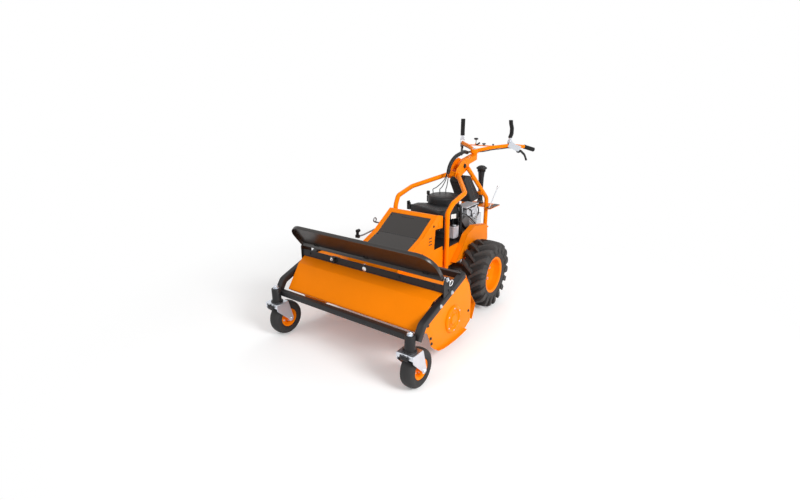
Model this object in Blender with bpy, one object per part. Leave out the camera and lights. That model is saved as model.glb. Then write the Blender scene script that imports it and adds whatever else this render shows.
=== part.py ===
"""Walk-behind flail mower: the construction, in metres, +Z up.

The machine is laid out from the drive axle: +X is the operator's left when seen from the
front (the right of a picture taken from the front), +Y runs back to the handlebar, and the
ground is Z = 0. The last step slides everything along Y, so that the origin lies under the
middle of the machine.
"""

from math import atan2, cos, pi, radians, sin, sqrt

import bmesh
import bpy
from mathutils import Matrix, Vector

# fits
CLEAR = 0.0003            # between pieces that touch
RUNNING = 0.0008          # between a shaft and its bore

# what the deck and its carrier are laid out from
DECK_HALF_WIDTH = 0.518   # outer face of a side plate
ROTOR_Y = -0.766
ROTOR_Z = 0.227

# drive wheels
CARCASS_RADIUS = 0.2365
LUG_HEIGHT = 0.0175
DRIVE_TYRE_RADIUS = CARCASS_RADIUS + LUG_HEIGHT
DRIVE_TYRE_WIDTH = 0.200
DRIVE_TRACK = 0.714       # middle of one tyre to middle of the other
TYRE_WALL = 0.013
TYRE_BEAD = 0.022
LUGS_PER_SIDE = 18
LUG_WIDTH = 0.024
DRIVE_RIM_SEAT = 0.125
DRIVE_RIM_WIDTH = 0.168
RIM_LIP = 0.014
RIM_SHEET = 0.006
DRIVE_HUB_RADIUS = 0.036
DRIVE_HUB_REACH = 0.057   # hub's inner face, from the middle of the wheel
DISC_SETBACK = 0.010      # disc's outer face, from the middle of the wheel
AXLE_RADIUS = 0.0125
AXLE_DEPTH = 0.080        # length of the half shaft inside its housing
AXLE_HOUSING_RADIUS = 0.035
AXLE_HOUSING_END = 0.206
TRANSAXLE_SIZE = (0.190, 0.200, 0.165)
TRANSAXLE_MIDDLE_Y = 0.012

# casters
CASTER_OUTSET = 0.021     # pivot, out from the deck's side plate
CASTER_SPACING = 2 * (DECK_HALF_WIDTH + CASTER_OUTSET)
CASTER_SETBACK = 0.040    # pivot, ahead of the front tube's middle
CASTER_TRAIL = 0.060
CASTER_TYRE_RADIUS = 0.116
CASTER_TYRE_WIDTH = 0.086
CASTER_RIM_RADIUS = 0.056
CASTER_HUB_RADIUS = 0.018
CASTER_AXLE_RADIUS = 0.0065
FORK_SHEET = 0.006
FORK_PLATE_WIDTH = 0.112
FORK_PLATE_LENGTH = 0.098
FORK_SIDE_GAP = 0.008     # tyre to fork arm
FORK_TOP_GAP = 0.013      # tyre to fork plate
FORK_FOOT = 0.020         # half width of an arm at the axle
FORK_SKIRT = 0.022
PIVOT_RADIUS = 0.030
PIVOT_TOP = 0.345
STEM_RADIUS = 0.010
STEM_NUT_RADIUS = 0.017
STEM_NUT_HEIGHT = 0.016
BRAKE_PIN_RADIUS = 0.004
BRAKE_SHEET = 0.004
BRAKE_PRONG = 0.022

# black frame that carries the casters
FRAME_TUBE = 0.040
ARM_OUTSET = 0.021        # middle of an arm, out from the caster's pivot
ARM_SPLAY = 0.004         # what an arm gains towards the back
FRAME_FRONT_SPACING = CASTER_SPACING + 2 * ARM_OUTSET
FRAME_REAR_SPACING = FRAME_FRONT_SPACING + 2 * ARM_SPLAY
FRONT_TUBE_GAP = 0.043    # middle of the front tube, ahead of the hood's front edge
FRONT_TUBE_Z = 0.305
FRONT_TUBE_HEIGHT = 0.034
ARM_BEND_REACH = 0.045
ARM_BEND_RISE = 0.067
ARM_END = (ROTOR_Y + 0.021, 0.526)
SPACER_RADIUS = 0.012
SPACER_PLACES = (ROTOR_Y - 0.254, ROTOR_Y - 0.134)

# mower deck
SIDE_SHEET = 0.004
HOOD_SHEET = 0.003
HOOD_TOP_Z = 0.490
HOOD_FRONT_LOW = (ROTOR_Y - 0.414, 0.320)
HOOD_CREASE = (ROTOR_Y - 0.279, 0.458)
HOOD_FRONT_TOP = (ROTOR_Y - 0.199, HOOD_TOP_Z)
HOOD_EAR_REAR = (ROTOR_Y - 0.169, HOOD_TOP_Z)
HOOD_EAR_END = (ROTOR_Y - 0.159, HOOD_TOP_Z)
HOOD_REAR_TOP = (ROTOR_Y + 0.126, HOOD_TOP_Z)
HOOD_REAR_BEND = (ROTOR_Y + 0.208, 0.390)
HOOD_REAR_KNEE = (ROTOR_Y + 0.241, 0.300)
HOOD_REAR_FLARE = (ROTOR_Y + 0.314, 0.206)
HOOD_REAR_LOW = (ROTOR_Y + 0.271, 0.112)
SIDE_FRONT_EDGE = ((ROTOR_Y - 0.199, 0.102), (ROTOR_Y - 0.246, 0.145), (ROTOR_Y - 0.267, 0.202),
                   (ROTOR_Y - 0.293, 0.255))
FRONT_TUBE_Y = HOOD_FRONT_LOW[0] - FRONT_TUBE_GAP
CASTER_PIVOT_Y = FRONT_TUBE_Y - CASTER_SETBACK
ARM_BEND = (FRONT_TUBE_Y + ARM_BEND_REACH, FRONT_TUBE_Z + ARM_BEND_RISE)
HOOD_FLARE = (-0.006, -0.006, 0.027, 0.048, 0.048, 0.012, 0.010, 0.0, 0.0, 0.0, 0.0)
SKID_Z = 0.076
SKID_REAR_Y = ROTOR_Y + 0.170
SKID_FRONT_Y = ROTOR_Y - 0.134
COVER_RADIUS = 0.088
COVER_DEPTH = 0.010

# flail rotor
ROTOR_RADIUS = 0.040
ROTOR_END_GAP = 0.040     # rotor's end to the outer face of a side plate
ROTOR_HALF_LENGTH = DECK_HALF_WIDTH - ROTOR_END_GAP
ROTOR_SHAFT_RADIUS = 0.0125
LUG_REACH = 0.068         # middle of a knife pin, from the rotor's axis
LUG_SHEET = 0.006
LUG_HALF_WIDTH = 0.013
KNIFE_ROWS = 4
KNIVES_PER_ROW = 4
KNIFE_PIN_RADIUS = 0.005
KNIFE_TIP = 0.140         # knife tip, from the rotor's axis
KNIFE_WIDTH = 0.044
KNIFE_SHEET = 0.008
KNIFE_EAR = 0.011

# blade drive
BELT_WIDTH = 0.013
BELT_THICKNESS = 0.008
PULLEY_RADIUS = 0.060
PULLEY_LIP = 0.005
PULLEY_CHEEK = 0.003
BELT_Z = 0.430
GEARBOX_Y = -0.440
GEARBOX_Z = 0.350
GEARBOX_HALF_WIDTH = 0.060
GEARBOX_HALF_HEIGHT = 0.048
CROSS_PULLEY_RADIUS = 0.045
ROTOR_PULLEY_RADIUS = 0.060
SIDE_BELT_GAP = 0.018     # middle of the side belt, out from the side plate
SIDE_BELT_X = DECK_HALF_WIDTH + SIDE_BELT_GAP
BELT_COVER_SHEET = 0.0025
BELT_COVER_MARGIN = 0.022
BELT_COVER_DEPTH = 0.024  # belt's middle to the outer face of its cover

# chassis
CHASSIS_HALF_WIDTH = 0.200
CHASSIS_SHEET = 0.004
ENGINE_PLATE_Z = 0.500
ENGINE_PLATE_SHEET = 0.006
CHASSIS_FRONT_Y = -0.470
CHASSIS_REAR_Y = 0.200
CHASSIS_LOW_Z = 0.360

# belt guard in the middle
GUARD_SHEET = 0.005
GUARD_TOP_REAR = (-0.383, 0.762)
GUARD_TOP_FRONT = (-0.447, 0.778)
GUARD_CREASE = (-0.633, 0.656)
GUARD_LOW = (ROTOR_Y - 0.139, 0.545)
GUARD_FOOT_Y = ROTOR_Y - 0.159
GUARD_BORDER = 0.038
PANEL_SHEET = 0.004

# link rod and pull ring at the machine's right; places are from the guard's crease
LINK_RADIUS = 0.006
LINK_GAP = 0.012
LINK_START = (0.033, -0.006)
LINK_KNEE = (-0.104, -0.016)
LINK_END = (-0.157, -0.016)
LINK_KICK = 0.0047
HOOK_RISE = 0.040
STUD_PLACE = (0.073, 0.030)
STUD_LENGTH = 0.0487
RING_PLACE = (0.063, 0.048)
RING_RADIUS = 0.020
RING_HOLE = 0.008

# window in the guard's sides
WINDOW_REAR_Y = -0.350
WINDOW_FRONT_Y = -0.530
WINDOW_LOW_Z = ENGINE_PLATE_Z + 0.045
WINDOW_HIGH_Z = 0.668

# orange tube frame
TUBE_RADIUS = 0.017
POST_X = CHASSIS_HALF_WIDTH + GUARD_SHEET + TUBE_RADIUS + 2 * CLEAR
POST_Y = -0.352
POST_LOW_Z = CHASSIS_LOW_Z + 0.012
POST_TOP_Z = 0.775
FRONT_BEND = (0.235, -0.302, 0.837)
UPPER_BEND = (0.232, -0.124, 0.880)
TUBE_TOP = (0.042, 0.110, 0.962)
LEG_TOP = (0.053, 0.245, 1.000)
LEG_BEND = (0.110, 0.503, 0.719)
LEG_DROP = 0.030          # foot of a rear leg, below the engine plate's top
LEG_LOW_Z = ENGINE_PLATE_Z - LEG_DROP
BEND_RADIUS = 0.060
HEAD_PLATE_X = 0.032      # inner face of a head plate
HEAD_PLATE_SHEET = 0.006
COLUMN_PIVOT_Y = 0.221
COLUMN_PIVOT_Z = 1.017
CONSOLE_Z = 0.640
CONSOLE_SHEET = 0.005
CONSOLE_REAR_Y = 0.655

# tank, intake and gear lever
TANK_HALF_WIDTH = 0.072
TANK_ROUNDING = 0.012
TANK_STRAP = 0.010
FUEL_CAP_RADIUS = 0.026
FUEL_CAP_HEIGHT = 0.016
INTAKE_Y = 0.606
INTAKE_RADIUS = 0.023
INTAKE_TOP_Z = 0.974
INTAKE_CAP_RADIUS = 0.046
GEAR_LEVER_X = 0.150
GEAR_PIVOT_Y = 0.475
GEAR_EYE_RADIUS = 0.009
GEAR_EYE_HALF = 0.006
GEAR_ROD_RADIUS = 0.004
GEAR_BALL_RADIUS = 0.011
GEAR_BALL_PLACE = (0.633, 0.799)

# engine
ENGINE_Y = -0.030
CRANKCASE_RADIUS = 0.118
CRANKCASE_TOP_Z = ENGINE_PLATE_Z + 0.100
CYLINDER_SIZE = (0.120, 0.150, 0.105)
BLOWER_RADIUS = 0.122
BLOWER_SKIRT_RADIUS = 0.146
BLOWER_LOW_Z = CRANKCASE_TOP_Z + 0.065
BLOWER_STEP_Z = BLOWER_LOW_Z + 0.041
BLOWER_TOP_Z = BLOWER_LOW_Z + 0.163
AIRBOX_LOW_Z = BLOWER_LOW_Z + 0.050
AIRBOX_TOP_Z = AIRBOX_LOW_Z + 0.053
ENGINE_FOOT_HALF = 0.095
ENGINE_FOOT_HEIGHT = 0.012
NECK_RADIUS = 0.095
CYLINDER_RISE = 0.025
FIN_PITCH = 0.018
FIN_GAP = 0.008
HEAD_X = (0.040, 0.172)
HEAD_Y = (0.105, 0.262)
HEAD_Z = (0.030, 0.150)
INTAKE_BLOCK_X = (0.060, 0.160)
INTAKE_BLOCK_Y = (0.152, 0.285)
INTAKE_BLOCK_Z = (0.145, 0.240)
CANISTER_X = 0.142
CANISTER_BACK = 0.030
CANISTER_RADIUS = 0.026
CANISTER_Z = (0.012, 0.125)
MUFFLER_RADIUS = 0.042
MUFFLER_LENGTH = 0.150
MUFFLER_X = -0.150
MUFFLER_Z = ENGINE_PLATE_Z + 0.090

# fenders
FENDER_GAP = 0.012        # fender to the drive tyre beside it
FENDER_OUTER_X = DRIVE_TRACK / 2 - DRIVE_TYRE_WIDTH / 2 - FENDER_GAP
FENDER_SHEET = 0.003

# flap in front
FLAP_HINGE_Y = ROTOR_Y - 0.187
FLAP_HINGE_Z = 0.566
FLAP_ROD_RADIUS = 0.0115
FLAP_LENGTH = 0.226       # hinge to the outer edge
FLAP_LEAN = 37.5          # degrees forward of upright
FLAP_CORNER = 0.110
FLAP_SHEET = 0.003
FLAP_RIM = 0.026
FLAP_START = 0.016        # lower edge, from the hinge axis
CROSSBAR_Y = FLAP_HINGE_Y - 0.024
CROSSBAR_LOW_Z = 0.499
CROSSBAR_HIGH_Z = 0.533
CROSSBAR_SHEET = 0.005
BRACKET_OUTSET = 0.0095   # inner face of an end bracket, out from the arm's middle
BRACKET_X = FRAME_REAR_SPACING / 2 + BRACKET_OUTSET
BRACKET_SHEET = 0.006
FLAP_SIDE_GAP = 0.0035
FLAP_HALF_WIDTH = BRACKET_X - FLAP_SIDE_GAP
SLEEVE_LENGTH = 0.040
SLEEVE_INSET = 0.110      # outer end of a side sleeve, in from the flap's edge

# handlebar
COLUMN_TOP = (0.452, 1.092)
COLUMN_DEPTH = 0.046
SWIVEL_RADIUS = 0.024
SWIVEL_HEIGHT = 0.034
BAR_RADIUS = 0.0145
BAR_SHOULDER = (0.110, 0.560, 1.136)
BAR_ELBOW = (0.222, 0.650, 1.150)
GRIP_START = (0.294, 0.787, 1.133)
GRIP_END = (0.345, 0.874, 1.104)
GRIP_RADIUS = 0.018
LEVER_RISE = 0.032        # hinge of a grip lever, above the bar's middle
LEVER_BASE_Z = BAR_ELBOW[2] + LEVER_RISE
LEVER_LENGTH = 0.172
LEVER_WIDTH = 0.026
LEVER_SHEET = 0.012
LEVER_PIN_RADIUS = 0.005
LEVER_BEND = 0.012
BRAKE_LEVER_LENGTH = 0.125
BRAKE_LEVER_SHEET = 0.008
BRAKE_LEVER_WIDTH = 0.016
BRAKE_BALL_RADIUS = 0.008
BRAKE_SHARE = 0.55        # place of the brake lever between elbow and grip
BRAKE_DROP = 0.034
DASH_HALF_WIDTH = 0.115
DASH_DEPTH = 0.060
DASH_SHEET = 0.004
THROTTLE_X = -0.045
THROTTLE_LENGTH = 0.045
THROTTLE_KNOB_RADIUS = 0.011
LOOM_RADIUS = 0.015
CABLE_RADIUS = 0.0035

TURN_STEPS = 18
FINE_STEPS = 24
SMALL_STEPS = 10
TUBE_SIDES = 8

DRIVE_AXLE_Z = DRIVE_TYRE_RADIUS
CASTER_AXLE_Z = CASTER_TYRE_RADIUS
CASTER_AXLE_Y = CASTER_PIVOT_Y + CASTER_TRAIL

COLOURS = {
    "orange_paint": ((0.90, 0.23, 0.005), 0.35, 0.0),
    "black_paint": ((0.030, 0.030, 0.032), 0.45, 0.0),
    "black_gloss": ((0.025, 0.023, 0.022), 0.22, 0.0),
    "zinc": ((0.62, 0.65, 0.70), 0.35, 1.0),
    "tyre_rubber": ((0.035, 0.035, 0.037), 0.80, 0.0),
    "black_plastic": ((0.028, 0.028, 0.030), 0.50, 0.0),
    "cast_aluminium": ((0.60, 0.61, 0.62), 0.45, 1.0),
    "cast_iron": ((0.16, 0.16, 0.17), 0.60, 1.0),
    "grip_rubber": ((0.030, 0.030, 0.032), 0.70, 0.0),
    "tool_steel": ((0.30, 0.30, 0.31), 0.45, 1.0),
    "belt_rubber": ((0.020, 0.020, 0.020), 0.85, 0.0),
}


def clear_scene():
    for thing in list(bpy.data.objects):
        bpy.data.objects.remove(thing, do_unlink=True)


def material_for(piece, finish):
    """One Principled material for each piece, in the colour of its finish."""
    colour, roughness, metallic = COLOURS[finish]
    material = bpy.data.materials.new(piece + "_" + finish)
    material.use_nodes = True
    shader = material.node_tree.nodes["Principled BSDF"]
    shader.inputs["Base Color"].default_value = (*colour, 1.0)
    shader.inputs["Roughness"].default_value = roughness
    shader.inputs["Metallic"].default_value = metallic
    return material


def add_piece(name, bm, finish, pivot=(0.0, 0.0, 0.0), sharp=35.0):
    """Turn a mesh in machine coordinates into a named object with its origin at pivot."""
    bmesh.ops.recalc_face_normals(bm, faces=bm.faces)
    bmesh.ops.translate(bm, verts=bm.verts, vec=-Vector(pivot))
    mesh = bpy.data.meshes.new(name)
    bm.to_mesh(mesh)
    bm.free()
    mesh.materials.append(material_for(name, finish))
    mesh.shade_smooth()
    mesh.set_sharp_from_angle(angle=radians(sharp))
    piece = bpy.data.objects.new(name, mesh)
    piece.location = pivot
    bpy.context.scene.collection.objects.link(piece)
    return piece


def combine(base, tools, operation):
    """Join the tools to the base, or cut them out of it, with exact Booleans."""
    helpers = []
    for index, bm in enumerate([base] + list(tools)):
        bmesh.ops.recalc_face_normals(bm, faces=bm.faces)
        mesh = bpy.data.meshes.new("helper")
        bm.to_mesh(mesh)
        bm.free()
        helper = bpy.data.objects.new("helper_%d" % index, mesh)
        bpy.context.scene.collection.objects.link(helper)
        helpers.append(helper)
    for tool in helpers[1:]:
        step = helpers[0].modifiers.new("step", "BOOLEAN")
        step.operation = operation
        step.object = tool
    view = bpy.context.evaluated_depsgraph_get()
    mesh = bpy.data.meshes.new_from_object(helpers[0].evaluated_get(view))
    result = bmesh.new()
    result.from_mesh(mesh)
    bmesh.ops.remove_doubles(result, verts=result.verts, dist=0.000002)
    bmesh.ops.dissolve_degenerate(result, edges=result.edges, dist=0.000002)
    for helper in helpers:
        bpy.data.objects.remove(helper, do_unlink=True)
    bpy.data.meshes.remove(mesh)
    return result


def weld(first, *others):
    return combine(first, others, "UNION")


def cut(first, *tools):
    return combine(first, tools, "DIFFERENCE")


def mirrored(bm):
    """A copy of a mesh on the other side of the machine."""
    other = bm.copy()
    for vert in other.verts:
        vert.co.x = -vert.co.x
    bmesh.ops.reverse_faces(other, faces=other.faces)
    return other


def prism(outline, axis, low, high):
    """Extrude a flat outline along an axis. The outline gives the other two coordinates."""
    place = {
        "X": lambda a, b, t: (t, a, b),
        "Y": lambda a, b, t: (a, t, b),
        "Z": lambda a, b, t: (a, b, t),
    }[axis]
    bm = bmesh.new()
    ends = []
    for t in (low, high):
        ends.append([bm.verts.new(place(a, b, t)) for a, b in outline])
    bm.faces.new(ends[0][::-1])
    bm.faces.new(ends[1])
    count = len(outline)
    for k in range(count):
        n = (k + 1) % count
        bm.faces.new((ends[0][k], ends[0][n], ends[1][n], ends[1][k]))
    return bm


def flared_band(path, thickness, halves):
    """A bent sheet across the machine, with its own half width at every bend."""
    faces = (offset(path, thickness / 2), offset(path, -thickness / 2))
    bm = bmesh.new()
    grid = []
    for side in (-1, 1):
        for face in faces:
            grid.append([bm.verts.new((side * half, y, z)) for half, (y, z) in zip(halves, face)])
    left_over, left_under, right_over, right_under = grid
    for k in range(len(path) - 1):
        for a, b in ((left_over, right_over), (right_over, right_under),
                     (right_under, left_under), (left_under, left_over)):
            bm.faces.new((a[k], a[k + 1], b[k + 1], b[k]))
    for k in (0, -1):
        bm.faces.new((left_over[k], right_over[k], right_under[k], left_under[k]))
    return bm


def block(low, high):
    (x0, y0, z0), (x1, y1, z1) = low, high
    return prism([(x0, y0), (x1, y0), (x1, y1), (x0, y1)], "Z", z0, z1)


def circle(middle, radius, steps, start=0.0):
    turn = 2.0 * pi / steps
    return [
        (middle[0] + radius * cos(start + k * turn), middle[1] + radius * sin(start + k * turn))
        for k in range(steps)
    ]


def disc(middle, radius, axis, low, high, steps=TURN_STEPS):
    return prism(circle(middle, radius, steps), axis, low, high)


def arc(middle, radius, start, end, steps):
    """Points from one angle to another, in degrees."""
    points = []
    for k in range(steps + 1):
        angle = radians(start + (end - start) * k / steps)
        points.append((middle[0] + radius * cos(angle), middle[1] + radius * sin(angle)))
    return points


def turned(profile, axis, centre, steps=TURN_STEPS, ring=False):
    """Spin (along, radius) pairs about an axis. A ring's profile closes on itself."""
    frame = {"X": (1, 2, 0), "Y": (2, 0, 1), "Z": (0, 1, 2)}[axis]
    bm = bmesh.new()
    rows = []
    for along, radius in profile:
        count = 1 if radius == 0.0 else steps
        row = []
        for k in range(count):
            angle = 2.0 * pi * k / steps
            spot = [0.0, 0.0, 0.0]
            spot[frame[0]] = radius * cos(angle)
            spot[frame[1]] = radius * sin(angle)
            spot[frame[2]] = along
            row.append(bm.verts.new(Vector(spot) + Vector(centre)))
        rows.append(row)
    pairs = list(zip(rows, rows[1:]))
    if ring:
        pairs.append((rows[-1], rows[0]))
    for a, b in pairs:
        for k in range(steps):
            corners = []
            for row, index in ((a, k), (a, k + 1), (b, k + 1), (b, k)):
                vert = row[index % len(row)]
                if vert not in corners:
                    corners.append(vert)
            if len(corners) > 2:
                bm.faces.new(corners)
    if not ring:
        for row in (rows[0], rows[-1]):
            if len(row) > 1:
                bm.faces.new(row)
    return bm


def offset(path, distance):
    """Shift a flat path sideways, with mitred corners."""
    shifted = []
    for k, point in enumerate(path):
        normals = []
        for a, b in ((k - 1, k), (k, k + 1)):
            if a < 0 or b >= len(path):
                continue
            dx = path[b][0] - path[a][0]
            dy = path[b][1] - path[a][1]
            length = sqrt(dx * dx + dy * dy)
            normals.append((-dy / length, dx / length))
        nx = sum(n[0] for n in normals) / len(normals)
        ny = sum(n[1] for n in normals) / len(normals)
        size = nx * nx + ny * ny
        shifted.append((point[0] + distance * nx / size, point[1] + distance * ny / size))
    return shifted


def band(path, thickness):
    """Outline of a bent sheet seen on edge."""
    return offset(path, thickness / 2) + offset(path, -thickness / 2)[::-1]


def fillet(points, radius, steps=3):
    """Round the corners of a 3-D path."""
    points = [Vector(p) for p in points]
    path = [points[0]]
    for before, corner, after in zip(points, points[1:], points[2:]):
        into = (before - corner).normalized()
        away = (after - corner).normalized()
        half = into.angle(away) / 2.0
        reach = min(radius / max(sin(half), 0.01) * cos(half),
                    0.45 * (before - corner).length, 0.45 * (after - corner).length)
        start = corner + into * reach
        end = corner + away * reach
        for k in range(steps + 1):
            t = k / steps
            path.append(start.lerp(corner, t).lerp(corner.lerp(end, t), t))
    path.append(points[-1])
    return path


def pipe(points, radius, sides=TUBE_SIDES, end_radius=None):
    """A closed round bar along a path, carried forward without twist."""
    points = [Vector(p) for p in points]
    last = len(points) - 1
    end_radius = radius if end_radius is None else end_radius
    directions = []
    for k in range(len(points)):
        ahead = points[min(k + 1, last)] - points[max(k - 1, 0)]
        directions.append(ahead.normalized())
    side = directions[0].orthogonal().normalized()
    bm = bmesh.new()
    rows = []
    for k, point in enumerate(points):
        if k:
            side = directions[k - 1].rotation_difference(directions[k]) @ side
        up = directions[k].cross(side)
        size = radius + (end_radius - radius) * k / last
        row = []
        for n in range(sides):
            angle = 2.0 * pi * n / sides
            row.append(bm.verts.new(point + side * size * cos(angle) + up * size * sin(angle)))
        rows.append(row)
    for a, b in zip(rows, rows[1:]):
        for n in range(sides):
            m = (n + 1) % sides
            bm.faces.new((a[n], a[m], b[m], b[n]))
    bm.faces.new(rows[0][::-1])
    bm.faces.new(rows[-1])
    return bm


def stadium(a, b, radius_a, radius_b, steps=10):
    """Outline of a belt that runs round two circles."""
    dx = b[0] - a[0]
    dy = b[1] - a[1]
    span = sqrt(dx * dx + dy * dy)
    heading = atan2(dy, dx)
    lean = atan2(radius_a - radius_b, sqrt(span * span - (radius_a - radius_b) ** 2))
    radius_a /= cos((pi + 2 * lean) / steps / 2)
    radius_b /= cos((pi - 2 * lean) / steps / 2)
    points = []
    for k in range(steps + 1):
        angle = heading + pi / 2 - lean + (pi + 2 * lean) * k / steps
        points.append((a[0] + radius_a * cos(angle), a[1] + radius_a * sin(angle)))
    for k in range(steps + 1):
        angle = heading - pi / 2 + lean + (pi - 2 * lean) * k / steps
        points.append((b[0] + radius_b * cos(angle), b[1] + radius_b * sin(angle)))
    return points


def turn_about(bm, pivot, axis, degrees):
    spin = Matrix.Rotation(radians(degrees), 3, axis)
    bmesh.ops.rotate(bm, verts=bm.verts, cent=Vector(pivot), matrix=spin)
    return bm


# Drive wheels


def lug_bar(side, start):
    """One chevron bar of the tractor tread, from the middle of the tyre to its shoulder."""
    half = DRIVE_TYRE_WIDTH / 2
    crown = DRIVE_TYRE_RADIUS
    stations = [
        (0.002, 0.00, 0.65 * LUG_WIDTH, CARCASS_RADIUS - 0.008, crown),
        (0.60 * half, 0.21, 0.85 * LUG_WIDTH, CARCASS_RADIUS - 0.012, crown - 0.002),
        (0.99 * half, 0.28, LUG_WIDTH, CARCASS_RADIUS - 0.040, crown - 0.020),
    ]
    bm = bmesh.new()
    rows = []
    for along, lead, width, inner, outer in stations:
        middle = start + lead
        foot = 0.60 * width / outer
        head = 0.42 * width / outer
        corners = ((inner, -foot), (inner, foot), (outer, head), (outer, -head))
        rows.append([
            bm.verts.new((side * along, r * sin(middle + a), r * cos(middle + a)))
            for r, a in corners
        ])
    for a, b in zip(rows, rows[1:]):
        for k in range(4):
            n = (k + 1) % 4
            bm.faces.new((a[k], a[n], b[n], b[k]))
    bm.faces.new(rows[0])
    bm.faces.new(rows[-1])
    return bm


def drive_tyre():
    """Carcass and tread round the origin, axle along X."""
    half = DRIVE_TYRE_WIDTH / 2
    bead = DRIVE_RIM_SEAT + CLEAR
    lip = DRIVE_RIM_WIDTH / 2 - RIM_SHEET
    profile = [
        (-lip + 0.007, bead), (-lip - 0.001, bead + RIM_LIP), (-half, 0.180),
        (-half * 0.93, 0.223), (-half * 0.62, CARCASS_RADIUS),
        (half * 0.62, CARCASS_RADIUS), (half * 0.93, 0.223), (half, 0.180),
        (lip + 0.001, bead + RIM_LIP), (lip - 0.007, bead),
        (lip - TYRE_BEAD, bead), (half - TYRE_WALL - 0.004, 0.180),
        (half * 0.93 - TYRE_WALL, 0.208), (half * 0.60 - TYRE_WALL, CARCASS_RADIUS - TYRE_WALL),
        (-half * 0.60 + TYRE_WALL, CARCASS_RADIUS - TYRE_WALL), (-half * 0.93 + TYRE_WALL, 0.208),
        (-half + TYRE_WALL + 0.004, 0.180), (-lip + TYRE_BEAD, bead),
    ]
    carcass = turned(profile, "X", (0, 0, 0), steps=FINE_STEPS, ring=True)
    pitch = 2.0 * pi / LUGS_PER_SIDE
    bars = []
    for k in range(LUGS_PER_SIDE):
        bars.append(lug_bar(1, k * pitch))
        bars.append(lug_bar(-1, (k + 0.5) * pitch))
    return weld(carcass, *bars)


def drive_rim():
    """Dished wheel with its outer face towards +X."""
    half = DRIVE_RIM_WIDTH / 2
    seat = DRIVE_RIM_SEAT
    lip = seat + RIM_LIP
    inside = seat - RIM_SHEET
    face = DISC_SETBACK
    profile = [
        (face + 0.010, 0.0), (face + 0.010, DRIVE_HUB_RADIUS), (face, DRIVE_HUB_RADIUS + 0.006),
        (face, 0.095), (face + 0.020, inside), (half - 0.004, inside),
        (half, lip), (half - 0.003, lip), (half - RIM_SHEET - 0.005, seat),
        (-half + RIM_SHEET + 0.005, seat), (-half + 0.003, lip), (-half, lip),
        (-half + 0.004, inside), (face - 0.026, inside), (face - 0.008, 0.095),
        (face - 0.008, DRIVE_HUB_RADIUS), (-DRIVE_HUB_REACH, DRIVE_HUB_RADIUS - 0.004),
        (-DRIVE_HUB_REACH, 0.0),
    ]
    return turned(profile, "X", (0, 0, 0), steps=FINE_STEPS)


def half_shaft():
    """Half shaft of one wheel, from inside the axle housing to the hub."""
    hub = DRIVE_TRACK / 2 - DRIVE_HUB_REACH - CLEAR
    inner = AXLE_HOUSING_END - AXLE_DEPTH + CLEAR
    return disc((0, 0), AXLE_RADIUS, "X", inner, hub, SMALL_STEPS)


def move(bm, offset_by):
    bmesh.ops.translate(bm, verts=bm.verts, vec=Vector(offset_by))
    return bm


def build_drive_wheels():
    for side, word in ((1, "left"), (-1, "right")):
        pivot = (side * DRIVE_TRACK / 2, 0.0, DRIVE_AXLE_Z)
        for name, bm, finish in (
            ("drive_tyre_", drive_tyre(), "tyre_rubber"),
            ("drive_rim_", drive_rim(), "orange_paint"),
        ):
            if side < 0:
                bm = mirrored(bm)
            add_piece(name + word, move(bm, pivot), finish, pivot)
        shaft = move(half_shaft(), (0.0, 0.0, DRIVE_AXLE_Z))
        if side < 0:
            shaft = mirrored(shaft)
        add_piece("axle_shaft_" + word, shaft, "tool_steel", pivot)


def build_transaxle():
    sx, sy, sz = (v / 2 for v in TRANSAXLE_SIZE)
    middle = TRANSAXLE_MIDDLE_Y
    top = DRIVE_AXLE_Z + sz
    low = DRIVE_AXLE_Z - sz * 0.9
    outline = [
        (middle - sy, low + 0.03), (middle - sy + 0.03, low), (middle + sy - 0.03, low),
        (middle + sy, low + 0.03), (middle + sy, top - 0.02), (middle + sy - 0.03, top),
        (middle - sy + 0.02, top), (middle - sy, top - 0.02),
    ]
    casing = prism(outline, "X", -sx, sx)
    housing = disc((0.0, DRIVE_AXLE_Z), AXLE_HOUSING_RADIUS, "X",
                   -AXLE_HOUSING_END, AXLE_HOUSING_END)
    casing = weld(casing, housing)
    bores = []
    for side in (-1, 1):
        ends = sorted((side * (AXLE_HOUSING_END - AXLE_DEPTH), side * (AXLE_HOUSING_END + 0.01)))
        bores.append(disc((0.0, DRIVE_AXLE_Z), AXLE_RADIUS + RUNNING, "X", *ends, SMALL_STEPS))
    add_piece("transaxle", cut(casing, *bores), "cast_iron")


# Casters


def fork_arm(side):
    """Tapered arm of the fork, hung from the plate down to the axle."""
    top = CASTER_TYRE_RADIUS * 2 + FORK_TOP_GAP
    plate_front = CASTER_PIVOT_Y - FORK_PLATE_LENGTH * 0.52
    plate_rear = CASTER_PIVOT_Y + FORK_PLATE_LENGTH * 0.48
    foot = arc((CASTER_AXLE_Y, CASTER_AXLE_Z), FORK_FOOT, 200, 350, 5)
    outline = foot + [(plate_rear, top + FORK_SHEET * 0.5), (plate_front, top + FORK_SHEET * 0.5),
                      (plate_front + 0.004, top - 0.040)]
    inner = CASTER_TYRE_WIDTH / 2 + FORK_SIDE_GAP
    ends = sorted((side * inner, side * (inner + FORK_SHEET)))
    return prism(outline, "X", *ends)


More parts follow.
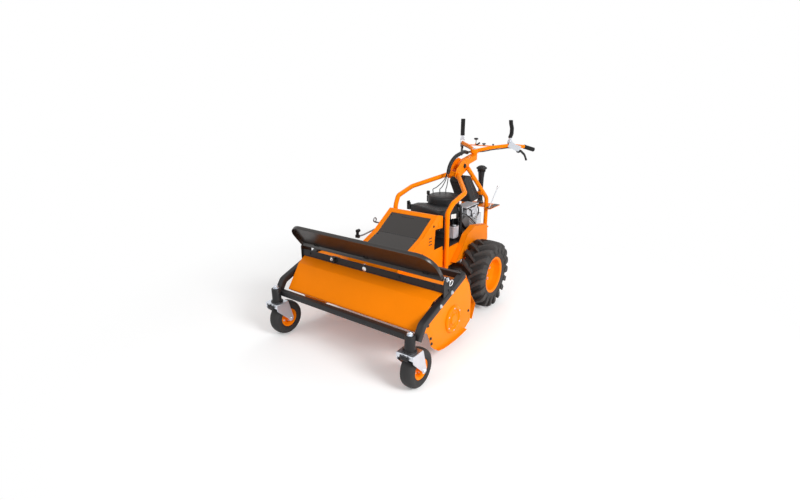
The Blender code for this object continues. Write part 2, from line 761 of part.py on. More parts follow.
def caster_fork():
    """Zinc plated fork at X = 0: plate, skirt, two arms, stem with its nut, and the axle."""
    top = CASTER_TYRE_RADIUS * 2 + FORK_TOP_GAP
    half = FORK_PLATE_WIDTH / 2
    front = CASTER_PIVOT_Y - FORK_PLATE_LENGTH * 0.52
    rear = CASTER_PIVOT_Y + FORK_PLATE_LENGTH * 0.48
    plate = block((-half, front, top), (half, rear, top + FORK_SHEET))
    skirt = block((-half + 0.002, front + 0.0005, top - FORK_SKIRT),
                  (half - 0.002, front + 0.0005 + FORK_SHEET * 0.7, top + FORK_SHEET * 0.5))
    stem = disc((0.0, CASTER_PIVOT_Y), STEM_RADIUS, "Z", top + 0.002,
                PIVOT_TOP + STEM_NUT_HEIGHT + 0.004, SMALL_STEPS)
    nut = disc((0.0, CASTER_PIVOT_Y), STEM_NUT_RADIUS, "Z", PIVOT_TOP + CLEAR,
               PIVOT_TOP + CLEAR + STEM_NUT_HEIGHT, 6)
    reach = CASTER_TYRE_WIDTH / 2 + FORK_SIDE_GAP + FORK_SHEET + 0.007
    axle = disc((CASTER_AXLE_Y, CASTER_AXLE_Z), CASTER_AXLE_RADIUS, "X", -reach, reach,
                SMALL_STEPS)
    return weld(plate, skirt, fork_arm(-1), fork_arm(1), stem, nut, axle)


def caster_tyre():
    half = CASTER_TYRE_WIDTH / 2
    seat = CASTER_RIM_RADIUS + CLEAR
    r = CASTER_TYRE_RADIUS
    profile = [
        (-half * 0.56, seat), (-half * 0.64, seat + 0.0065), (-half * 0.90, seat + 0.010),
        (-half, r - 0.034), (-half * 0.92, r - 0.016), (-half * 0.62, r - 0.004), (0.0, r),
        (half * 0.62, r - 0.004), (half * 0.92, r - 0.016), (half, r - 0.034),
        (half * 0.90, seat + 0.010), (half * 0.64, seat + 0.0065), (half * 0.56, seat),
    ]
    return turned(profile, "X", (0.0, CASTER_AXLE_Y, CASTER_AXLE_Z), ring=True)


def caster_rim():
    """Small dished rim, the same on both sides, turning on the fork's axle."""
    half = CASTER_TYRE_WIDTH / 2
    r = CASTER_RIM_RADIUS
    bore = CASTER_AXLE_RADIUS + RUNNING
    hub = half + FORK_SIDE_GAP - CLEAR
    side = [
        (hub, bore), (hub, CASTER_HUB_RADIUS), (0.010, CASTER_HUB_RADIUS + 0.002),
        (0.010, r - 0.014), (half * 0.72, r - 0.006), (half * 0.82, r + 0.006),
        (half * 0.66, r + 0.006), (half * 0.58, r),
    ]
    profile = side + [(-along, radius) for along, radius in side[::-1]]
    return turned(profile, "X", (0.0, CASTER_AXLE_Y, CASTER_AXLE_Z), ring=True)


def brake_pivot():
    """Hinge of the wheel brake, in front of the fork's skirt."""
    top = CASTER_TYRE_RADIUS * 2 + FORK_TOP_GAP
    y = CASTER_PIVOT_Y - FORK_PLATE_LENGTH * 0.52 - BRAKE_PIN_RADIUS - CLEAR
    return y, top - FORK_SKIRT * 0.55


def caster_brake():
    """Black pedal with two prongs and a shoe in front of the tyre."""
    y, z = brake_pivot()
    pin = disc((y, z), BRAKE_PIN_RADIUS, "X", -0.030, 0.030, SMALL_STEPS)
    shoe = [(y, z + 0.002), (y - 0.002, z - 0.014), (y + 0.026, z - 0.034)]
    pad = prism(band(shoe, BRAKE_SHEET), "X", -0.024, 0.024)
    prongs = []
    for x in (-0.020, 0.010):
        path = [(y, z), (y - 0.008, z + 0.006), (y - 0.012, z + BRAKE_PRONG)]
        prongs.append(prism(band(path, BRAKE_SHEET), "X", x, x + 0.010))
    return weld(pin, pad, *prongs)


def build_casters():
    for side, word in ((1, "left"), (-1, "right")):
        x = side * CASTER_SPACING / 2
        y, z = brake_pivot()
        axle = (x, CASTER_AXLE_Y, CASTER_AXLE_Z)
        add_piece("caster_fork_" + word, move(caster_fork(), (x, 0, 0)), "zinc",
                  (x, CASTER_PIVOT_Y, PIVOT_TOP))
        add_piece("caster_tyre_" + word, move(caster_tyre(), (x, 0, 0)), "tyre_rubber", axle)
        add_piece("caster_rim_" + word, move(caster_rim(), (x, 0, 0)), "orange_paint", axle)
        add_piece("caster_brake_" + word, move(caster_brake(), (x, 0, 0)), "black_plastic",
                  (x, y, z))


# Black frame


def arm_point(y):
    """Height of the arm's middle line above a place along Y."""
    start = (FRONT_TUBE_Y, FRONT_TUBE_Z)
    for a, b in ((start, ARM_BEND), (ARM_BEND, ARM_END)):
        if y <= b[0]:
            return a[1] + (b[1] - a[1]) * (y - a[0]) / (b[0] - a[0])
    return ARM_END[1]


def arm_x(y):
    """Middle line of a splayed arm, from the machine's middle, at a place along Y."""
    share = (y - FRONT_TUBE_Y) / (ARM_END[0] - FRONT_TUBE_Y)
    return (FRAME_FRONT_SPACING + (FRAME_REAR_SPACING - FRAME_FRONT_SPACING) * share) / 2


def build_deck_frame():
    """Front tube, caster pivots, two arms and the cross tube's stubs, welded."""
    pivot_x = CASTER_SPACING / 2
    fork_top = CASTER_TYRE_RADIUS * 2 + FORK_TOP_GAP + FORK_SHEET
    half = FRAME_TUBE / 2
    front = block((-pivot_x, FRONT_TUBE_Y - half, FRONT_TUBE_Z - FRONT_TUBE_HEIGHT / 2),
                  (pivot_x, FRONT_TUBE_Y + half, FRONT_TUBE_Z + FRONT_TUBE_HEIGHT / 2))
    parts = []
    path = [(FRONT_TUBE_Y - 0.004, FRONT_TUBE_Z - 0.006), ARM_BEND, ARM_END]
    flange = fork_top + CLEAR
    for side in (-1, 1):
        arm = prism(band(path, FRAME_TUBE), "X", -half, half)
        for vert in arm.verts:
            vert.co.x += side * arm_x(vert.co.y)
        parts.append(arm)
        pivot = [
            (flange, PIVOT_RADIUS + 0.010), (flange + 0.006, PIVOT_RADIUS + 0.010),
            (flange + 0.010, PIVOT_RADIUS + 0.001), (PIVOT_TOP, PIVOT_RADIUS),
        ]
        low = (flange, 0.0)
        parts.append(turned([low] + pivot + [(PIVOT_TOP, 0.0)], "Z",
                            (side * pivot_x, CASTER_PIVOT_Y, 0.0)))
        stub = sorted((side * (CHASSIS_HALF_WIDTH + GUARD_SHEET + 2 * CLEAR),
                       side * arm_x(ARM_END[0])))
        y, z = ARM_END
        parts.append(block((stub[0], y - 0.030, z - half + 0.001),
                           (stub[1], y - 0.004, z + half - 0.002)))
        for spot in SPACER_PLACES:
            ends = sorted((side * (DECK_HALF_WIDTH + CLEAR), side * arm_x(spot)))
            parts.append(disc((spot, arm_point(spot)), SPACER_RADIUS, "X", *ends, SMALL_STEPS))
    bores = []
    for side in (-1, 1):
        bores.append(disc((side * pivot_x, CASTER_PIVOT_Y), STEM_RADIUS + RUNNING, "Z",
                          fork_top - 0.01, PIVOT_TOP + 0.01, SMALL_STEPS))
    add_piece("deck_frame", cut(weld(front, *parts), *bores), "black_paint")


# Mower deck


HOOD_PATH = [HOOD_FRONT_LOW, HOOD_CREASE, HOOD_FRONT_TOP, HOOD_EAR_REAR, HOOD_EAR_END,
             HOOD_REAR_TOP, HOOD_REAR_BEND, HOOD_REAR_KNEE, HOOD_REAR_FLARE, HOOD_REAR_LOW]


def hood_outer(y_index):
    """Outer face of the hood's sheet at one of its bends."""
    return offset(HOOD_PATH, HOOD_SHEET / 2)[y_index]


def build_hood():
    lip = [(HOOD_FRONT_LOW[0] + 0.016, HOOD_FRONT_LOW[1] - 0.014)]
    halves = [DECK_HALF_WIDTH + extra for extra in HOOD_FLARE]
    add_piece("deck_hood", flared_band(lip + HOOD_PATH, HOOD_SHEET, halves), "orange_paint")


def side_plate_outline():
    """Side of the deck: it follows the hood above and runs down to the skid."""
    top = offset(HOOD_PATH, -HOOD_SHEET / 2 - CLEAR)[:8]
    return top + [
        (HOOD_REAR_KNEE[0] + 0.004, SKID_Z + 0.040), (SKID_REAR_Y, SKID_Z + 0.008),
        ((SKID_REAR_Y + SKID_FRONT_Y) / 2, SKID_Z), (SKID_FRONT_Y, SKID_Z + 0.010),
        *SIDE_FRONT_EDGE, (HOOD_FRONT_LOW[0] + 0.022, HOOD_FRONT_LOW[1] - 0.020),
    ]


def build_side_plates():
    for side, word in ((1, "left"), (-1, "right")):
        ends = sorted((side * (DECK_HALF_WIDTH - SIDE_SHEET), side * DECK_HALF_WIDTH))
        plate = prism(side_plate_outline(), "X", *ends)
        hole = disc((ROTOR_Y, ROTOR_Z), ROTOR_SHAFT_RADIUS + 0.006, "X",
                    ends[0] - 0.01, ends[1] + 0.01, SMALL_STEPS)
        add_piece("side_plate_" + word, cut(plate, hole), "orange_paint")


def build_rotor_bearing():
    """Round flanged bearing cap on the plate at +X, with the shaft's bore inside."""
    x = DECK_HALF_WIDTH + CLEAR
    r = COVER_RADIUS
    bore = ROTOR_SHAFT_RADIUS + RUNNING
    profile = [
        (x, bore), (x, r), (x + COVER_DEPTH * 0.6, r), (x + COVER_DEPTH, r - 0.008),
        (x + COVER_DEPTH, r - 0.020), (x + COVER_DEPTH * 0.5, r - 0.026),
        (x + COVER_DEPTH * 0.5, 0.034), (x + COVER_DEPTH * 1.2, 0.030),
        (x + COVER_DEPTH * 1.2, 0.0), (x + COVER_DEPTH * 0.8, 0.0),
        (x + COVER_DEPTH * 0.8, bore),
    ]
    first = profile.index((x + COVER_DEPTH * 1.2, 0.0))
    ordered = profile[first::-1] + profile[:first:-1]
    add_piece("rotor_bearing_left",
              turned(ordered, "X", (0.0, ROTOR_Y, ROTOR_Z)), "orange_paint")


# Flail rotor


def row_angle(row):
    return 2.0 * pi * row / KNIFE_ROWS + pi / 4


def row_pin(row):
    angle = row_angle(row)
    return ROTOR_Y + LUG_REACH * cos(angle), ROTOR_Z + LUG_REACH * sin(angle)


def knife_places(row):
    """Middle of each knife along X. Every other row is shifted by half a pitch."""
    span = 2 * ROTOR_HALF_LENGTH - 0.150
    pitch = span / (KNIVES_PER_ROW - 0.5)
    shift = pitch / 2 if row % 2 else 0.0
    return [-span / 2 + shift + pitch * k for k in range(KNIVES_PER_ROW)]


def lug_pairs(row):
    """Lugs stand on both sides of each knife's ear."""
    reach = KNIFE_EAR + LUG_SHEET / 2 + CLEAR + 0.001
    for x in knife_places(row):
        yield x - reach
        yield x + reach


def build_rotor():
    body = disc((ROTOR_Y, ROTOR_Z), ROTOR_RADIUS, "X", -ROTOR_HALF_LENGTH, ROTOR_HALF_LENGTH, 16)
    inner = DECK_HALF_WIDTH + COVER_DEPTH * 0.6
    outer = SIDE_BELT_X + BELT_WIDTH / 2
    shaft = disc((ROTOR_Y, ROTOR_Z), ROTOR_SHAFT_RADIUS, "X", -outer, inner, SMALL_STEPS)
    lugs = []
    for row in range(KNIFE_ROWS):
        y, z = row_pin(row)
        angle = row_angle(row)
        for x in lug_pairs(row):
            across = (-sin(angle) * LUG_HALF_WIDTH, cos(angle) * LUG_HALF_WIDTH)
            foot = (ROTOR_Y + (ROTOR_RADIUS - 0.008) * cos(angle),
                    ROTOR_Z + (ROTOR_RADIUS - 0.008) * sin(angle))
            tip = (ROTOR_Y + (LUG_REACH + 0.013) * cos(angle),
                   ROTOR_Z + (LUG_REACH + 0.013) * sin(angle))
            outline = [
                (foot[0] + across[0], foot[1] + across[1]),
                (foot[0] - across[0], foot[1] - across[1]),
                (tip[0] - across[0] * 0.6, tip[1] - across[1] * 0.6),
                (tip[0] + across[0] * 0.6, tip[1] + across[1] * 0.6),
            ]
            lugs.append(prism(outline, "X", x - LUG_SHEET / 2, x + LUG_SHEET / 2))
    rotor = weld(body, shaft, *lugs)
    holes = []
    for row in range(KNIFE_ROWS):
        holes.append(disc(row_pin(row), KNIFE_PIN_RADIUS + RUNNING, "X",
                          -ROTOR_HALF_LENGTH, ROTOR_HALF_LENGTH, 6))
    add_piece("flail_rotor", cut(rotor, *holes), "tool_steel", (0.0, ROTOR_Y, ROTOR_Z))


def build_knife_rows():
    """Each row: one long pin with its hammer knives, hanging from the rotor's lugs."""
    for row in range(KNIFE_ROWS):
        y, z = row_pin(row)
        out = (0.0, -1.0)
        side = (1.0, 0.0)
        reach = max(abs(x) for x in knife_places(row)) + KNIFE_EAR + LUG_SHEET + 0.006
        pin = disc((y, z), KNIFE_PIN_RADIUS, "X", -reach, reach, 6)
        knives = []
        for x in knife_places(row):
            def at(u, v):
                return (y + out[0] * u + side[0] * v, z + out[1] * u + side[1] * v)
            half = KNIFE_SHEET / 2
            length = KNIFE_TIP - LUG_REACH
            shank = [at(-0.010, -half), at(-0.010, half), at(length - 0.02, half),
                     at(length - 0.02, -half)]
            knives.append(prism(shank, "X", x - KNIFE_EAR, x + KNIFE_EAR))
            blade = [at(length - 0.034, -half * 0.9), at(length - 0.034, half * 0.9),
                     at(length - 0.006, half * 0.9), at(length, -half * 0.9)]
            knives.append(prism(blade, "X", x - KNIFE_WIDTH / 2, x + KNIFE_WIDTH / 2))
        add_piece("knife_row_%d" % (row + 1), weld(pin, *knives), "tool_steel", (0.0, y, z))


# Blade drive


def pulley(radius, axis, centre, hub_low, hub_high, bore=0.0):
    """Grooved pulley. The belt's middle runs at the radius, in the plane through centre."""
    half = BELT_WIDTH / 2 + CLEAR
    bottom = radius - BELT_THICKNESS / 2 - CLEAR
    lip = radius + PULLEY_LIP
    cheek = half + PULLEY_CHEEK
    hub = max(bore + 0.008, 0.018)
    profile = [
        (hub_low, bore), (hub_low, hub), (-cheek, hub), (-cheek, lip), (-half, lip),
        (-half, bottom), (half, bottom), (half, lip), (cheek, lip), (cheek, hub),
        (hub_high, hub), (hub_high, bore),
    ]
    return turned(profile, axis, centre, ring=bore > 0.0)


def belt(a, b, radius_a, radius_b, axis, middle):
    """A closed belt round two pulleys, with a slot through its middle."""
    half = BELT_THICKNESS / 2
    outer = prism(stadium(a, b, radius_a + half, radius_b + half), axis,
                  middle - BELT_WIDTH / 2, middle + BELT_WIDTH / 2)
    inner = prism(stadium(a, b, radius_a - half, radius_b - half), axis,
                  middle - BELT_WIDTH, middle + BELT_WIDTH)
    return cut(outer, inner)


def build_blade_drive():
    plate_low = ENGINE_PLATE_Z - BELT_Z
    engine = pulley(PULLEY_RADIUS, "Z", (0.0, ENGINE_Y, BELT_Z), -0.014, plate_low)
    add_piece("engine_pulley", engine, "cast_iron", (0.0, ENGINE_Y, BELT_Z))
    box_top = GEARBOX_Z + GEARBOX_HALF_HEIGHT
    low = box_top + CLEAR - BELT_Z
    geared = pulley(PULLEY_RADIUS, "Z", (0.0, GEARBOX_Y, BELT_Z), low, 0.014)
    add_piece("gearbox_pulley", geared, "cast_iron", (0.0, GEARBOX_Y, BELT_Z))
    add_piece("blade_belt", belt((0.0, ENGINE_Y), (0.0, GEARBOX_Y), PULLEY_RADIUS,
                                 PULLEY_RADIUS, "Z", BELT_Z), "belt_rubber")
    wall = hood_outer(7)[0] + CLEAR
    box = block((-GEARBOX_HALF_WIDTH, wall, GEARBOX_Z - GEARBOX_HALF_HEIGHT),
                (GEARBOX_HALF_WIDTH, GEARBOX_Y + 0.055, box_top))
    seat = disc((GEARBOX_Y, GEARBOX_Z), 0.030, "X", -GEARBOX_HALF_WIDTH - 0.020, 0.0)
    bore = disc((GEARBOX_Y, GEARBOX_Z), ROTOR_SHAFT_RADIUS + RUNNING, "X",
                -GEARBOX_HALF_WIDTH - 0.030, -GEARBOX_HALF_WIDTH + 0.020, SMALL_STEPS)
    add_piece("deck_gearbox", cut(weld(box, seat), bore), "cast_iron")
    cross = pulley(CROSS_PULLEY_RADIUS, "X", (-SIDE_BELT_X, GEARBOX_Y, GEARBOX_Z), -0.012, 0.014)
    shaft = disc((GEARBOX_Y, GEARBOX_Z), ROTOR_SHAFT_RADIUS, "X", -SIDE_BELT_X - 0.006,
                 -GEARBOX_HALF_WIDTH + 0.020 - CLEAR, SMALL_STEPS)
    add_piece("cross_shaft", weld(cross, shaft), "tool_steel", (0.0, GEARBOX_Y, GEARBOX_Z))
    plate = DECK_HALF_WIDTH + CLEAR
    wheel = pulley(ROTOR_PULLEY_RADIUS, "X", (-SIDE_BELT_X, ROTOR_Y, ROTOR_Z), -0.012,
                   SIDE_BELT_X - plate, bore=ROTOR_SHAFT_RADIUS + CLEAR)
    add_piece("rotor_pulley", wheel, "cast_iron", (0.0, ROTOR_Y, ROTOR_Z))
    add_piece("rotor_belt", belt((ROTOR_Y, ROTOR_Z), (GEARBOX_Y, GEARBOX_Z),
                                 ROTOR_PULLEY_RADIUS, CROSS_PULLEY_RADIUS, "X", -SIDE_BELT_X),
              "belt_rubber")


def build_belt_cover():
    """Pressed case over the side belt, open towards the plate."""
    low = -SIDE_BELT_X - BELT_COVER_DEPTH
    high = -DECK_HALF_WIDTH - CLEAR
    margin = BELT_COVER_MARGIN
    inner = margin - BELT_COVER_SHEET
    ends = (ROTOR_Y, ROTOR_Z), (GEARBOX_Y, GEARBOX_Z)
    shell = prism(stadium(*ends, ROTOR_PULLEY_RADIUS + margin, CROSS_PULLEY_RADIUS + margin),
                  "X", low, high)
    hollow = prism(stadium(*ends, ROTOR_PULLEY_RADIUS + inner, CROSS_PULLEY_RADIUS + inner),
                   "X", low + BELT_COVER_SHEET, high + 0.02)
    add_piece("rotor_belt_cover", cut(shell, hollow), "orange_paint")


# Chassis and belt guard


def build_chassis():
    """Engine plate with two turned-down sides that sit on the axle housings."""
    w = CHASSIS_HALF_WIDTH
    top = ENGINE_PLATE_Z
    saddle = DRIVE_AXLE_Z + AXLE_HOUSING_RADIUS + CLEAR
    plate = block((-w, CHASSIS_FRONT_Y, top - ENGINE_PLATE_SHEET), (w, CHASSIS_REAR_Y, top))
    outline = [
        (CHASSIS_FRONT_Y, top - 0.001), (CHASSIS_FRONT_Y, CHASSIS_LOW_Z + 0.060),
        (CHASSIS_FRONT_Y + 0.060, CHASSIS_LOW_Z), (-0.075, CHASSIS_LOW_Z), (-0.045, saddle),
        (0.045, saddle), (0.075, CHASSIS_LOW_Z), (CHASSIS_REAR_Y, CHASSIS_LOW_Z + 0.020),
        (CHASSIS_REAR_Y, top - 0.001),
    ]
    sides = []
    for side in (-1, 1):
        ends = sorted((side * (w - CHASSIS_SHEET), side * w))
        sides.append(prism(outline, "X", *ends))
    tail = []
    for side in (-1, 1):
        ends = sorted((side * (LEG_BEND[0] - 0.022), side * (LEG_BEND[0] + 0.022)))
        tail.append(block((ends[0], CHASSIS_REAR_Y - 0.010, top - 0.040),
                          (ends[1], LEG_BEND[1] + 0.022, LEG_LOW_Z - CLEAR)))
        tail.append(block((ends[0], CHASSIS_REAR_Y - 0.010, top - 0.040),
                          (ends[1], CHASSIS_REAR_Y + 0.002, top - 0.001)))
    hole = disc((0.0, ENGINE_Y), 0.030, "Z", top - 0.05, top + 0.05)
    add_piece("chassis_frame", cut(weld(plate, *sides, *tail), hole), "orange_paint")


def build_guard():
    """Orange box over the belt drive: two sides, a top rim and the borders of the panel."""
    inner = CHASSIS_HALF_WIDTH + CLEAR
    outer = inner + GUARD_SHEET
    deck = hood_outer(2)[1] + CLEAR
    outline = [
        GUARD_TOP_REAR, GUARD_TOP_FRONT, GUARD_CREASE, GUARD_LOW, (GUARD_FOOT_Y, deck),
        (HOOD_REAR_TOP[0] + 0.004, deck), (CHASSIS_FRONT_Y - 0.030, CHASSIS_LOW_Z + 0.060),
        (CHASSIS_FRONT_Y + 0.050, CHASSIS_LOW_Z + 0.012),
        (GUARD_TOP_REAR[0] + 0.012, CHASSIS_LOW_Z + 0.012),
    ]
    window = [
        (WINDOW_FRONT_Y, WINDOW_LOW_Z), (WINDOW_REAR_Y, WINDOW_LOW_Z),
        (WINDOW_REAR_Y, WINDOW_HIGH_Z + 0.070), (WINDOW_FRONT_Y + 0.050, WINDOW_HIGH_Z + 0.070),
        (WINDOW_FRONT_Y, WINDOW_HIGH_Z),
    ]
    parts = []
    windows = []
    for side in (-1, 1):
        ends = sorted((side * inner, side * outer))
        parts.append(prism(outline, "X", *ends))
        windows.append(prism(window, "X", ends[0] - 0.01, ends[1] + 0.01))
        border = sorted((side * (outer - GUARD_BORDER), side * (outer - 0.001)))
        path = [GUARD_TOP_FRONT, GUARD_CREASE, GUARD_LOW]
        parts.append(prism(band(offset(path, GUARD_SHEET), GUARD_SHEET), "X", *border))
    top = [GUARD_TOP_REAR, GUARD_TOP_FRONT,
           (GUARD_TOP_FRONT[0] - 0.030, GUARD_TOP_FRONT[1] - 0.0197)]
    parts.append(prism(band(offset(top, GUARD_SHEET), GUARD_SHEET), "X",
                       -outer + 0.001, outer - 0.001))
    sill = prism(band(offset([GUARD_LOW, (GUARD_FOOT_Y, deck + 0.010)], GUARD_SHEET),
                      GUARD_SHEET), "X", -outer + 0.001, outer - 0.001)
    guard = cut(weld(*parts, sill), *windows)
    x = -outer - LINK_GAP
    stud_end = -outer - STUD_LENGTH

    def link_point(side, place):
        return (side, GUARD_CREASE[0] + place[0], GUARD_CREASE[1] + place[1])

    link = pipe(fillet([link_point(-outer + 0.001, LINK_START),
                        link_point(x, (LINK_START[0] - 0.002, LINK_START[1] + 0.001)),
                        link_point(x, LINK_KNEE), link_point(x - LINK_KICK, LINK_END)],
                       0.012, 2), LINK_RADIUS, 8)
    stud = disc(link_point(0.0, STUD_PLACE)[1:], LINK_RADIUS, "X", stud_end, -outer + 0.001, 8)
    ring = link_point(0.0, RING_PLACE)[1:]
    eye = disc(ring, RING_RADIUS, "X", stud_end + 0.004, stud_end + 0.012, 14)
    eye_hole = disc((ring[0] - 0.004, ring[1] + 0.008), RING_HOLE, "X", stud_end - 0.016,
                    stud_end + 0.024, 8)
    tip = link_point(x - LINK_KICK, LINK_END)
    hook = block((tip[0] - 0.006, tip[1] - 0.008, tip[2] - 0.008),
                 (tip[0] + 0.006, tip[1] + 0.010, tip[2] + HOOK_RISE))
    guard = weld(guard, link, stud, cut(eye, eye_hole), hook)
    add_piece("guard_frame", guard, "orange_paint")


def build_guard_panel():
    """Black inlaid panel between the borders, a little lower than they are."""
    half = CHASSIS_HALF_WIDTH + CLEAR + GUARD_SHEET - GUARD_BORDER - CLEAR
    start = (GUARD_TOP_FRONT[0] - 0.0315, GUARD_TOP_FRONT[1] - 0.0207)
    path = offset([start, GUARD_CREASE, GUARD_LOW], GUARD_SHEET)
    end = path[-1]
    back = path[-2]
    span = sqrt((end[0] - back[0]) ** 2 + (end[1] - back[1]) ** 2)
    share = (span - 2 * GUARD_SHEET) / span
    path[-1] = (back[0] + (end[0] - back[0]) * share, back[1] + (end[1] - back[1]) * share)
    add_piece("guard_panel", prism(band(path, PANEL_SHEET), "X", -half, half), "black_gloss")


def head_outline():
    return [
        (0.070, 0.948), (0.120, 0.925), (0.255, 0.975), (0.300, 1.010), (0.290, 1.060),
        (0.245, 1.075), (0.180, 1.060), (0.100, 1.010),
    ]


def build_tube_frame():
    """Both bent tubes, both rear legs, the head plates, the console and the tank strap."""
    tubes = []
    for side in (-1, 1):
        front = [
            (side * POST_X, POST_Y, POST_LOW_Z), (side * POST_X, POST_Y, POST_TOP_Z),
            (side * FRONT_BEND[0], *FRONT_BEND[1:]), (side * UPPER_BEND[0], *UPPER_BEND[1:]),
            (side * TUBE_TOP[0], *TUBE_TOP[1:]),
        ]
        tubes.append(pipe(fillet(front, BEND_RADIUS), TUBE_RADIUS))
        leg = [
            (side * LEG_TOP[0], *LEG_TOP[1:]), (side * LEG_BEND[0], *LEG_BEND[1:]),
            (side * LEG_BEND[0], LEG_BEND[1], LEG_LOW_Z),
        ]
        tubes.append(pipe(fillet(leg, BEND_RADIUS), TUBE_RADIUS))
        ends = sorted((side * HEAD_PLATE_X, side * (HEAD_PLATE_X + HEAD_PLATE_SHEET)))
        tubes.append(prism(head_outline(), "X", *ends))
    tie = block((-HEAD_PLATE_X - 0.002, 0.092, 0.950), (HEAD_PLATE_X + 0.002, 0.112, 0.985))
    console = block((-LEG_BEND[0], LEG_BEND[1] - 0.004, CONSOLE_Z - CONSOLE_SHEET),
                    (GEAR_LEVER_X + 0.022, CONSOLE_REAR_Y, CONSOLE_Z))
    wing = block((LEG_BEND[0] + 0.004, GEAR_PIVOT_Y - 0.025, CONSOLE_Z - CONSOLE_SHEET),
                 (GEAR_LEVER_X + 0.022, LEG_BEND[1] + 0.010, CONSOLE_Z))
    upper, lower = offset(tank_outline()[2:4], TANK_STRAP / 2 + CLEAR)
    straps = []
    for near, far in ((0.10, 0.22), (0.74, 0.86)):
        ends = [(upper[0] + (lower[0] - upper[0]) * t, upper[1] + (lower[1] - upper[1]) * t)
                for t in (near, far)]
        reach = LEG_TOP[0] + (LEG_BEND[0] - LEG_TOP[0]) * (0.17 + 0.76 * near)
        straps.append(prism(band(ends, TANK_STRAP), "X", -reach, reach))
    bolt = disc((COLUMN_PIVOT_Y, COLUMN_PIVOT_Z), 0.008, "X",
                -HEAD_PLATE_X - 0.016, HEAD_PLATE_X + 0.016, SMALL_STEPS)
    slot = GEAR_EYE_HALF + CLEAR
    gate = block((GEAR_LEVER_X - slot, GEAR_PIVOT_Y - GEAR_EYE_RADIUS - CLEAR, CONSOLE_Z - 0.05),
                 (GEAR_LEVER_X + slot, GEAR_PIVOT_Y + 0.080, CONSOLE_Z + 0.05))
    frame = weld(*tubes, tie, console, wing, *straps, bolt)
    add_piece("tube_frame", cut(frame, gate), "orange_paint")


# Tank, intake, gear lever


def tank_outline():
    """Side of the tank, parallel to the rear legs."""
    dy = LEG_BEND[1] - LEG_TOP[1]
    dz = LEG_BEND[2] - LEG_TOP[2]
    length = sqrt(dy * dy + dz * dz)
    gap = TUBE_RADIUS + 0.008
    shift = (dz / length * gap, -dy / length * gap)
    upper = (LEG_TOP[1] + dy * 0.17 + shift[0], LEG_TOP[2] + dz * 0.17 + shift[1])
    lower = (LEG_TOP[1] + dy * 0.93 + shift[0], LEG_TOP[2] + dz * 0.93 + shift[1])
    return [(0.170, 0.895), (0.195, upper[1] + 0.010), upper, lower, (0.300, lower[1] - 0.015)]


def build_tank():
    outline = tank_outline()
    tank = prism(outline, "X", -TANK_HALF_WIDTH, TANK_HALF_WIDTH)
    bmesh.ops.bevel(tank, geom=[e for e in tank.edges if abs(e.verts[0].co.x - e.verts[1].co.x) < 1e-6],
                    offset=TANK_ROUNDING, segments=2, affect="EDGES", profile=0.5)
    add_piece("fuel_tank", tank, "black_plastic")
    upper = outline[2]
    lower = outline[3]
    middle = ((upper[0] + lower[0]) / 2, (upper[1] + lower[1]) / 2)
    run = Vector((0.0, lower[0] - upper[0], lower[1] - upper[1])).normalized()
    away = Vector((0.0, -run.z, run.y))
    centre = Vector((0.0, *middle)) + away * CLEAR
    cap = turned([(0.0, 0.0), (0.0, FUEL_CAP_RADIUS - 0.002), (0.003, FUEL_CAP_RADIUS),
                  (FUEL_CAP_HEIGHT - 0.002, FUEL_CAP_RADIUS),
                  (FUEL_CAP_HEIGHT, FUEL_CAP_RADIUS - 0.003), (FUEL_CAP_HEIGHT, 0.0)],
                 "Z", (0, 0, 0), 18)
    turn = Vector((0.0, 0.0, 1.0)).rotation_difference(away).to_matrix()
    bmesh.ops.rotate(cap, verts=cap.verts, cent=(0, 0, 0), matrix=turn)
    add_piece("fuel_cap", move(cap, centre), "black_plastic", centre)
    print("fuel cap at", tuple(round(v, 5) for v in centre), "axis",
          tuple(round(v, 5) for v in away))


def build_intake():
    base = CONSOLE_Z + CLEAR
    r = INTAKE_RADIUS
    cap = INTAKE_CAP_RADIUS
    top = INTAKE_TOP_Z
    profile = [
        (base, 0.0), (base, r + 0.006), (base + 0.012, r + 0.006), (base + 0.020, r),
        (top - 0.075, r), (top - 0.062, r + 0.006), (top - 0.034, cap - 0.008),
        (top - 0.028, cap), (top - 0.010, cap), (top - 0.003, cap - 0.010), (top, 0.0),
    ]
    intake = turned(profile, "Z", (0.0, INTAKE_Y, 0.0))
    add_piece("air_intake", intake, "black_plastic")


def build_gear_lever():
    pivot = Vector((GEAR_LEVER_X, GEAR_PIVOT_Y, CONSOLE_Z - CONSOLE_SHEET / 2))
    ball = Vector((GEAR_LEVER_X, *GEAR_BALL_PLACE))
    rod = pipe([pivot, pivot.lerp(ball, 0.5), ball], GEAR_ROD_RADIUS, 8)
    knob = bmesh.new()
    bmesh.ops.create_icosphere(knob, subdivisions=2, radius=GEAR_BALL_RADIUS)
    eye = disc((pivot.y, pivot.z), GEAR_EYE_RADIUS, "X", pivot.x - GEAR_EYE_HALF,
               pivot.x + GEAR_EYE_HALF, SMALL_STEPS)
    lever = weld(rod, move(knob, ball), eye)
    add_piece("gear_lever", lever, "zinc", pivot)


# Engine


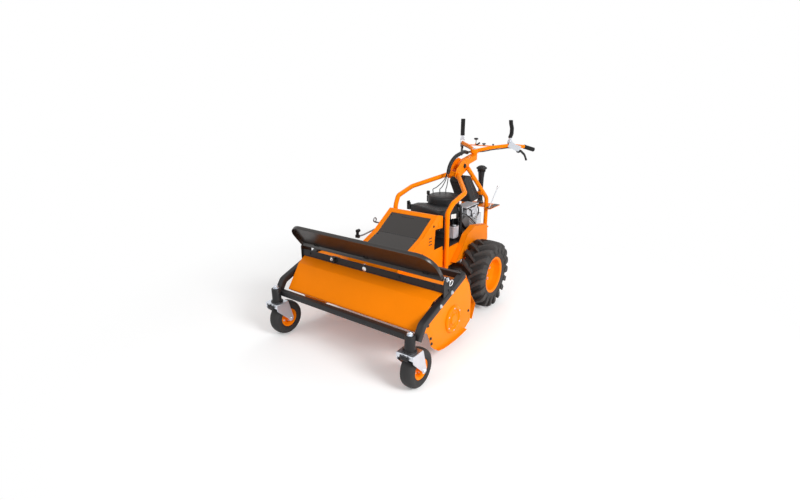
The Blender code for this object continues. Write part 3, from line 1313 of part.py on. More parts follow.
def build_engine():
    base = ENGINE_PLATE_Z + CLEAR
    foot_half = ENGINE_FOOT_HALF
    crankcase = disc((0.0, ENGINE_Y), CRANKCASE_RADIUS, "Z", base, CRANKCASE_TOP_Z)
    foot = block((-foot_half, ENGINE_Y - foot_half, base),
                 (foot_half, ENGINE_Y + foot_half, base + ENGINE_FOOT_HEIGHT))
    neck = disc((0.0, ENGINE_Y), NECK_RADIUS, "Z", CRANKCASE_TOP_Z - 0.01, BLOWER_LOW_Z - CLEAR)
    cx, cy, cz = CYLINDER_SIZE
    back = ENGINE_Y + 0.070
    low = base + CYLINDER_RISE
    cylinder = block((-cx / 2, back, low), (cx / 2, back + cy, low + cz))
    fins = back + 0.055
    slots = []
    for k in range(5):
        z = low + 0.015 + k * FIN_PITCH
        slots.append(block((-cx, fins, z), (-cx / 2 + 0.020, back + cy + 0.02, z + FIN_GAP)))
        slots.append(block((HEAD_X[1] - 0.037, fins, z + 0.020),
                           (HEAD_X[1] + 0.008, back + cy + 0.02, z + 0.020 + FIN_GAP)))
    head = block((HEAD_X[0], ENGINE_Y + HEAD_Y[0], base + HEAD_Z[0]),
                 (HEAD_X[1], ENGINE_Y + HEAD_Y[1], base + HEAD_Z[1]))
    intake = block((INTAKE_BLOCK_X[0], ENGINE_Y + INTAKE_BLOCK_Y[0], base + INTAKE_BLOCK_Z[0]),
                   (INTAKE_BLOCK_X[1], ENGINE_Y + INTAKE_BLOCK_Y[1], base + INTAKE_BLOCK_Z[1]))
    canister_y = ENGINE_Y - CANISTER_BACK
    canister = disc((CANISTER_X, canister_y), CANISTER_RADIUS, "Z", base + CANISTER_Z[0],
                    base + CANISTER_Z[1], 14)
    ledge = block((CANISTER_X - 0.062, canister_y - 0.015, base),
                  (CANISTER_X, canister_y + 0.015, base + 0.020))
    body = weld(crankcase, foot, neck, cylinder, head, intake, canister, ledge)
    add_piece("engine_block", cut(body, *slots), "cast_aluminium")


def build_blower():
    """Round fan housing on top of the engine."""
    r = BLOWER_RADIUS
    skirt = BLOWER_SKIRT_RADIUS
    profile = [
        (BLOWER_LOW_Z, 0.0), (BLOWER_LOW_Z, skirt - 0.004), (BLOWER_LOW_Z + 0.004, skirt),
        (BLOWER_STEP_Z, skirt), (BLOWER_STEP_Z + 0.008, r), (BLOWER_TOP_Z - 0.020, r),
        (BLOWER_TOP_Z - 0.006, r - 0.010), (BLOWER_TOP_Z, r - 0.030), (BLOWER_TOP_Z, 0.0),
    ]
    add_piece("blower_housing", turned(profile, "Z", (0.0, ENGINE_Y, 0.0), FINE_STEPS),
              "black_plastic")


def airbox_outline():
    """Seen from above; its rear edge follows the round fan housing."""
    reach = 3 * 360 / FINE_STEPS
    near = arc((0.0, ENGINE_Y), BLOWER_RADIUS + CLEAR / cos(pi / FINE_STEPS),
               -90 + reach, -90 - reach, 6)
    return [(-0.172, -0.238), (0.117, -0.318), (0.150, -0.270), (0.150, -0.150)] + near + [
        (-0.165, -0.150)]


def build_airbox():
    box = prism(airbox_outline(), "Z", AIRBOX_LOW_Z, AIRBOX_TOP_Z)
    rim = [e for e in box.edges
           if min(v.co.z for v in e.verts) > AIRBOX_TOP_Z - 1e-6
           and max(v.co.y for v in e.verts) < -0.2]
    bmesh.ops.bevel(box, geom=rim, offset=0.010, segments=2, affect="EDGES", profile=0.5)
    clamp = block((-0.192, -0.236, AIRBOX_LOW_Z + 0.010), (-0.168, -0.216, AIRBOX_TOP_Z + 0.012))
    add_piece("airbox", weld(box, clamp), "black_plastic")


def build_muffler():
    r = MUFFLER_RADIUS
    half = MUFFLER_LENGTH / 2
    y = ENGINE_Y + 0.180
    body = turned([(-half, 0.0), (-half, r - 0.006), (-half + 0.006, r), (half - 0.006, r),
                   (half, r - 0.006), (half, 0.0)], "Y", (MUFFLER_X, y, MUFFLER_Z), 18)
    inner = -CYLINDER_SIZE[0] / 2 - CLEAR
    pipe_in = disc((y, MUFFLER_Z - 0.012), 0.014, "X", MUFFLER_X + 0.010, inner, SMALL_STEPS)
    add_piece("muffler", weld(body, pipe_in), "cast_iron")


# Fenders


def build_fenders():
    """Sheet covers beside the drive wheels, open below and towards the middle."""
    outer = [
        (-0.250, 0.385), (-0.150, 0.480), (-0.085, 0.560), (0.038, 0.602), (0.255, 0.566),
        (0.272, 0.440), (0.225, 0.400),
    ]
    inside = CHASSIS_HALF_WIDTH + CLEAR
    for side, word in ((1, "left"), (-1, "right")):
        ends = sorted((side * inside, side * FENDER_OUTER_X))
        shell = prism(outer, "X", *ends)
        inner = offset(outer + outer[:1], FENDER_SHEET)
        if inner[3][1] > outer[3][1]:
            inner = offset(outer + outer[:1], -FENDER_SHEET)
        inner = inner[:-1]
        inner[0] = (inner[0][0] + 0.002, outer[0][1] - 0.02)
        inner[-1] = (inner[-1][0], outer[-1][1] - 0.03)
        hollow_ends = sorted((side * (FENDER_OUTER_X - FENDER_SHEET), side * (inside - 0.02)))
        hollow = prism(inner, "X", *hollow_ends)
        add_piece("fender_" + word, cut(shell, hollow), "orange_paint")


# Front flap


def build_crossbar():
    """Black plate across the deck with an end bracket on each arm."""
    inner = BRACKET_X
    outer = inner + BRACKET_SHEET
    bar = block((-outer + 0.001, CROSSBAR_Y, CROSSBAR_LOW_Z),
                (outer - 0.001, CROSSBAR_Y + CROSSBAR_SHEET, CROSSBAR_HIGH_Z))
    half = FRAME_TUBE / 2 / cos(atan2(ARM_END[1] - ARM_BEND[1], ARM_END[0] - ARM_BEND[0]))
    parts = []
    front = CROSSBAR_Y - 0.010
    rear = FLAP_HINGE_Y + 0.060
    for side in (-1, 1):
        outline = [
            (front, arm_point(front) + half + CLEAR), (rear, arm_point(rear) + half + CLEAR),
            (rear, arm_point(rear) + half + 0.030), (FLAP_HINGE_Y + 0.020, FLAP_HINGE_Z + 0.012),
            (FLAP_HINGE_Y - 0.012, FLAP_HINGE_Z + 0.018), (front, FLAP_HINGE_Z - 0.010),
        ]
        ends = sorted((side * inner, side * outer))
        parts.append(prism(outline, "X", *ends))
    holes = [disc((FLAP_HINGE_Y, FLAP_HINGE_Z), 0.007 + RUNNING, "X", side * inner - 0.02,
                  side * inner + 0.02, SMALL_STEPS) for side in (-1, 1)]
    add_piece("flap_crossbar", cut(weld(bar, *parts), *holes), "black_paint")


def build_hinge_rod():
    """Plated rod with thinner ends through the brackets and a washer outside each."""
    inner = BRACKET_X - CLEAR
    outer = BRACKET_X + BRACKET_SHEET + CLEAR
    profile = []
    for side in (-1, 1):
        end = [
            (side * (outer + 0.010), 0.0), (side * (outer + 0.010), 0.007),
            (side * (outer + 0.003), 0.007), (side * (outer + 0.003), 0.014),
            (side * outer, 0.014), (side * outer, 0.007), (side * inner, 0.007),
            (side * inner, FLAP_ROD_RADIUS),
        ]
        profile += end if side < 0 else end[::-1]
    add_piece("flap_hinge_rod", turned(profile, "X", (0.0, FLAP_HINGE_Y, FLAP_HINGE_Z), 14),
              "zinc")


def build_flap():
    """Shallow pan, drawn flat in (x, distance from the hinge), then leaned forward."""
    half = FLAP_HALF_WIDTH
    top = FLAP_LENGTH
    r = FLAP_CORNER
    low = FLAP_START

    def outline(inset):
        return (
            [(-half + inset, low + inset), (half - inset, low + inset)]
            + arc((half - r, top - r), r - inset, 0, 90, 8)
            + arc((-half + r, top - r), r - inset, 90, 180, 8)
        )

    pan = prism(outline(0.0), "Z", 0.0, FLAP_RIM)
    hollow = prism(outline(FLAP_SHEET), "Z", FLAP_SHEET, FLAP_RIM + 0.02)
    pan = cut(pan, hollow)
    sleeves = []
    for x in (-half + SLEEVE_INSET, -SLEEVE_LENGTH / 2, half - SLEEVE_INSET - SLEEVE_LENGTH):
        tube = disc((0.0, 0.0), FLAP_ROD_RADIUS + 0.004, "X", x, x + SLEEVE_LENGTH, 14)
        web = block((x, -0.004, 0.004), (x + SLEEVE_LENGTH, low + 0.004, 0.004 + 0.006))
        sleeves.append(tube)
        sleeves.append(web)
    swing = Matrix.Rotation(radians(90.0 + FLAP_LEAN), 3, "X")
    flap = weld(pan, *sleeves)
    bore = disc((0.0, 0.0), FLAP_ROD_RADIUS + CLEAR, "X", -half, half, 14)
    flap = cut(flap, bore)
    bmesh.ops.rotate(flap, verts=flap.verts, cent=(0, 0, 0), matrix=swing)
    hinge = (0.0, FLAP_HINGE_Y, FLAP_HINGE_Z)
    add_piece("front_flap", move(flap, hinge), "black_gloss", hinge)


# Handlebar


def build_column():
    """Box column that tilts on the head bolt, with a swivel plate on top."""
    w = HEAD_PLATE_X - CLEAR
    y0 = COLUMN_PIVOT_Y
    z0 = COLUMN_PIVOT_Z
    y1, z1 = COLUMN_TOP
    outline = band([(y0 - 0.020, z0 - 0.010), (y0 + 0.060, z0 + 0.020), (y1 - 0.010, z1 - 0.030)],
                   COLUMN_DEPTH)
    column = prism(outline, "X", -w, w)
    post = disc((0.0, y1), SWIVEL_RADIUS, "Z", z1 - 0.045, z1)
    column = weld(column, post)
    bore = disc((y0, z0), 0.008 + RUNNING, "X", -0.1, 0.1, SMALL_STEPS)
    add_piece("handlebar_column", cut(column, bore), "orange_paint", (0.0, y0, z0))


def bar_path(side):
    y1, z1 = COLUMN_TOP
    start = (0.0, y1 + 0.010, z1 + CLEAR + SWIVEL_HEIGHT * 0.53)
    return [start, (side * BAR_SHOULDER[0], *BAR_SHOULDER[1:]),
            (side * BAR_ELBOW[0], *BAR_ELBOW[1:]), (side * GRIP_START[0], *GRIP_START[1:]),
            (side * GRIP_END[0], *GRIP_END[1:])]


def grip_direction():
    return (Vector(GRIP_END) - Vector(GRIP_START)).normalized()


def lever_pivot():
    """Hinge of a grip lever, above the bar's elbow."""
    return Vector((BAR_ELBOW[0], BAR_ELBOW[1], LEVER_BASE_Z))


def flat_heading():
    d = grip_direction()
    return Vector((d.x, d.y, 0.0)).normalized()


def aligned_block(size, centre, heading):
    """A block whose first side runs along a level heading."""
    sx, sy, sz = (v / 2 for v in size)
    bm = block((-sx, -sy, -sz), (sx, sy, sz))
    turn = Matrix.Rotation(atan2(heading.y, heading.x), 3, "Z")
    bmesh.ops.rotate(bm, verts=bm.verts, cent=(0, 0, 0), matrix=turn)
    return move(bm, centre)


def across_pin(radius, length, centre, heading, steps=SMALL_STEPS):
    """A pin square to a level heading."""
    pin = disc((0.0, 0.0), radius, "X", -length / 2, length / 2, steps)
    turn = Matrix.Rotation(atan2(heading.y, heading.x) + pi / 2, 3, "Z")
    bmesh.ops.rotate(pin, verts=pin.verts, cent=(0, 0, 0), matrix=turn)
    return move(pin, centre)


def brake_pivot_place():
    """Hinge of a brake lever, hung below the bar."""
    return Vector(BAR_ELBOW).lerp(Vector(GRIP_START), BRAKE_SHARE) - Vector((0, 0, BRAKE_DROP))


def build_handlebar():
    """Bent bar with the swivel block, the dash plate and the lever brackets."""
    y1, z1 = COLUMN_TOP
    parts = []
    for side in (-1, 1):
        path = bar_path(side)
        parts.append(pipe(fillet(path, BEND_RADIUS), BAR_RADIUS))
    socket = disc((0.0, y1), SWIVEL_RADIUS + 0.008, "Z", z1 + CLEAR, z1 + CLEAR + SWIVEL_HEIGHT)
    dash_y = BAR_SHOULDER[1]
    dash_z = BAR_SHOULDER[2] + BAR_RADIUS * 0.5
    dash = block((-DASH_HALF_WIDTH, dash_y - DASH_DEPTH * 0.4, dash_z),
                 (DASH_HALF_WIDTH, dash_y + DASH_DEPTH * 0.6, dash_z + DASH_SHEET))
    stand = block((THROTTLE_X - 0.010, dash_y + 0.004, dash_z + DASH_SHEET / 2),
                  (THROTTLE_X - 0.0065, dash_y + 0.024, dash_z + 0.016))
    heading = flat_heading()
    for side in (-1, 1):
        turn = Vector((heading.x * side, heading.y, 0.0))
        pivot = lever_pivot()
        pivot.x *= side
        cheek = Vector((-turn.y, turn.x, 0.0)) * (LEVER_WIDTH / 2 + CLEAR + 0.0015)
        for way in (-1, 1):
            foot = pivot + cheek * way - Vector((0, 0, (LEVER_BASE_Z - BAR_ELBOW[2]) / 2))
            height = LEVER_BASE_Z - BAR_ELBOW[2] + 0.016
            parts.append(aligned_block((0.026, 0.003, height),
                                       foot + Vector((0, 0, 0.008)), turn))
        base = pivot.copy()
        base.z = BAR_ELBOW[2] + BAR_RADIUS * 0.4
        parts.append(aligned_block((0.030, LEVER_WIDTH + 0.007, 0.008), base, turn))
        hang = brake_pivot_place()
        hang.x *= side
        for way in (-1, 1):
            ear = Vector((-turn.y, turn.x, 0.0)) * (BRAKE_LEVER_WIDTH / 2 + CLEAR + 0.0015) * way
            parts.append(aligned_block((0.024, 0.003, BRAKE_DROP + 0.010),
                                       hang + ear + Vector((0, 0, BRAKE_DROP / 2 - 0.006)), turn))
    bar = weld(socket, *parts, dash, stand)
    holes = []
    for side in (-1, 1):
        turn = Vector((heading.x * side, heading.y, 0.0))
        for spot in (lever_pivot(), brake_pivot_place()):
            spot.x *= side
            holes.append(across_pin(LEVER_PIN_RADIUS + CLEAR, 0.060, spot, turn))
    add_piece("handlebar", cut(bar, *holes), "orange_paint", (0.0, y1, z1))


def build_grips():
    direction = grip_direction()
    for side, word in ((1, "left"), (-1, "right")):
        start = Vector(GRIP_START)
        end = Vector(GRIP_END) + direction * 0.004
        for point in (start, end):
            point.x *= side
        sleeve = pipe([start, start.lerp(end, 0.5), end], GRIP_RADIUS, 12)
        bar_end = Vector(GRIP_END) + direction * CLEAR
        bar_end.x *= side
        bore = pipe([start - (end - start) * 0.2, start, bar_end], BAR_RADIUS + 0.0012, 12)
        add_piece("grip_" + word, cut(sleeve, bore), "grip_rubber")


def build_grip_levers():
    """Flat levers that stand up when released and are pressed down onto the bar."""
    heading = flat_heading()
    for side, word in ((1, "left"), (-1, "right")):
        pivot = lever_pivot()
        pivot.x *= side
        turn = Vector((heading.x * side, heading.y, 0.0))
        half = LEVER_SHEET / 2
        top = LEVER_LENGTH
        path = [(0.0, -0.008), (0.0, 0.030), (LEVER_BEND, 0.060), (LEVER_BEND, top * 0.62),
                (0.0, top * 0.84), (-0.004, top)]
        blade = prism(band(path, 2 * half), "Y", -LEVER_WIDTH / 2, LEVER_WIDTH / 2)
        matrix = Matrix.Rotation(atan2(turn.y, turn.x), 3, "Z")
        bmesh.ops.rotate(blade, verts=blade.verts, cent=(0, 0, 0), matrix=matrix)
        move(blade, pivot)
        pin = across_pin(LEVER_PIN_RADIUS, LEVER_WIDTH + 0.014, pivot, turn)
        add_piece("grip_lever_" + word, weld(blade, pin), "black_plastic", pivot)


def build_brake_levers():
    """Curved blades with a ball end below the grips."""
    heading = flat_heading()
    for side, word in ((1, "left"), (-1, "right")):
        pivot = brake_pivot_place()
        pivot.x *= side
        turn = Vector((heading.x * side, heading.y, 0.0))
        length = BRAKE_LEVER_LENGTH
        path = [(-0.006, 0.002), (0.30 * length, -0.006), (0.62 * length, -0.040),
                (0.74 * length, -0.075)]
        blade = prism(band(path, BRAKE_LEVER_SHEET), "Y",
                      -BRAKE_LEVER_WIDTH / 2, BRAKE_LEVER_WIDTH / 2)
        matrix = Matrix.Rotation(atan2(turn.y, turn.x), 3, "Z")
        ball = bmesh.new()
        bmesh.ops.create_icosphere(ball, subdivisions=2, radius=BRAKE_BALL_RADIUS + 0.002)
        move(ball, (0.745 * length, 0.0, -0.080))
        lever = weld(blade, ball)
        bmesh.ops.rotate(lever, verts=lever.verts, cent=(0, 0, 0), matrix=matrix)
        pin = across_pin(LEVER_PIN_RADIUS, BRAKE_LEVER_WIDTH + 0.014, pivot, turn)
        add_piece("brake_lever_" + word, weld(move(lever, pivot), pin), "black_plastic", pivot)


def build_throttle():
    y = BAR_SHOULDER[1] + 0.014
    z = BAR_SHOULDER[2] + BAR_RADIUS * 0.5 + DASH_SHEET + 0.007
    pivot = (THROTTLE_X, y, z)
    inner = THROTTLE_X - 0.0065 + CLEAR
    plate = prism([(y - 0.004, z - 0.004), (y + 0.004, z - 0.004),
                   (y + 0.004, z + THROTTLE_LENGTH), (y - 0.004, z + THROTTLE_LENGTH)], "X",
                  inner, inner + 0.003)
    knob = bmesh.new()
    bmesh.ops.create_icosphere(knob, subdivisions=2, radius=THROTTLE_KNOB_RADIUS)
    move(knob, (inner + 0.0015, y, z + THROTTLE_LENGTH))
    add_piece("throttle_lever", weld(plate, knob), "black_plastic", pivot)


def smooth_route(points, per_span=4):
    """Read a smooth curve through a cord's own points."""
    points = [Vector(p) for p in points]
    padded = [2 * points[0] - points[1]] + points + [2 * points[-1] - points[-2]]
    route = []
    for k in range(1, len(padded) - 2):
        a, b, c, d = padded[k - 1:k + 3]
        for n in range(per_span):
            t = n / per_span
            route.append(0.5 * (2 * b + (c - a) * t + (2 * a - 5 * b + 4 * c - d) * t * t
                                + (3 * b - a - 3 * c + d) * t * t * t))
    route.append(points[-1])
    return route


LOOM_ROUTE = [(-0.048, 0.405, 1.121), (-0.036, 0.355, 1.130), (-0.014, 0.290, 1.136),
              (0.0, 0.215, 1.130), (0.0, 0.135, 1.112), (0.0, 0.072, 1.078),
              (0.0, 0.034, 1.030), (0.0, 0.022, 0.980)]
CABLE_ROUTES = [
    [(-0.006, 0.022, 0.986), (-0.022, 0.006, 0.930), (-0.060, -0.030, 0.880),
     (-0.084, -0.050, 0.862), (-0.084, -0.050, 0.845), (-0.084, -0.050, BLOWER_TOP_Z + 2 * CLEAR)],
    [(0.0, 0.018, 0.986), (-0.010, 0.010, 0.930), (-0.030, -0.006, 0.880),
     (-0.040, -0.022, 0.862), (-0.040, -0.022, 0.845), (-0.040, -0.022, BLOWER_TOP_Z + 2 * CLEAR)],
    [(0.006, 0.024, 0.986), (0.004, 0.020, 0.930), (0.000, 0.012, 0.880),
     (-0.002, 0.004, 0.862), (-0.002, 0.004, 0.845), (-0.002, 0.004, BLOWER_TOP_Z + 2 * CLEAR)],
]


def build_loom():
    hose = pipe(smooth_route(LOOM_ROUTE, 2), LOOM_RADIUS, 10)
    cables = [pipe(smooth_route(route, 2), CABLE_RADIUS, 8) for route in CABLE_ROUTES]
    add_piece("cable_loom", weld(hose, *cables), "black_plastic")


def centre_on_footprint():
    """Slide the machine along Y so that the origin lies under its middle."""
    bpy.context.view_layer.update()
    view = bpy.context.evaluated_depsgraph_get()
    low = 1e9
    high = -1e9
    for thing in bpy.context.scene.objects:
        mesh = thing.evaluated_get(view).to_mesh()
        for vert in mesh.vertices:
            y = (thing.matrix_world @ vert.co).y
            low = min(low, y)
            high = max(high, y)
    shift = -(low + high) / 2
    for thing in bpy.context.scene.objects:
        thing.location.y += shift
    bpy.context.view_layer.update()
    print("shift along Y %.6f" % shift)
    for thing in bpy.context.scene.objects:
        print("origin", thing.name, tuple(round(v, 5) for v in thing.matrix_world.translation))


def main():
    clear_scene()
    build_drive_wheels()
    build_transaxle()
    build_casters()
    build_deck_frame()
    build_hood()
    build_side_plates()
    build_rotor_bearing()
    build_rotor()
    build_knife_rows()
    build_blade_drive()
    build_belt_cover()
    build_chassis()
    build_guard()
    build_guard_panel()
    build_tube_frame()
    build_tank()
    build_intake()
    build_gear_lever()
    build_engine()
    build_blower()
    build_airbox()
    build_muffler()
    build_fenders()
    build_crossbar()
    build_hinge_rod()
    build_flap()
    build_column()
    build_handlebar()
    build_grips()
    build_grip_levers()
    build_brake_levers()
    build_throttle()
    build_loom()
    centre_on_footprint()


main()
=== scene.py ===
# %% [markdown]
# # A walk-behind hammer knife mower, dressed for the studio
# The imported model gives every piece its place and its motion. This lesson gives each of them the
# surface of the real machine: bent and painted sheet, tractor rubber, zinc plate, cast metal and
# grained plastic. It could start from an empty file, but then nothing would tie the looks to the
# joints, so it starts from the frame and measures what it needs there.

# %% Load the frame
from math import atan2, cos, pi, radians, sin, sqrt, tan

import bmesh
import bpy
from mathutils import Matrix, Vector


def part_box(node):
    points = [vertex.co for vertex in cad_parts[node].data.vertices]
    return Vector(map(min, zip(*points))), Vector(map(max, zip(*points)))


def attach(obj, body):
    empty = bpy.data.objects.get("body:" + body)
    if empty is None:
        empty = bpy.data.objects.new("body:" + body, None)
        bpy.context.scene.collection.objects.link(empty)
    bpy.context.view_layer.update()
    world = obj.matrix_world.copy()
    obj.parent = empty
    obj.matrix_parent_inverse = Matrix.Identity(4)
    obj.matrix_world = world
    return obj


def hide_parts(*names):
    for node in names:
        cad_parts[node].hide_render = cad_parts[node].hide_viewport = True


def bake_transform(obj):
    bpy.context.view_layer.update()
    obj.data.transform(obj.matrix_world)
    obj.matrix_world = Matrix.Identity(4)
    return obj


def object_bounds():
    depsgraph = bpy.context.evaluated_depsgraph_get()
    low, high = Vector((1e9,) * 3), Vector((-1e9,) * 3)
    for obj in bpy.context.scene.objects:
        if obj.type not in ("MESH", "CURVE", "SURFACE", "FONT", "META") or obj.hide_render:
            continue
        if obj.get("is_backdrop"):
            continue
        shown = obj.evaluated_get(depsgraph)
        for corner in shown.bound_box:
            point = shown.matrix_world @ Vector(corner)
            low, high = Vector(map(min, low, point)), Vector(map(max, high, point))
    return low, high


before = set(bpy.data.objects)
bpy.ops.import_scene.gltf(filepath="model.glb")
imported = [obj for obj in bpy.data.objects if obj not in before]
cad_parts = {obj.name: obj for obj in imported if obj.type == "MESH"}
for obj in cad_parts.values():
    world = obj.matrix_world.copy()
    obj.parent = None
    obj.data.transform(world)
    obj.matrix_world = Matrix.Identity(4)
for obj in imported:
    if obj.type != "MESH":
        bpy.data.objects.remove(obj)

cad_bounds = [list(corner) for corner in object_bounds()]
tyre_low, tyre_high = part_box("drive_tyre_left")
AXLE_Y = (tyre_low.y + tyre_high.y) / 2
print("nodes", len(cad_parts), "drive axle at y", round(AXLE_Y, 4))

# %% [markdown]
# The camera stands in front of the machine and to its left, a little above the handles. Its place,
# turn and lens were worked out from the level and square edges in the picture. Three angles turn
# it, which is easier to read back and to correct than a matrix of numbers.

# %% Camera
CAMERA_FROM_AXLE = Vector((1.7623, -3.0381, 1.5506))
CAMERA_YAW = 0.6271
CAMERA_PITCH = 0.3261
CAMERA_ROLL = -0.0046
FOCAL_PIXELS = 457.64
IMAGE_WIDTH = 800
SENSOR_WIDTH = 36.0


def add_camera():
    ahead = Vector((-sin(CAMERA_YAW) * cos(CAMERA_PITCH), cos(CAMERA_YAW) * cos(CAMERA_PITCH),
                    -sin(CAMERA_PITCH)))
    right = ahead.cross(Vector((0, 0, 1))).normalized()
    up = right.cross(ahead)
    right_rolled = right * cos(CAMERA_ROLL) + up * sin(CAMERA_ROLL)
    up_rolled = up * cos(CAMERA_ROLL) - right * sin(CAMERA_ROLL)
    lens = bpy.data.cameras.new("studio_camera")
    lens.sensor_width = SENSOR_WIDTH
    lens.lens = FOCAL_PIXELS / IMAGE_WIDTH * SENSOR_WIDTH
    camera = bpy.data.objects.new("studio_camera", lens)
    camera.matrix_world = Matrix((right_rolled, up_rolled, -ahead)).transposed().to_4x4()
    camera.location = CAMERA_FROM_AXLE + Vector((0, AXLE_Y, 0))
    bpy.context.scene.collection.objects.link(camera)
    bpy.context.scene.camera = camera
    return lens.lens


print("camera lens", round(add_camera(), 3), "mm")

# %% [markdown]
# The machine stands on white, with a soft shadow under it. Lamps strong enough to turn a floor
# white would bleach the paint. So the lamps stay plain, the floor adds a little light of its own
# where only the camera and the metal see it, and away from the machine it fades into pure white.

# %% Floor, sky and lamps
FLOOR_SIZE = 60.0
FLOOR_GLOW = 0.17
SHADOW_REACH = 1.25
WHITE_FROM = 2.60
SKY_LIGHT = 0.52


def seen_rays(tree):
    """A node value of 1 for the rays that show a background: camera, mirror and glass rays."""
    path = tree.nodes.new("ShaderNodeLightPath")
    first = tree.nodes.new("ShaderNodeMath")
    first.operation = "MAXIMUM"
    both = tree.nodes.new("ShaderNodeMath")
    both.operation = "MAXIMUM"
    tree.links.new(path.outputs["Is Camera Ray"], first.inputs[0])
    tree.links.new(path.outputs["Is Glossy Ray"], first.inputs[1])
    tree.links.new(first.outputs[0], both.inputs[0])
    tree.links.new(path.outputs["Is Transmission Ray"], both.inputs[1])
    return both.outputs[0]


def add_floor():
    bm = bmesh.new()
    bmesh.ops.create_grid(bm, x_segments=1, y_segments=1, size=FLOOR_SIZE)
    mesh = bpy.data.meshes.new("studio_floor")
    bm.to_mesh(mesh)
    bm.free()
    floor = bpy.data.objects.new("studio_floor", mesh)
    bpy.context.scene.collection.objects.link(floor)
    material = bpy.data.materials.new("pale_floor")
    material.use_nodes = True
    tree = material.node_tree
    paint = tree.nodes["Principled BSDF"]
    paint.inputs["Base Color"].default_value = (0.90, 0.90, 0.90, 1)
    paint.inputs["Roughness"].default_value = 0.75
    seen = seen_rays(tree)
    level = tree.nodes.new("ShaderNodeMath")
    level.operation = "MULTIPLY"
    level.inputs[1].default_value = FLOOR_GLOW
    glow = tree.nodes.new("ShaderNodeEmission")
    lit = tree.nodes.new("ShaderNodeAddShader")
    tree.links.new(seen, level.inputs[0])
    tree.links.new(level.outputs[0], glow.inputs["Strength"])
    tree.links.new(paint.outputs[0], lit.inputs[0])
    tree.links.new(glow.outputs[0], lit.inputs[1])
    spot = tree.nodes.new("ShaderNodeTexCoord")
    reach = tree.nodes.new("ShaderNodeVectorMath")
    reach.operation = "LENGTH"
    fade = tree.nodes.new("ShaderNodeMapRange")
    fade.interpolation_type = "SMOOTHSTEP"
    fade.inputs["From Min"].default_value = SHADOW_REACH
    fade.inputs["From Max"].default_value = WHITE_FROM
    share = tree.nodes.new("ShaderNodeMath")
    share.operation = "MULTIPLY"
    white = tree.nodes.new("ShaderNodeEmission")
    blend = tree.nodes.new("ShaderNodeMixShader")
    tree.links.new(spot.outputs["Object"], reach.inputs[0])
    tree.links.new(reach.outputs["Value"], fade.inputs["Value"])
    tree.links.new(fade.outputs[0], share.inputs[0])
    tree.links.new(seen, share.inputs[1])
    tree.links.new(share.outputs[0], blend.inputs[0])
    tree.links.new(lit.outputs[0], blend.inputs[1])
    tree.links.new(white.outputs[0], blend.inputs[2])
    tree.links.new(blend.outputs[0], tree.nodes["Material Output"].inputs["Surface"])
    mesh.materials.append(material)
    floor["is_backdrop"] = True


def add_sky():
    world = bpy.data.worlds.new("studio_sky")
    world.use_nodes = True
    tree = world.node_tree
    sky = tree.nodes["Background"]
    sky.inputs["Color"].default_value = (1, 1, 1, 1)
    level = tree.nodes.new("ShaderNodeMapRange")
    level.inputs["To Min"].default_value = SKY_LIGHT
    level.inputs["To Max"].default_value = 1.0
    tree.links.new(seen_rays(tree), level.inputs["Value"])
    tree.links.new(level.outputs[0], sky.inputs["Strength"])
    bpy.context.scene.world = world


def add_lamp(name, place, size, watts):
    light = bpy.data.lights.new(name, "AREA")
    light.size = size
    light.energy = watts
    lamp = bpy.data.objects.new(name, light)
    lamp.location = place
    lamp.rotation_euler = (Vector((0, -0.1, 0.4)) - Vector(place)).to_track_quat("-Z", "Y").to_euler()
    bpy.context.scene.collection.objects.link(lamp)


add_floor()
add_sky()
add_lamp("key_lamp", (3.9, -1.5, 2.9), 1.6, 165)
add_lamp("front_lamp", (-1.6, -4.2, 3.4), 2.6, 36)
add_lamp("back_lamp", (-1.2, 3.8, 3.6), 2.6, 36)
bpy.context.scene.view_settings.view_transform = "Standard"
print("studio ready")

# %% [markdown]
# Every finish starts as one Principled shader. A wide noise varies the colour, and a fine one the
# roughness and the bump. Painted pictures could do the same, but noise in the piece's own space
# needs no unwrapping, has no seams and stays put when the piece moves.

# %% Finishes
def finish(name, colour, roughness, metallic=0.0, grain=180.0, bump=0.04, patch=6.0, shade=0.12,
           spread=0.08, shine=0.5, sheen_tint=None):
    """A procedural finish. grain and patch are noise sizes, in waves a metre."""
    material = bpy.data.materials.new(name)
    material.use_nodes = True
    tree = material.node_tree
    paint = tree.nodes["Principled BSDF"]
    paint.inputs["Metallic"].default_value = metallic
    paint.inputs["Specular IOR Level"].default_value = shine
    if sheen_tint:
        paint.inputs["Specular Tint"].default_value = (*sheen_tint, 1)
    place = tree.nodes.new("ShaderNodeTexCoord")
    wide = tree.nodes.new("ShaderNodeTexNoise")
    wide.inputs["Scale"].default_value = patch
    wide.inputs["Detail"].default_value = 4.0
    fine = tree.nodes.new("ShaderNodeTexNoise")
    fine.inputs["Scale"].default_value = grain
    fine.inputs["Detail"].default_value = 3.0
    tree.links.new(place.outputs["Object"], wide.inputs["Vector"])
    tree.links.new(place.outputs["Object"], fine.inputs["Vector"])
    tint = tree.nodes.new("ShaderNodeMixRGB")
    dark = [c * (1 - shade) for c in colour]
    light = [min(1.0, c * (1 + shade)) for c in colour]
    tint.inputs[1].default_value = (*dark, 1)
    tint.inputs[2].default_value = (*light, 1)
    tree.links.new(wide.outputs["Fac"], tint.inputs[0])
    tree.links.new(tint.outputs[0], paint.inputs["Base Color"])
    gloss = tree.nodes.new("ShaderNodeMapRange")
    gloss.inputs["To Min"].default_value = max(0.03, roughness - spread)
    gloss.inputs["To Max"].default_value = min(1.0, roughness + spread)
    tree.links.new(fine.outputs["Fac"], gloss.inputs["Value"])
    tree.links.new(gloss.outputs[0], paint.inputs["Roughness"])
    relief = tree.nodes.new("ShaderNodeBump")
    relief.inputs["Strength"].default_value = bump
    relief.inputs["Distance"].default_value = 0.001
    tree.links.new(fine.outputs["Fac"], relief.inputs["Height"])
    tree.links.new(relief.outputs[0], paint.inputs["Normal"])
    return material


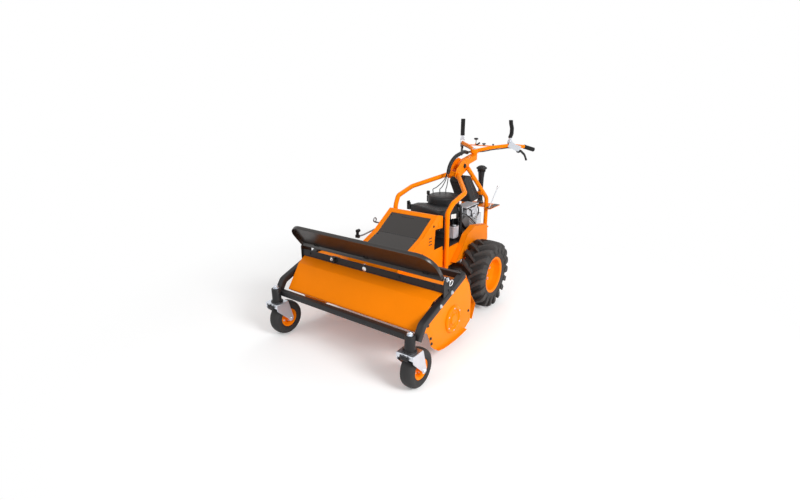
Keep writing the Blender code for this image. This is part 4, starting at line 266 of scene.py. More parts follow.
ORANGE = finish("orange_powder_coat", (0.94, 0.228, 0.002), 0.44, grain=260, bump=0.05, shade=0.05,
                spread=0.05, shine=0.14, sheen_tint=(1.0, 0.62, 0.12))
BLACK = finish("black_powder_coat", (0.014, 0.013, 0.014), 0.46, grain=420, bump=0.10, shine=0.30)
GLOSS = finish("gloss_black_coat", (0.020, 0.0155, 0.0135), 0.30, grain=90, bump=0.03, spread=0.05,
               shine=0.45)
ZINC = finish("zinc_plate", (0.66, 0.69, 0.74), 0.36, 1.0, grain=300, bump=0.06, patch=30,
              shade=0.10, spread=0.10)
BRIGHT = finish("bright_steel", (0.74, 0.74, 0.75), 0.24, 1.0, grain=500, bump=0.05, patch=40)
STEEL = finish("forged_steel", (0.26, 0.26, 0.27), 0.48, 1.0, grain=260, bump=0.25, patch=18,
               shade=0.25)
CAST = finish("cast_aluminium", (0.66, 0.67, 0.68), 0.50, 0.6, grain=520, bump=0.30, patch=25,
              shade=0.12)
PALE_CAST = finish("pale_die_casting", (0.60, 0.61, 0.64), 0.42, 0.35, grain=420, bump=0.22, patch=40,
                   shade=0.14)
IRON = finish("cast_iron", (0.13, 0.13, 0.135), 0.62, 0.8, grain=380, bump=0.40, patch=20, shade=0.2)
TYRE = finish("tyre_rubber", (0.026, 0.025, 0.025), 0.72, grain=620, bump=0.22, patch=12,
              shade=0.25, shine=0.35)
FIELD_TYRE = finish("dusty_tyre_rubber", (0.052, 0.048, 0.046), 0.80, grain=520, bump=0.28, patch=10,
                    shade=0.35, shine=0.30)
GRIP = finish("grip_rubber", (0.012, 0.012, 0.0125), 0.80, grain=900, bump=0.30, shine=0.30)
PLASTIC = finish("grained_plastic", (0.012, 0.012, 0.013), 0.50, grain=1500, bump=0.22, patch=8,
                 shine=0.30)
SHINY = finish("shiny_black_plastic", (0.009, 0.009, 0.010), 0.26, grain=400, bump=0.03, shine=0.40)
BELT = finish("belt_rubber", (0.014, 0.014, 0.014), 0.85, grain=500, bump=0.30, shine=0.3)
GREY = finish("grey_shield", (0.085, 0.086, 0.088), 0.55, 0.2, grain=300, bump=0.10)
PLATE = finish("plain_label_plate", (0.80, 0.80, 0.78), 0.35, grain=200, bump=0.02, shade=0.03)
print("finishes", len(bpy.data.materials))

# %% [markdown]
# A few shape helpers do most of the work: an outline pushed through its thickness, a profile spun
# about a line, and a section carried along a path. They build straight into one bmesh each, so
# that a whole piece is joined in memory and becomes an object once, with one bevel over it all.

# %% Plates, blocks and lofts
def plate(outline, axis, low, high):
    """Push a flat outline through a thickness. The outline gives the other two coordinates."""
    place = {"X": lambda a, b, t: (t, a, b), "Y": lambda a, b, t: (a, t, b),
             "Z": lambda a, b, t: (a, b, t)}[axis]
    bm = bmesh.new()
    low_ring = [bm.verts.new(place(a, b, low)) for a, b in outline]
    high_ring = [bm.verts.new(place(a, b, high)) for a, b in outline]
    bm.faces.new(low_ring[::-1])
    bm.faces.new(high_ring)
    count = len(outline)
    for k in range(count):
        n = (k + 1) % count
        bm.faces.new((low_ring[k], low_ring[n], high_ring[n], high_ring[k]))
    bmesh.ops.recalc_face_normals(bm, faces=bm.faces)
    return bm


def block(low, high):
    corners = [(low[0], low[1]), (high[0], low[1]), (high[0], high[1]), (low[0], high[1])]
    return plate(corners, "Z", low[2], high[2])


def loft(rows, first=True, last=True):
    """Skin rings of points that have the same count, and close the first and the last ring."""
    bm = bmesh.new()
    rings = [[bm.verts.new(point) for point in row] for row in rows]
    count = len(rings[0])
    for a, b in zip(rings, rings[1:]):
        for k in range(count):
            n = (k + 1) % count
            bm.faces.new((a[k], a[n], b[n], b[k]))
    if first:
        bm.faces.new(rings[0][::-1])
    if last:
        bm.faces.new(rings[-1])
    bmesh.ops.recalc_face_normals(bm, faces=bm.faces)
    return bm


def side_plate(outline, side, near, far):
    """A plate across X on one side of the machine, between two distances from its middle."""
    return plate(outline, "X", *sorted((side * near, side * far)))


def both_sides(half):
    """A profile and its mirror image. A point on the middle isn't doubled."""
    return half + [(-a, r) for a, r in half[::-1] if a]


print("faces of a block", len(block((0, 0, 0), (1, 1, 1)).faces))

# %% [markdown]
# Tyres, rims, pipes and caps are turned shapes, so each is a profile spun about a line. A Screw
# modifier would do the same, but a profile in a list is easy to mirror. Wide bends are rounded in
# the outline or the path, before the shape is made, and a bevel is kept for the fine edges.

# %% Spun shapes, rounded paths and outlines
def spun(profile, axis="Z", centre=(0, 0, 0), steps=48, ring=False):
    """Spin (along, radius) pairs about an axis through centre."""
    order = {"X": (1, 2, 0), "Y": (2, 0, 1), "Z": (0, 1, 2)}[axis]
    bm = bmesh.new()
    rows = []
    for along, radius in profile:
        row = []
        for k in range(1 if radius == 0 else steps):
            angle = 2 * pi * k / steps
            spot = [0.0, 0.0, 0.0]
            spot[order[0]] = radius * cos(angle)
            spot[order[1]] = radius * sin(angle)
            spot[order[2]] = along
            row.append(bm.verts.new(Vector(spot) + Vector(centre)))
        rows.append(row)
    pairs = list(zip(rows, rows[1:]))
    if ring:
        pairs.append((rows[-1], rows[0]))
    for a, b in pairs:
        for k in range(steps):
            corners = []
            for row, index in ((a, k), (a, k + 1), (b, k + 1), (b, k)):
                vert = row[index % len(row)]
                if vert not in corners:
                    corners.append(vert)
            if len(corners) > 2:
                bm.faces.new(corners)
    if not ring:
        for row in (rows[0], rows[-1]):
            if len(row) > 1:
                bm.faces.new(row)
    bmesh.ops.recalc_face_normals(bm, faces=bm.faces)
    return bm


def round_path(points, radius, steps):
    """Round the corners of a path in space with smooth bends."""
    points = [Vector(p) for p in points]
    path = [points[0]]
    for before, corner, after in zip(points, points[1:], points[2:]):
        back = (before - corner).normalized()
        on = (after - corner).normalized()
        half = back.angle(on) / 2
        reach = min(radius / tan(max(half, 0.05)), 0.45 * (before - corner).length,
                    0.45 * (after - corner).length)
        start = corner + back * reach
        end = corner + on * reach
        for k in range(steps + 1):
            t = k / steps
            path.append(start.lerp(corner, t).lerp(corner.lerp(end, t), t))
    path.append(points[-1])
    return path


def round_outline(points, radius, steps=5):
    """Round the corners of a flat closed outline. radius is one value, or one for each corner."""
    count = len(points)
    radii = radius if isinstance(radius, (list, tuple)) else [radius] * count
    rounded = []
    for k in range(count):
        if radii[k] <= 0:
            rounded.append(tuple(points[k]))
            continue
        before = Vector(points[k - 1]) - Vector(points[k])
        after = Vector(points[(k + 1) % count]) - Vector(points[k])
        half = before.angle(after) / 2
        reach = min(radii[k] / tan(max(half, 0.05)), 0.45 * before.length, 0.45 * after.length)
        corner = Vector(points[k])
        start = corner + before.normalized() * reach
        end = corner + after.normalized() * reach
        for n in range(steps + 1):
            t = n / steps
            rounded.append(tuple(start.lerp(corner, t).lerp(corner.lerp(end, t), t)))
    return rounded


def box_outline(low, high, radius):
    return round_outline([(low[0], low[1]), (high[0], low[1]), (high[0], high[1]), (low[0], high[1])],
                         radius)


print("corners of a rounded box", len(box_outline((0, 0), (1, 1), 0.1)))

# %% [markdown]
# Tubes, cables and folded sheet are a flat section carried along a path. A curve with a bevel could
# make the tubes, but it would have to become a mesh before it is joined to other shapes. Unless a
# path is given an up side, each section is turned on from the last one, so that nothing twists.

# %% Carried sections and bent sheet
TUBE_BEND = 0.060


def carried(points, section, up=None):
    """Carry a flat section, in (side, up) pairs, along a path. Without up, nothing twists."""
    points = [Vector(p) for p in points]
    last = len(points) - 1
    ways = [(points[min(k + 1, last)] - points[max(k - 1, 0)]).normalized() for k in range(last + 1)]
    side = ways[0].orthogonal().normalized() if up is None else ways[0].cross(Vector(up)).normalized()
    rows = []
    for k, point in enumerate(points):
        if up is not None:
            side = ways[k].cross(Vector(up)).normalized()
        elif k:
            side = ways[k - 1].rotation_difference(ways[k]) @ side
        over = side.cross(ways[k])
        rows.append([point + side * a + over * b for a, b in section])
    return loft(rows)


def circle(radius, sides):
    return [(radius * cos(2 * pi * k / sides), radius * sin(2 * pi * k / sides)) for k in range(sides)]


def tube(points, radius, sides):
    return carried(round_path(points, TUBE_BEND, 8), circle(radius, sides))


def shift_path(path, distance):
    """Shift a flat path sideways, with mitred corners."""
    shifted = []
    for k, point in enumerate(path):
        normals = []
        for a, b in ((k - 1, k), (k, k + 1)):
            if a >= 0 and b < len(path):
                run = Vector(path[b]) - Vector(path[a])
                normals.append(Vector((-run.y, run.x)).normalized())
        middle = sum(normals, Vector((0, 0))) / len(normals)
        shifted.append(tuple(Vector(point) + middle * distance / middle.length_squared))
    return shifted


def strip(path, thickness):
    """Outline of a bent sheet seen on edge."""
    return shift_path(path, thickness / 2) + shift_path(path, -thickness / 2)[::-1]


def bend_flat(path, radius, steps=4):
    """Round the bends of a flat path, as a press brake does."""
    return [(p.x, p.y) for p in round_path([(a, b, 0.0) for a, b in path], radius, steps)]


print("faces of a straight tube", len(tube([(0, 0, 0), (0, 0, 1)], 0.01, 20).faces))

# %% [markdown]
# Small bolts, pins and screws repeat all over the machine. Each is built standing on +Z, then aimed
# and moved to its place. Instances of one mesh would be lighter, but bolts that are joined into one
# piece need one name and one body between them.

# %% Rods, bolts, screws and joined shapes
def aim(bm, towards, at):
    """Turn a shape built along +Z to point another way, and move it to its place."""
    turn = Vector((0, 0, 1)).rotation_difference(Vector(towards)).to_matrix()
    bmesh.ops.rotate(bm, verts=bm.verts, cent=(0, 0, 0), matrix=turn)
    bmesh.ops.translate(bm, verts=bm.verts, vec=Vector(at))
    return bm


def rod(a, b, radius, sides=16):
    run = Vector(b) - Vector(a)
    return aim(spun([(0, 0), (0, radius), (run.length, radius), (run.length, 0)], steps=sides), run, a)


def hex_bolt(at, towards, size, height, washer=True):
    """A hexagon head on its washer. size is the head's radius over its corners."""
    head = spun([(0.0, 0.0), (0.0, size * 0.98), (height * 0.75, size), (height, size * 0.86),
                 (height * 0.92, size * 0.5), (height * 0.92, 0.0)], steps=6)
    bm = head
    if washer:
        under = spun([(0.0, 0.0), (0.0, size * 1.35), (0.0012, size * 1.35), (0.0014, size), (0.0014, 0)],
                     steps=20)
        bmesh.ops.translate(head, verts=head.verts, vec=(0, 0, 0.0013))
        bm = together(head, under)
    return aim(bm, towards, at)


def round_screw(at, towards, radius, height):
    """A domed screw head with a round socket."""
    dome = spun([(0, 0), (0, radius), (height * 0.4, radius), (height * 0.85, radius * 0.72),
                 (height, radius * 0.45), (height * 0.5, radius * 0.42), (height * 0.5, 0)], steps=18)
    return aim(dome, towards, at)


def together(*shapes):
    """Join shapes into one."""
    bm = bmesh.new()
    for shape in shapes:
        mesh = bpy.data.meshes.new("part")
        shape.to_mesh(mesh)
        shape.free()
        bm.from_mesh(mesh)
        bpy.data.meshes.remove(mesh)
    return bm


def mirror(bm):
    other = bm.copy()
    for vert in other.verts:
        vert.co.x = -vert.co.x
    bmesh.ops.reverse_faces(other, faces=other.faces)
    return other


def moved(bm, by):
    bmesh.ops.translate(bm, verts=bm.verts, vec=Vector(by))
    return bm


def in_a_circle(make, count, y, start=0.0):
    """Copies of a shape in a circle about an upright axis at y."""
    shapes = []
    for k in range(count):
        turn = Matrix.Rotation(2 * pi * (k + start) / count, 3, "Z")
        shape = make()
        bmesh.ops.rotate(shape, verts=shape.verts, cent=(0, 0, 0), matrix=turn)
        shapes.append(moved(shape, (0, y, 0)))
    return shapes


print("faces of a bolt on its washer", len(hex_bolt((0, 0, 0), (0, 0, 1), 0.008, 0.005).faces))

# %% [markdown]
# A piece is one object. Its shapes are joined, get a finish and a bevel, and ride on a body of the
# frame, so that they move with its joints. A hole is cut with a Boolean that is applied at once,
# before the bevel, so that the bevel rounds the edge of the hole too.

# %% Pieces that ride, and holes in them
def piece(name, shapes, material, body, nodes=(), bevel=0.0, sharp=38.0, segments=2):
    """Make one object of shapes drawn from the drive axle, and let it ride on its body.

    A cable that crosses a joint is given both bodies and the two points between which it would bend, but it
    rides on neither and stays where it is drawn."""
    shapes = shapes if isinstance(shapes, (list, tuple)) else [shapes]
    bm = together(*shapes)
    bmesh.ops.translate(bm, verts=bm.verts, vec=(0, AXLE_Y, 0))
    mesh = bpy.data.meshes.new(name)
    bm.to_mesh(mesh)
    bm.free()
    mesh.materials.append(material)
    mesh.shade_smooth()
    mesh.set_sharp_from_angle(angle=radians(sharp))
    thing = bpy.data.objects.new(name, mesh)
    bpy.context.scene.collection.objects.link(thing)
    if bevel:
        edge = thing.modifiers.new("edge", "BEVEL")
        edge.width = bevel
        edge.segments = segments
        edge.limit_method = "ANGLE"
        edge.angle_limit = radians(sharp)
        edge.harden_normals = False
    if isinstance(body, str):
        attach(thing, body)
    else:
        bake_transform(thing)
    if nodes:
        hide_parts(*nodes)
    return thing


def hollowed(thing, cutter):
    """Cut one shape out of a piece for good, with the exact solver."""
    mesh = bpy.data.meshes.new("cutter")
    bmesh.ops.translate(cutter, verts=cutter.verts, vec=(0, AXLE_Y, 0))
    cutter.to_mesh(mesh)
    cutter.free()
    tool = bpy.data.objects.new("cutter", mesh)
    bpy.context.scene.collection.objects.link(tool)
    step = thing.modifiers.new("cut", "BOOLEAN")
    step.operation = "DIFFERENCE"
    step.object = tool
    thing.modifiers.move(len(thing.modifiers) - 1, 0)
    view = bpy.context.evaluated_depsgraph_get()
    bevels = [m for m in thing.modifiers if m.type == "BEVEL"]
    for m in bevels:
        m.show_viewport = False
    view.update()
    done = bpy.data.meshes.new_from_object(thing.evaluated_get(view))
    thing.modifiers.remove(step)
    thing.data = done
    for m in bevels:
        m.show_viewport = True
    bpy.data.objects.remove(tool, do_unlink=True)
    bpy.data.meshes.remove(mesh)
    return thing


SIDES = ((1, "left"), (-1, "right"))
print("helpers ready")

# %% [markdown]
# The drive tyres carry the tread of a small tractor: eighteen slanted bars from each shoulder that
# meet in a chevron. One bar is lofted through a few stations that lean forward as they go out, and
# is copied round the tyre. Sculpting the tread into one mesh would look no better and would be
# much harder to change, so the bars simply sink into a carcass that is spun from its section. Walls
# and bars are dusty. The carcass between the bars gets a darker rubber, which is painted shade in
# the gaps between the bars.

# %% Drive tyres
TRACK = 0.714
AXLE_Z = 0.254
BARS = 18
WALL_FROM = 0.082
BAR_STATIONS = [
    (-0.010, -0.03, 0.024, 0.2190, 0.2538), (0.014, 0.04, 0.027, 0.2190, 0.2538),
    (0.034, 0.11, 0.031, 0.2180, 0.2536), (0.056, 0.18, 0.035, 0.2150, 0.2530),
    (0.078, 0.235, 0.038, 0.2070, 0.2500), (0.0935, 0.262, 0.039, 0.1980, 0.2420),
    (0.0995, 0.275, 0.036, 0.1840, 0.2240), (0.0990, 0.281, 0.028, 0.1740, 0.1980),
]
CARCASS = [
    (0.0700, 0.1253), (0.0790, 0.1300), (0.0830, 0.1400), (0.0885, 0.1470), (0.0930, 0.1560),
    (0.0955, 0.1620), (0.0925, 0.1640), (0.0940, 0.1740), (0.0930, 0.1860), (0.0905, 0.1970),
    (0.0865, 0.2070), (0.0800, 0.2150), (0.0700, 0.2205), (0.0560, 0.2238), (0.0300, 0.2255),
    (0.0, 0.2260),
]


def tread_bar(side, start):
    rows = []
    for along, lead, width, inner, outer in BAR_STATIONS:
        middle = start + lead
        foot = 0.64 * width / outer
        head = 0.42 * width / outer
        corners = ((inner, -foot), (outer - 0.004, -head * 1.1), (outer, -head * 0.85),
                   (outer, head * 0.85), (outer - 0.004, head * 1.1), (inner, foot))
        rows.append([(side * along, r * sin(middle + a), r * cos(middle + a)) for r, a in corners])
    return loft(rows)


def drive_tyre():
    inner = [(-0.066, 0.1253), (-0.084, 0.18), (-0.060, 0.222), (0.060, 0.222), (0.084, 0.18),
             (0.066, 0.1253)]
    shapes = [spun(both_sides(CARCASS) + inner, "X", steps=90, ring=True)]
    for k in range(2 * BARS):
        angle = 2 * pi * (k + 0.25) / (2 * BARS)
        shapes.append(rod((0.0925, 0.166 * sin(angle), 0.166 * cos(angle)),
                          (0.0915, 0.184 * sin(angle + 0.03), 0.184 * cos(angle + 0.03)), 0.0022, 8))
    return together(*shapes)


def tread():
    """Both rows of bars, set half a pitch apart so that they mesh at the middle of the tread."""
    pitch = 2 * pi / BARS
    return together(*[tread_bar(1, k * pitch) for k in range(BARS)],
                    *[tread_bar(-1, (k + 0.5) * pitch) for k in range(BARS)])


def darken_tread_floor(tyre):
    """Give the carcass between the bars a darker rubber, as painted shade in the gaps between the bars."""
    tyre.data.materials.append(TYRE)
    for face in tyre.data.polygons:
        # Faces near the tyre's middle plane get the darker rubber: painted shade between the bars.
        across = abs(abs(face.center.x) - TRACK / 2)
        if across < WALL_FROM:
            face.material_index = 1


for side, word in SIDES:
    hub = (side * TRACK / 2, 0, AXLE_Z)
    rubber, bars = drive_tyre(), tread()
    if side < 0:
        rubber, bars = mirror(rubber), mirror(bars)
    carcass = piece("tyre_" + word, moved(rubber, hub), FIELD_TYRE, "drive_wheel_" + word,
                    ["drive_tyre_" + word], sharp=32)
    darken_tread_floor(carcass)
    piece("tread_bars_" + word, moved(bars, hub), FIELD_TYRE, "drive_wheel_" + word,
          sharp=32)
print("tread bars", 2 * BARS, "on each tyre")

# %% [markdown]
# The rim is a pressed dish in body colour. A spun section gives its flanges, its drop centre and
# the raised hub face, and five wheel bolts, a valve and a plated hub cap sit on it. The outer
# side faces away from the machine, so the left one is built and mirrored for the right.

# %% Drive rims
RIM_OUTER = [
    (0.0205, 0.0), (0.0205, 0.024), (0.0190, 0.030), (0.0100, 0.036), (0.0095, 0.060),
    (0.0075, 0.066), (0.0075, 0.080), (0.0110, 0.090), (0.0210, 0.1030), (0.0280, 0.1110),
    (0.0360, 0.1160), (0.0700, 0.1180), (0.0765, 0.1200), (0.0815, 0.1260), (0.0838, 0.1350),
    (0.0838, 0.1388), (0.0815, 0.1392), (0.0785, 0.1330), (0.0740, 0.1275), (0.0660, 0.1248),
]
RIM_INNER = [
    (-0.0660, 0.1248), (-0.0740, 0.1275), (-0.0785, 0.1330), (-0.0815, 0.1392), (-0.0838, 0.1388),
    (-0.0838, 0.1350), (-0.0805, 0.1250), (-0.0740, 0.1185), (-0.0100, 0.1165), (0.0020, 0.0950),
    (0.0020, 0.0340), (-0.0560, 0.0320), (-0.0570, 0.0180), (-0.0570, 0.0),
]


def drive_rim():
    return [spun(RIM_OUTER + RIM_INNER, "X", steps=80)]


def rim_bolts():
    shapes = []
    for k in range(5):
        angle = 2 * pi * k / 5 + 0.3
        spot = (0.0076, 0.073 * cos(angle), 0.073 * sin(angle))
        shapes.append(hex_bolt(spot, (1, 0, 0), 0.0115, 0.010))
    shapes.append(aim(spun([(0, 0), (0, 0.019), (0.003, 0.0205), (0.0055, 0.017), (0.0065, 0)],
                           steps=32), (1, 0, 0), (0.0205, 0, 0)))
    return shapes


for side, word in SIDES:
    for name, shapes, paint, nodes, slot in (
        ("rim_", drive_rim(), ORANGE, ["drive_rim_" + word], "orange_paint"),
        ("rim_bolts_", rim_bolts(), ZINC, [], "zinc"),
    ):
        bm = together(*shapes)
        bm = bm if side > 0 else mirror(bm)
        piece(name + word, moved(bm, (side * TRACK / 2, 0, AXLE_Z)), paint,
              "drive_wheel_" + word, nodes, sharp=30)
    stem = rod((0.030, 0.0, 0.112), (0.052, 0.0, 0.096), 0.0035)
    stem = stem if side > 0 else mirror(stem)
    piece("valve_" + word, moved(stem, (side * TRACK / 2, 0, AXLE_Z)), SHINY,
          "drive_wheel_" + word)
print("rims done")

# %% [markdown]
# A caster fork is thick sheet, folded over the wheel and zinc plated, with its stem riveted
# through the top. Its arms are cut from one rounded outline. The small wheel has a solid tyre with
# a crowned tread and a dished orange rim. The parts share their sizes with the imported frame.

# %% Caster forks
CASTER_X = 0.539
PIVOT_Y = -1.263
WHEEL_Y = -1.203
WHEEL_Z = 0.116
FORK_INNER = 0.051
FORK_SHEET = 0.006
FORK_TOP = 0.245
PLATE_FRONT = -1.31396
PLATE_REAR = -1.21596
PIVOT_TOP = 0.345


def caster_fork():
    half = 0.056
    corners = [(-half, PLATE_FRONT), (half, PLATE_FRONT), (half, PLATE_REAR), (-half, PLATE_REAR)]
    shapes = [plate(round_outline(corners, 0.010), "Z", FORK_TOP, FORK_TOP + FORK_SHEET)]
    shapes.append(block((-half + 0.003, PLATE_FRONT + 0.0006, FORK_TOP - 0.022),
                        (half - 0.003, PLATE_FRONT + 0.0046, FORK_TOP + 0.002)))
    arm = [(PLATE_FRONT, FORK_TOP + 0.003), (PLATE_FRONT + 0.004, FORK_TOP - 0.040),
           (WHEEL_Y - 0.021, WHEEL_Z + 0.004), (WHEEL_Y - 0.012, WHEEL_Z - 0.0185),
           (WHEEL_Y + 0.012, WHEEL_Z - 0.0185), (WHEEL_Y + 0.021, WHEEL_Z + 0.004),
           (PLATE_REAR, FORK_TOP + 0.003)]
    radii = [0.0, 0.030, 0.030, 0.014, 0.014, 0.030, 0.0]
    for side in (-1, 1):
        shapes.append(side_plate(round_outline(arm, radii), side, FORK_INNER, FORK_INNER + FORK_SHEET))
    return shapes


def fork_fasteners():
    shapes = [spun([(0.0, 0.0), (0.0, 0.019), (0.002, 0.019), (0.002, 0.0)], "Z",
                   (0, PIVOT_Y, PIVOT_TOP + 0.0003), 28)]
    nut = aim(spun([(0, 0), (0, 0.0160), (0.001, 0.0168), (0.011, 0.0168), (0.0125, 0.015), (0.0125, 0)],
                   steps=6), (0, 0, 1), (0, PIVOT_Y, PIVOT_TOP + 0.0025))
    tip = spun([(0, 0), (0, 0.0095), (0.004, 0.0095), (0.006, 0.008), (0.006, 0)], "Z",
               (0, PIVOT_Y, PIVOT_TOP + 0.0135), 20)
    stem = spun([(0.247, 0.0), (0.247, 0.0098), (0.346, 0.0098), (0.346, 0.0)], "Z",
                (0, PIVOT_Y, 0), 24)
    shapes += [nut, tip, stem]
    for side in (-1, 1):
        shapes.append(hex_bolt((side * (FORK_INNER + FORK_SHEET), WHEEL_Y, WHEEL_Z), (side, 0, 0),
                               0.0105, 0.0055))
    shapes.append(rod((-0.056, WHEEL_Y, WHEEL_Z), (0.056, WHEEL_Y, WHEEL_Z), 0.0063))
    return shapes


for side, word in SIDES:
    body = "caster_swivel_" + word
    piece("fork_" + word, [moved(s, (side * CASTER_X, 0, 0)) for s in caster_fork()], ZINC, body,
          ["caster_fork_" + word], bevel=0.0014)
    piece("fork_fasteners_" + word,
          [moved(s, (side * CASTER_X, 0, 0)) for s in fork_fasteners()], ZINC, body)
print("forks done")

# %% [markdown]
# Each caster wheel has a body of its own, because it rolls while its fork swivels. Tyre and rim are
# half profiles that are mirrored about the wheel's middle, so that both sides are the same.

# %% Caster wheels
CASTER_TYRE = [
    (0.0241, 0.0563), (0.0275, 0.0628), (0.0350, 0.0645), (0.0387, 0.0663), (0.0408, 0.0720),
    (0.0424, 0.0790), (0.0414, 0.0800), (0.0428, 0.0830), (0.0420, 0.0920), (0.0396, 0.1000),
    (0.0350, 0.1065), (0.0285, 0.1110), (0.0200, 0.1138), (0.0100, 0.1153), (0.0, 0.1158),
]
CASTER_RIM = [
    (0.0507, 0.0074), (0.0507, 0.0150), (0.0490, 0.0170), (0.0240, 0.0180), (0.0120, 0.0215),
    (0.0105, 0.0260), (0.0105, 0.0380), (0.0150, 0.0435), (0.0290, 0.0485), (0.0335, 0.0540),
    (0.0352, 0.0612), (0.0335, 0.0618), (0.0300, 0.0600), (0.0275, 0.0558), (0.0240, 0.0558),
]


def caster_bolts():
    shapes = []
    for way in (-1, 1):
        for k in range(5):
            angle = 2 * pi * k / 5
            spot = (way * 0.0105, WHEEL_Y + 0.032 * cos(angle), WHEEL_Z + 0.032 * sin(angle))
            shapes.append(hex_bolt(spot, (way, 0, 0), 0.0052, 0.004))
    return shapes


for side, word in SIDES:
    body = "caster_wheel_" + word
    at = (side * CASTER_X, 0, 0)
    centre = (0, WHEEL_Y, WHEEL_Z)
    tyre = spun(both_sides(CASTER_TYRE), "X", centre, 72, ring=True)
    piece("caster_tyre_skin_" + word, moved(tyre, at), TYRE, body, ["caster_tyre_" + word],
          sharp=50)
    rim = spun(both_sides(CASTER_RIM), "X", centre, 56, ring=True)
    piece("caster_rim_skin_" + word, moved(rim, at), ORANGE, body, ["caster_rim_" + word],
          sharp=40)
    piece("caster_rim_bolts_" + word, [moved(s, at) for s in caster_bolts()], ZINC, body)
print("caster wheels done")

# %% [markdown]
# In front of each fork hangs a black pedal with two upright prongs and a curved shoe, which
# presses on the tyre. It is bent from strip, so it is drawn as a strip seen on edge.

# %% Caster brake pedals
PEDAL_Y = -1.31826
PEDAL_Z = 0.2329


def caster_pedal():
    shoe = bend_flat([(PEDAL_Y, PEDAL_Z + 0.002), (PEDAL_Y - 0.002, PEDAL_Z - 0.014),
                      (PEDAL_Y + 0.026, PEDAL_Z - 0.034)], 0.012)
    shapes = [plate(strip(shoe, 0.004), "X", -0.024, 0.024)]
    for x in (-0.020, 0.010):
        prong = bend_flat([(PEDAL_Y, PEDAL_Z), (PEDAL_Y - 0.008, PEDAL_Z + 0.006),
                           (PEDAL_Y - 0.012, PEDAL_Z + 0.022)], 0.006)
        shapes.append(plate(strip(prong, 0.004), "X", x, x + 0.010))
    shapes.append(rod((-0.030, PEDAL_Y, PEDAL_Z), (0.030, PEDAL_Y, PEDAL_Z), 0.0039))
    return shapes


for side, word in SIDES:
    piece("pedal_" + word, [moved(s, (side * CASTER_X, 0, 0)) for s in caster_pedal()], BLACK,
          "caster_pedal_" + word, ["caster_brake_" + word], bevel=0.0008)
print("pedals done")

# %% [markdown]
# The black frame is square tube with rounded corners. Carrying a rounded square along each path
# keeps the corner radius through the bends, which a bevelled box can't. The caster pivots are
# turned, with a flange below, and ripples of weld run round every joint.

# %% Front frame
TUBE_SIZE = 0.040
FRONT_TUBE = (-1.223, 0.305, 0.034)
ARM_BEND = (-1.178, 0.372)
ARM_END = (-0.745, 0.526)
ARM_X_FRONT = 0.560
ARM_X_REAR = 0.564


def rounded_square(width, height, radius=0.005, steps=3):
    half = width / 2
    tall = height / 2
    return round_outline([(-half, -tall), (half, -tall), (half, tall), (-half, tall)], radius, steps)


def arm_height(y):
    start = FRONT_TUBE[:2]
    for a, b in ((start, ARM_BEND), (ARM_BEND, ARM_END)):
        if y <= b[0]:
            return a[1] + (b[1] - a[1]) * (y - a[0]) / (b[0] - a[0])
    return ARM_END[1]


def arm_x(y):
    share = (y - FRONT_TUBE[0]) / (ARM_END[0] - FRONT_TUBE[0])
    return ARM_X_FRONT + (ARM_X_REAR - ARM_X_FRONT) * share


def weld_ring(points, radius=0.0022, closed=True):
    """A rippled bead along a line of points."""
    points = [Vector(p) for p in points]
    if closed:
        points = points + points[:1]
    fine = []
    for a, b in zip(points, points[1:]):
        count = max(2, int((b - a).length / 0.0030))
        fine += [a.lerp(b, k / count) for k in range(count)]
    fine.append(points[-1])
    last = len(fine) - 1
    rows = []
    for k, p in enumerate(fine):
        way = (fine[min(k + 1, last)] - fine[max(k - 1, 0)]).normalized()
        side = way.orthogonal().normalized()
        over = side.cross(way)
        size = radius * (1.0 if k % 2 else 0.78)
        rows.append([p + side * a + over * b for a, b in circle(size, 6)])
    return loft(rows, first=False, last=False)


def ring_points(centre, radius):
    """Points of a level circle."""
    return [Vector(centre) + Vector((a, b, 0)) for a, b in circle(radius, 24)]


def front_frame():
    y, z, tall = FRONT_TUBE
    section = rounded_square(TUBE_SIZE, tall)
    shapes = [carried([(-CASTER_X, y, z), (0, y, z), (CASTER_X, y, z)], section, up=(0, 0, 1))]
    square = rounded_square(TUBE_SIZE, TUBE_SIZE)
    for side in (-1, 1):
        path = [(side * arm_x(a), a, b) for a, b in
                [(y - 0.004, z - 0.006), ARM_BEND, ARM_END]]
        shapes.append(carried(round_path(path, 0.050, 8), square, up=(0, 0, 1)))
        pivot = [(0.2513, 0.0), (0.2513, 0.040), (0.2563, 0.040), (0.2583, 0.038), (0.2600, 0.0310),
                 (0.2640, 0.0300), (0.3425, 0.0300), (0.345, 0.0278), (0.345, 0.0)]
        shapes.append(spun(pivot, "Z", (side * CASTER_X, PIVOT_Y, 0), 40))
        shapes.append(weld_ring(ring_points((side * CASTER_X, PIVOT_Y, 0.2600), 0.0312)))
        stub = sorted((side * 0.2065, side * ARM_X_REAR))
        shapes.append(block((stub[0], ARM_END[0] - 0.030, ARM_END[1] - 0.019),
                            (stub[1], ARM_END[0] - 0.004, ARM_END[1] + 0.018)))
        for spot in (-1.02, -0.90):
            shapes.append(rod((side * 0.5184, spot, arm_height(spot)),
                              (side * (arm_x(spot) - 0.015), spot, arm_height(spot)), 0.012, 24))
    return shapes


def frame_fasteners():
    shapes = []
    for side in (-1, 1):
        for spot in (-1.02, -0.90):
            at = (side * (arm_x(spot) + TUBE_SIZE / 2), spot, arm_height(spot))
            shapes.append(hex_bolt(at, (side, 0, 0), 0.0085, 0.006))
    return shapes


def frame_caps():
    shapes = []
    for side in (-1, 1):
        cap = carried([(side * ARM_X_REAR, ARM_END[0] - 0.001, ARM_END[1]),
                       (side * ARM_X_REAR, ARM_END[0] + 0.003, ARM_END[1] + 0.0014)],
                      rounded_square(0.0396, 0.0396), up=(0, 0, 1))
        shapes.append(cap)
    return shapes


piece("front_frame", front_frame(), BLACK, "chassis", ["deck_frame"], bevel=0.0008,
      sharp=50)
piece("front_frame_bolts", frame_fasteners(), ZINC, "chassis")
piece("front_frame_caps", frame_caps(), SHINY, "chassis")
print("front frame done")

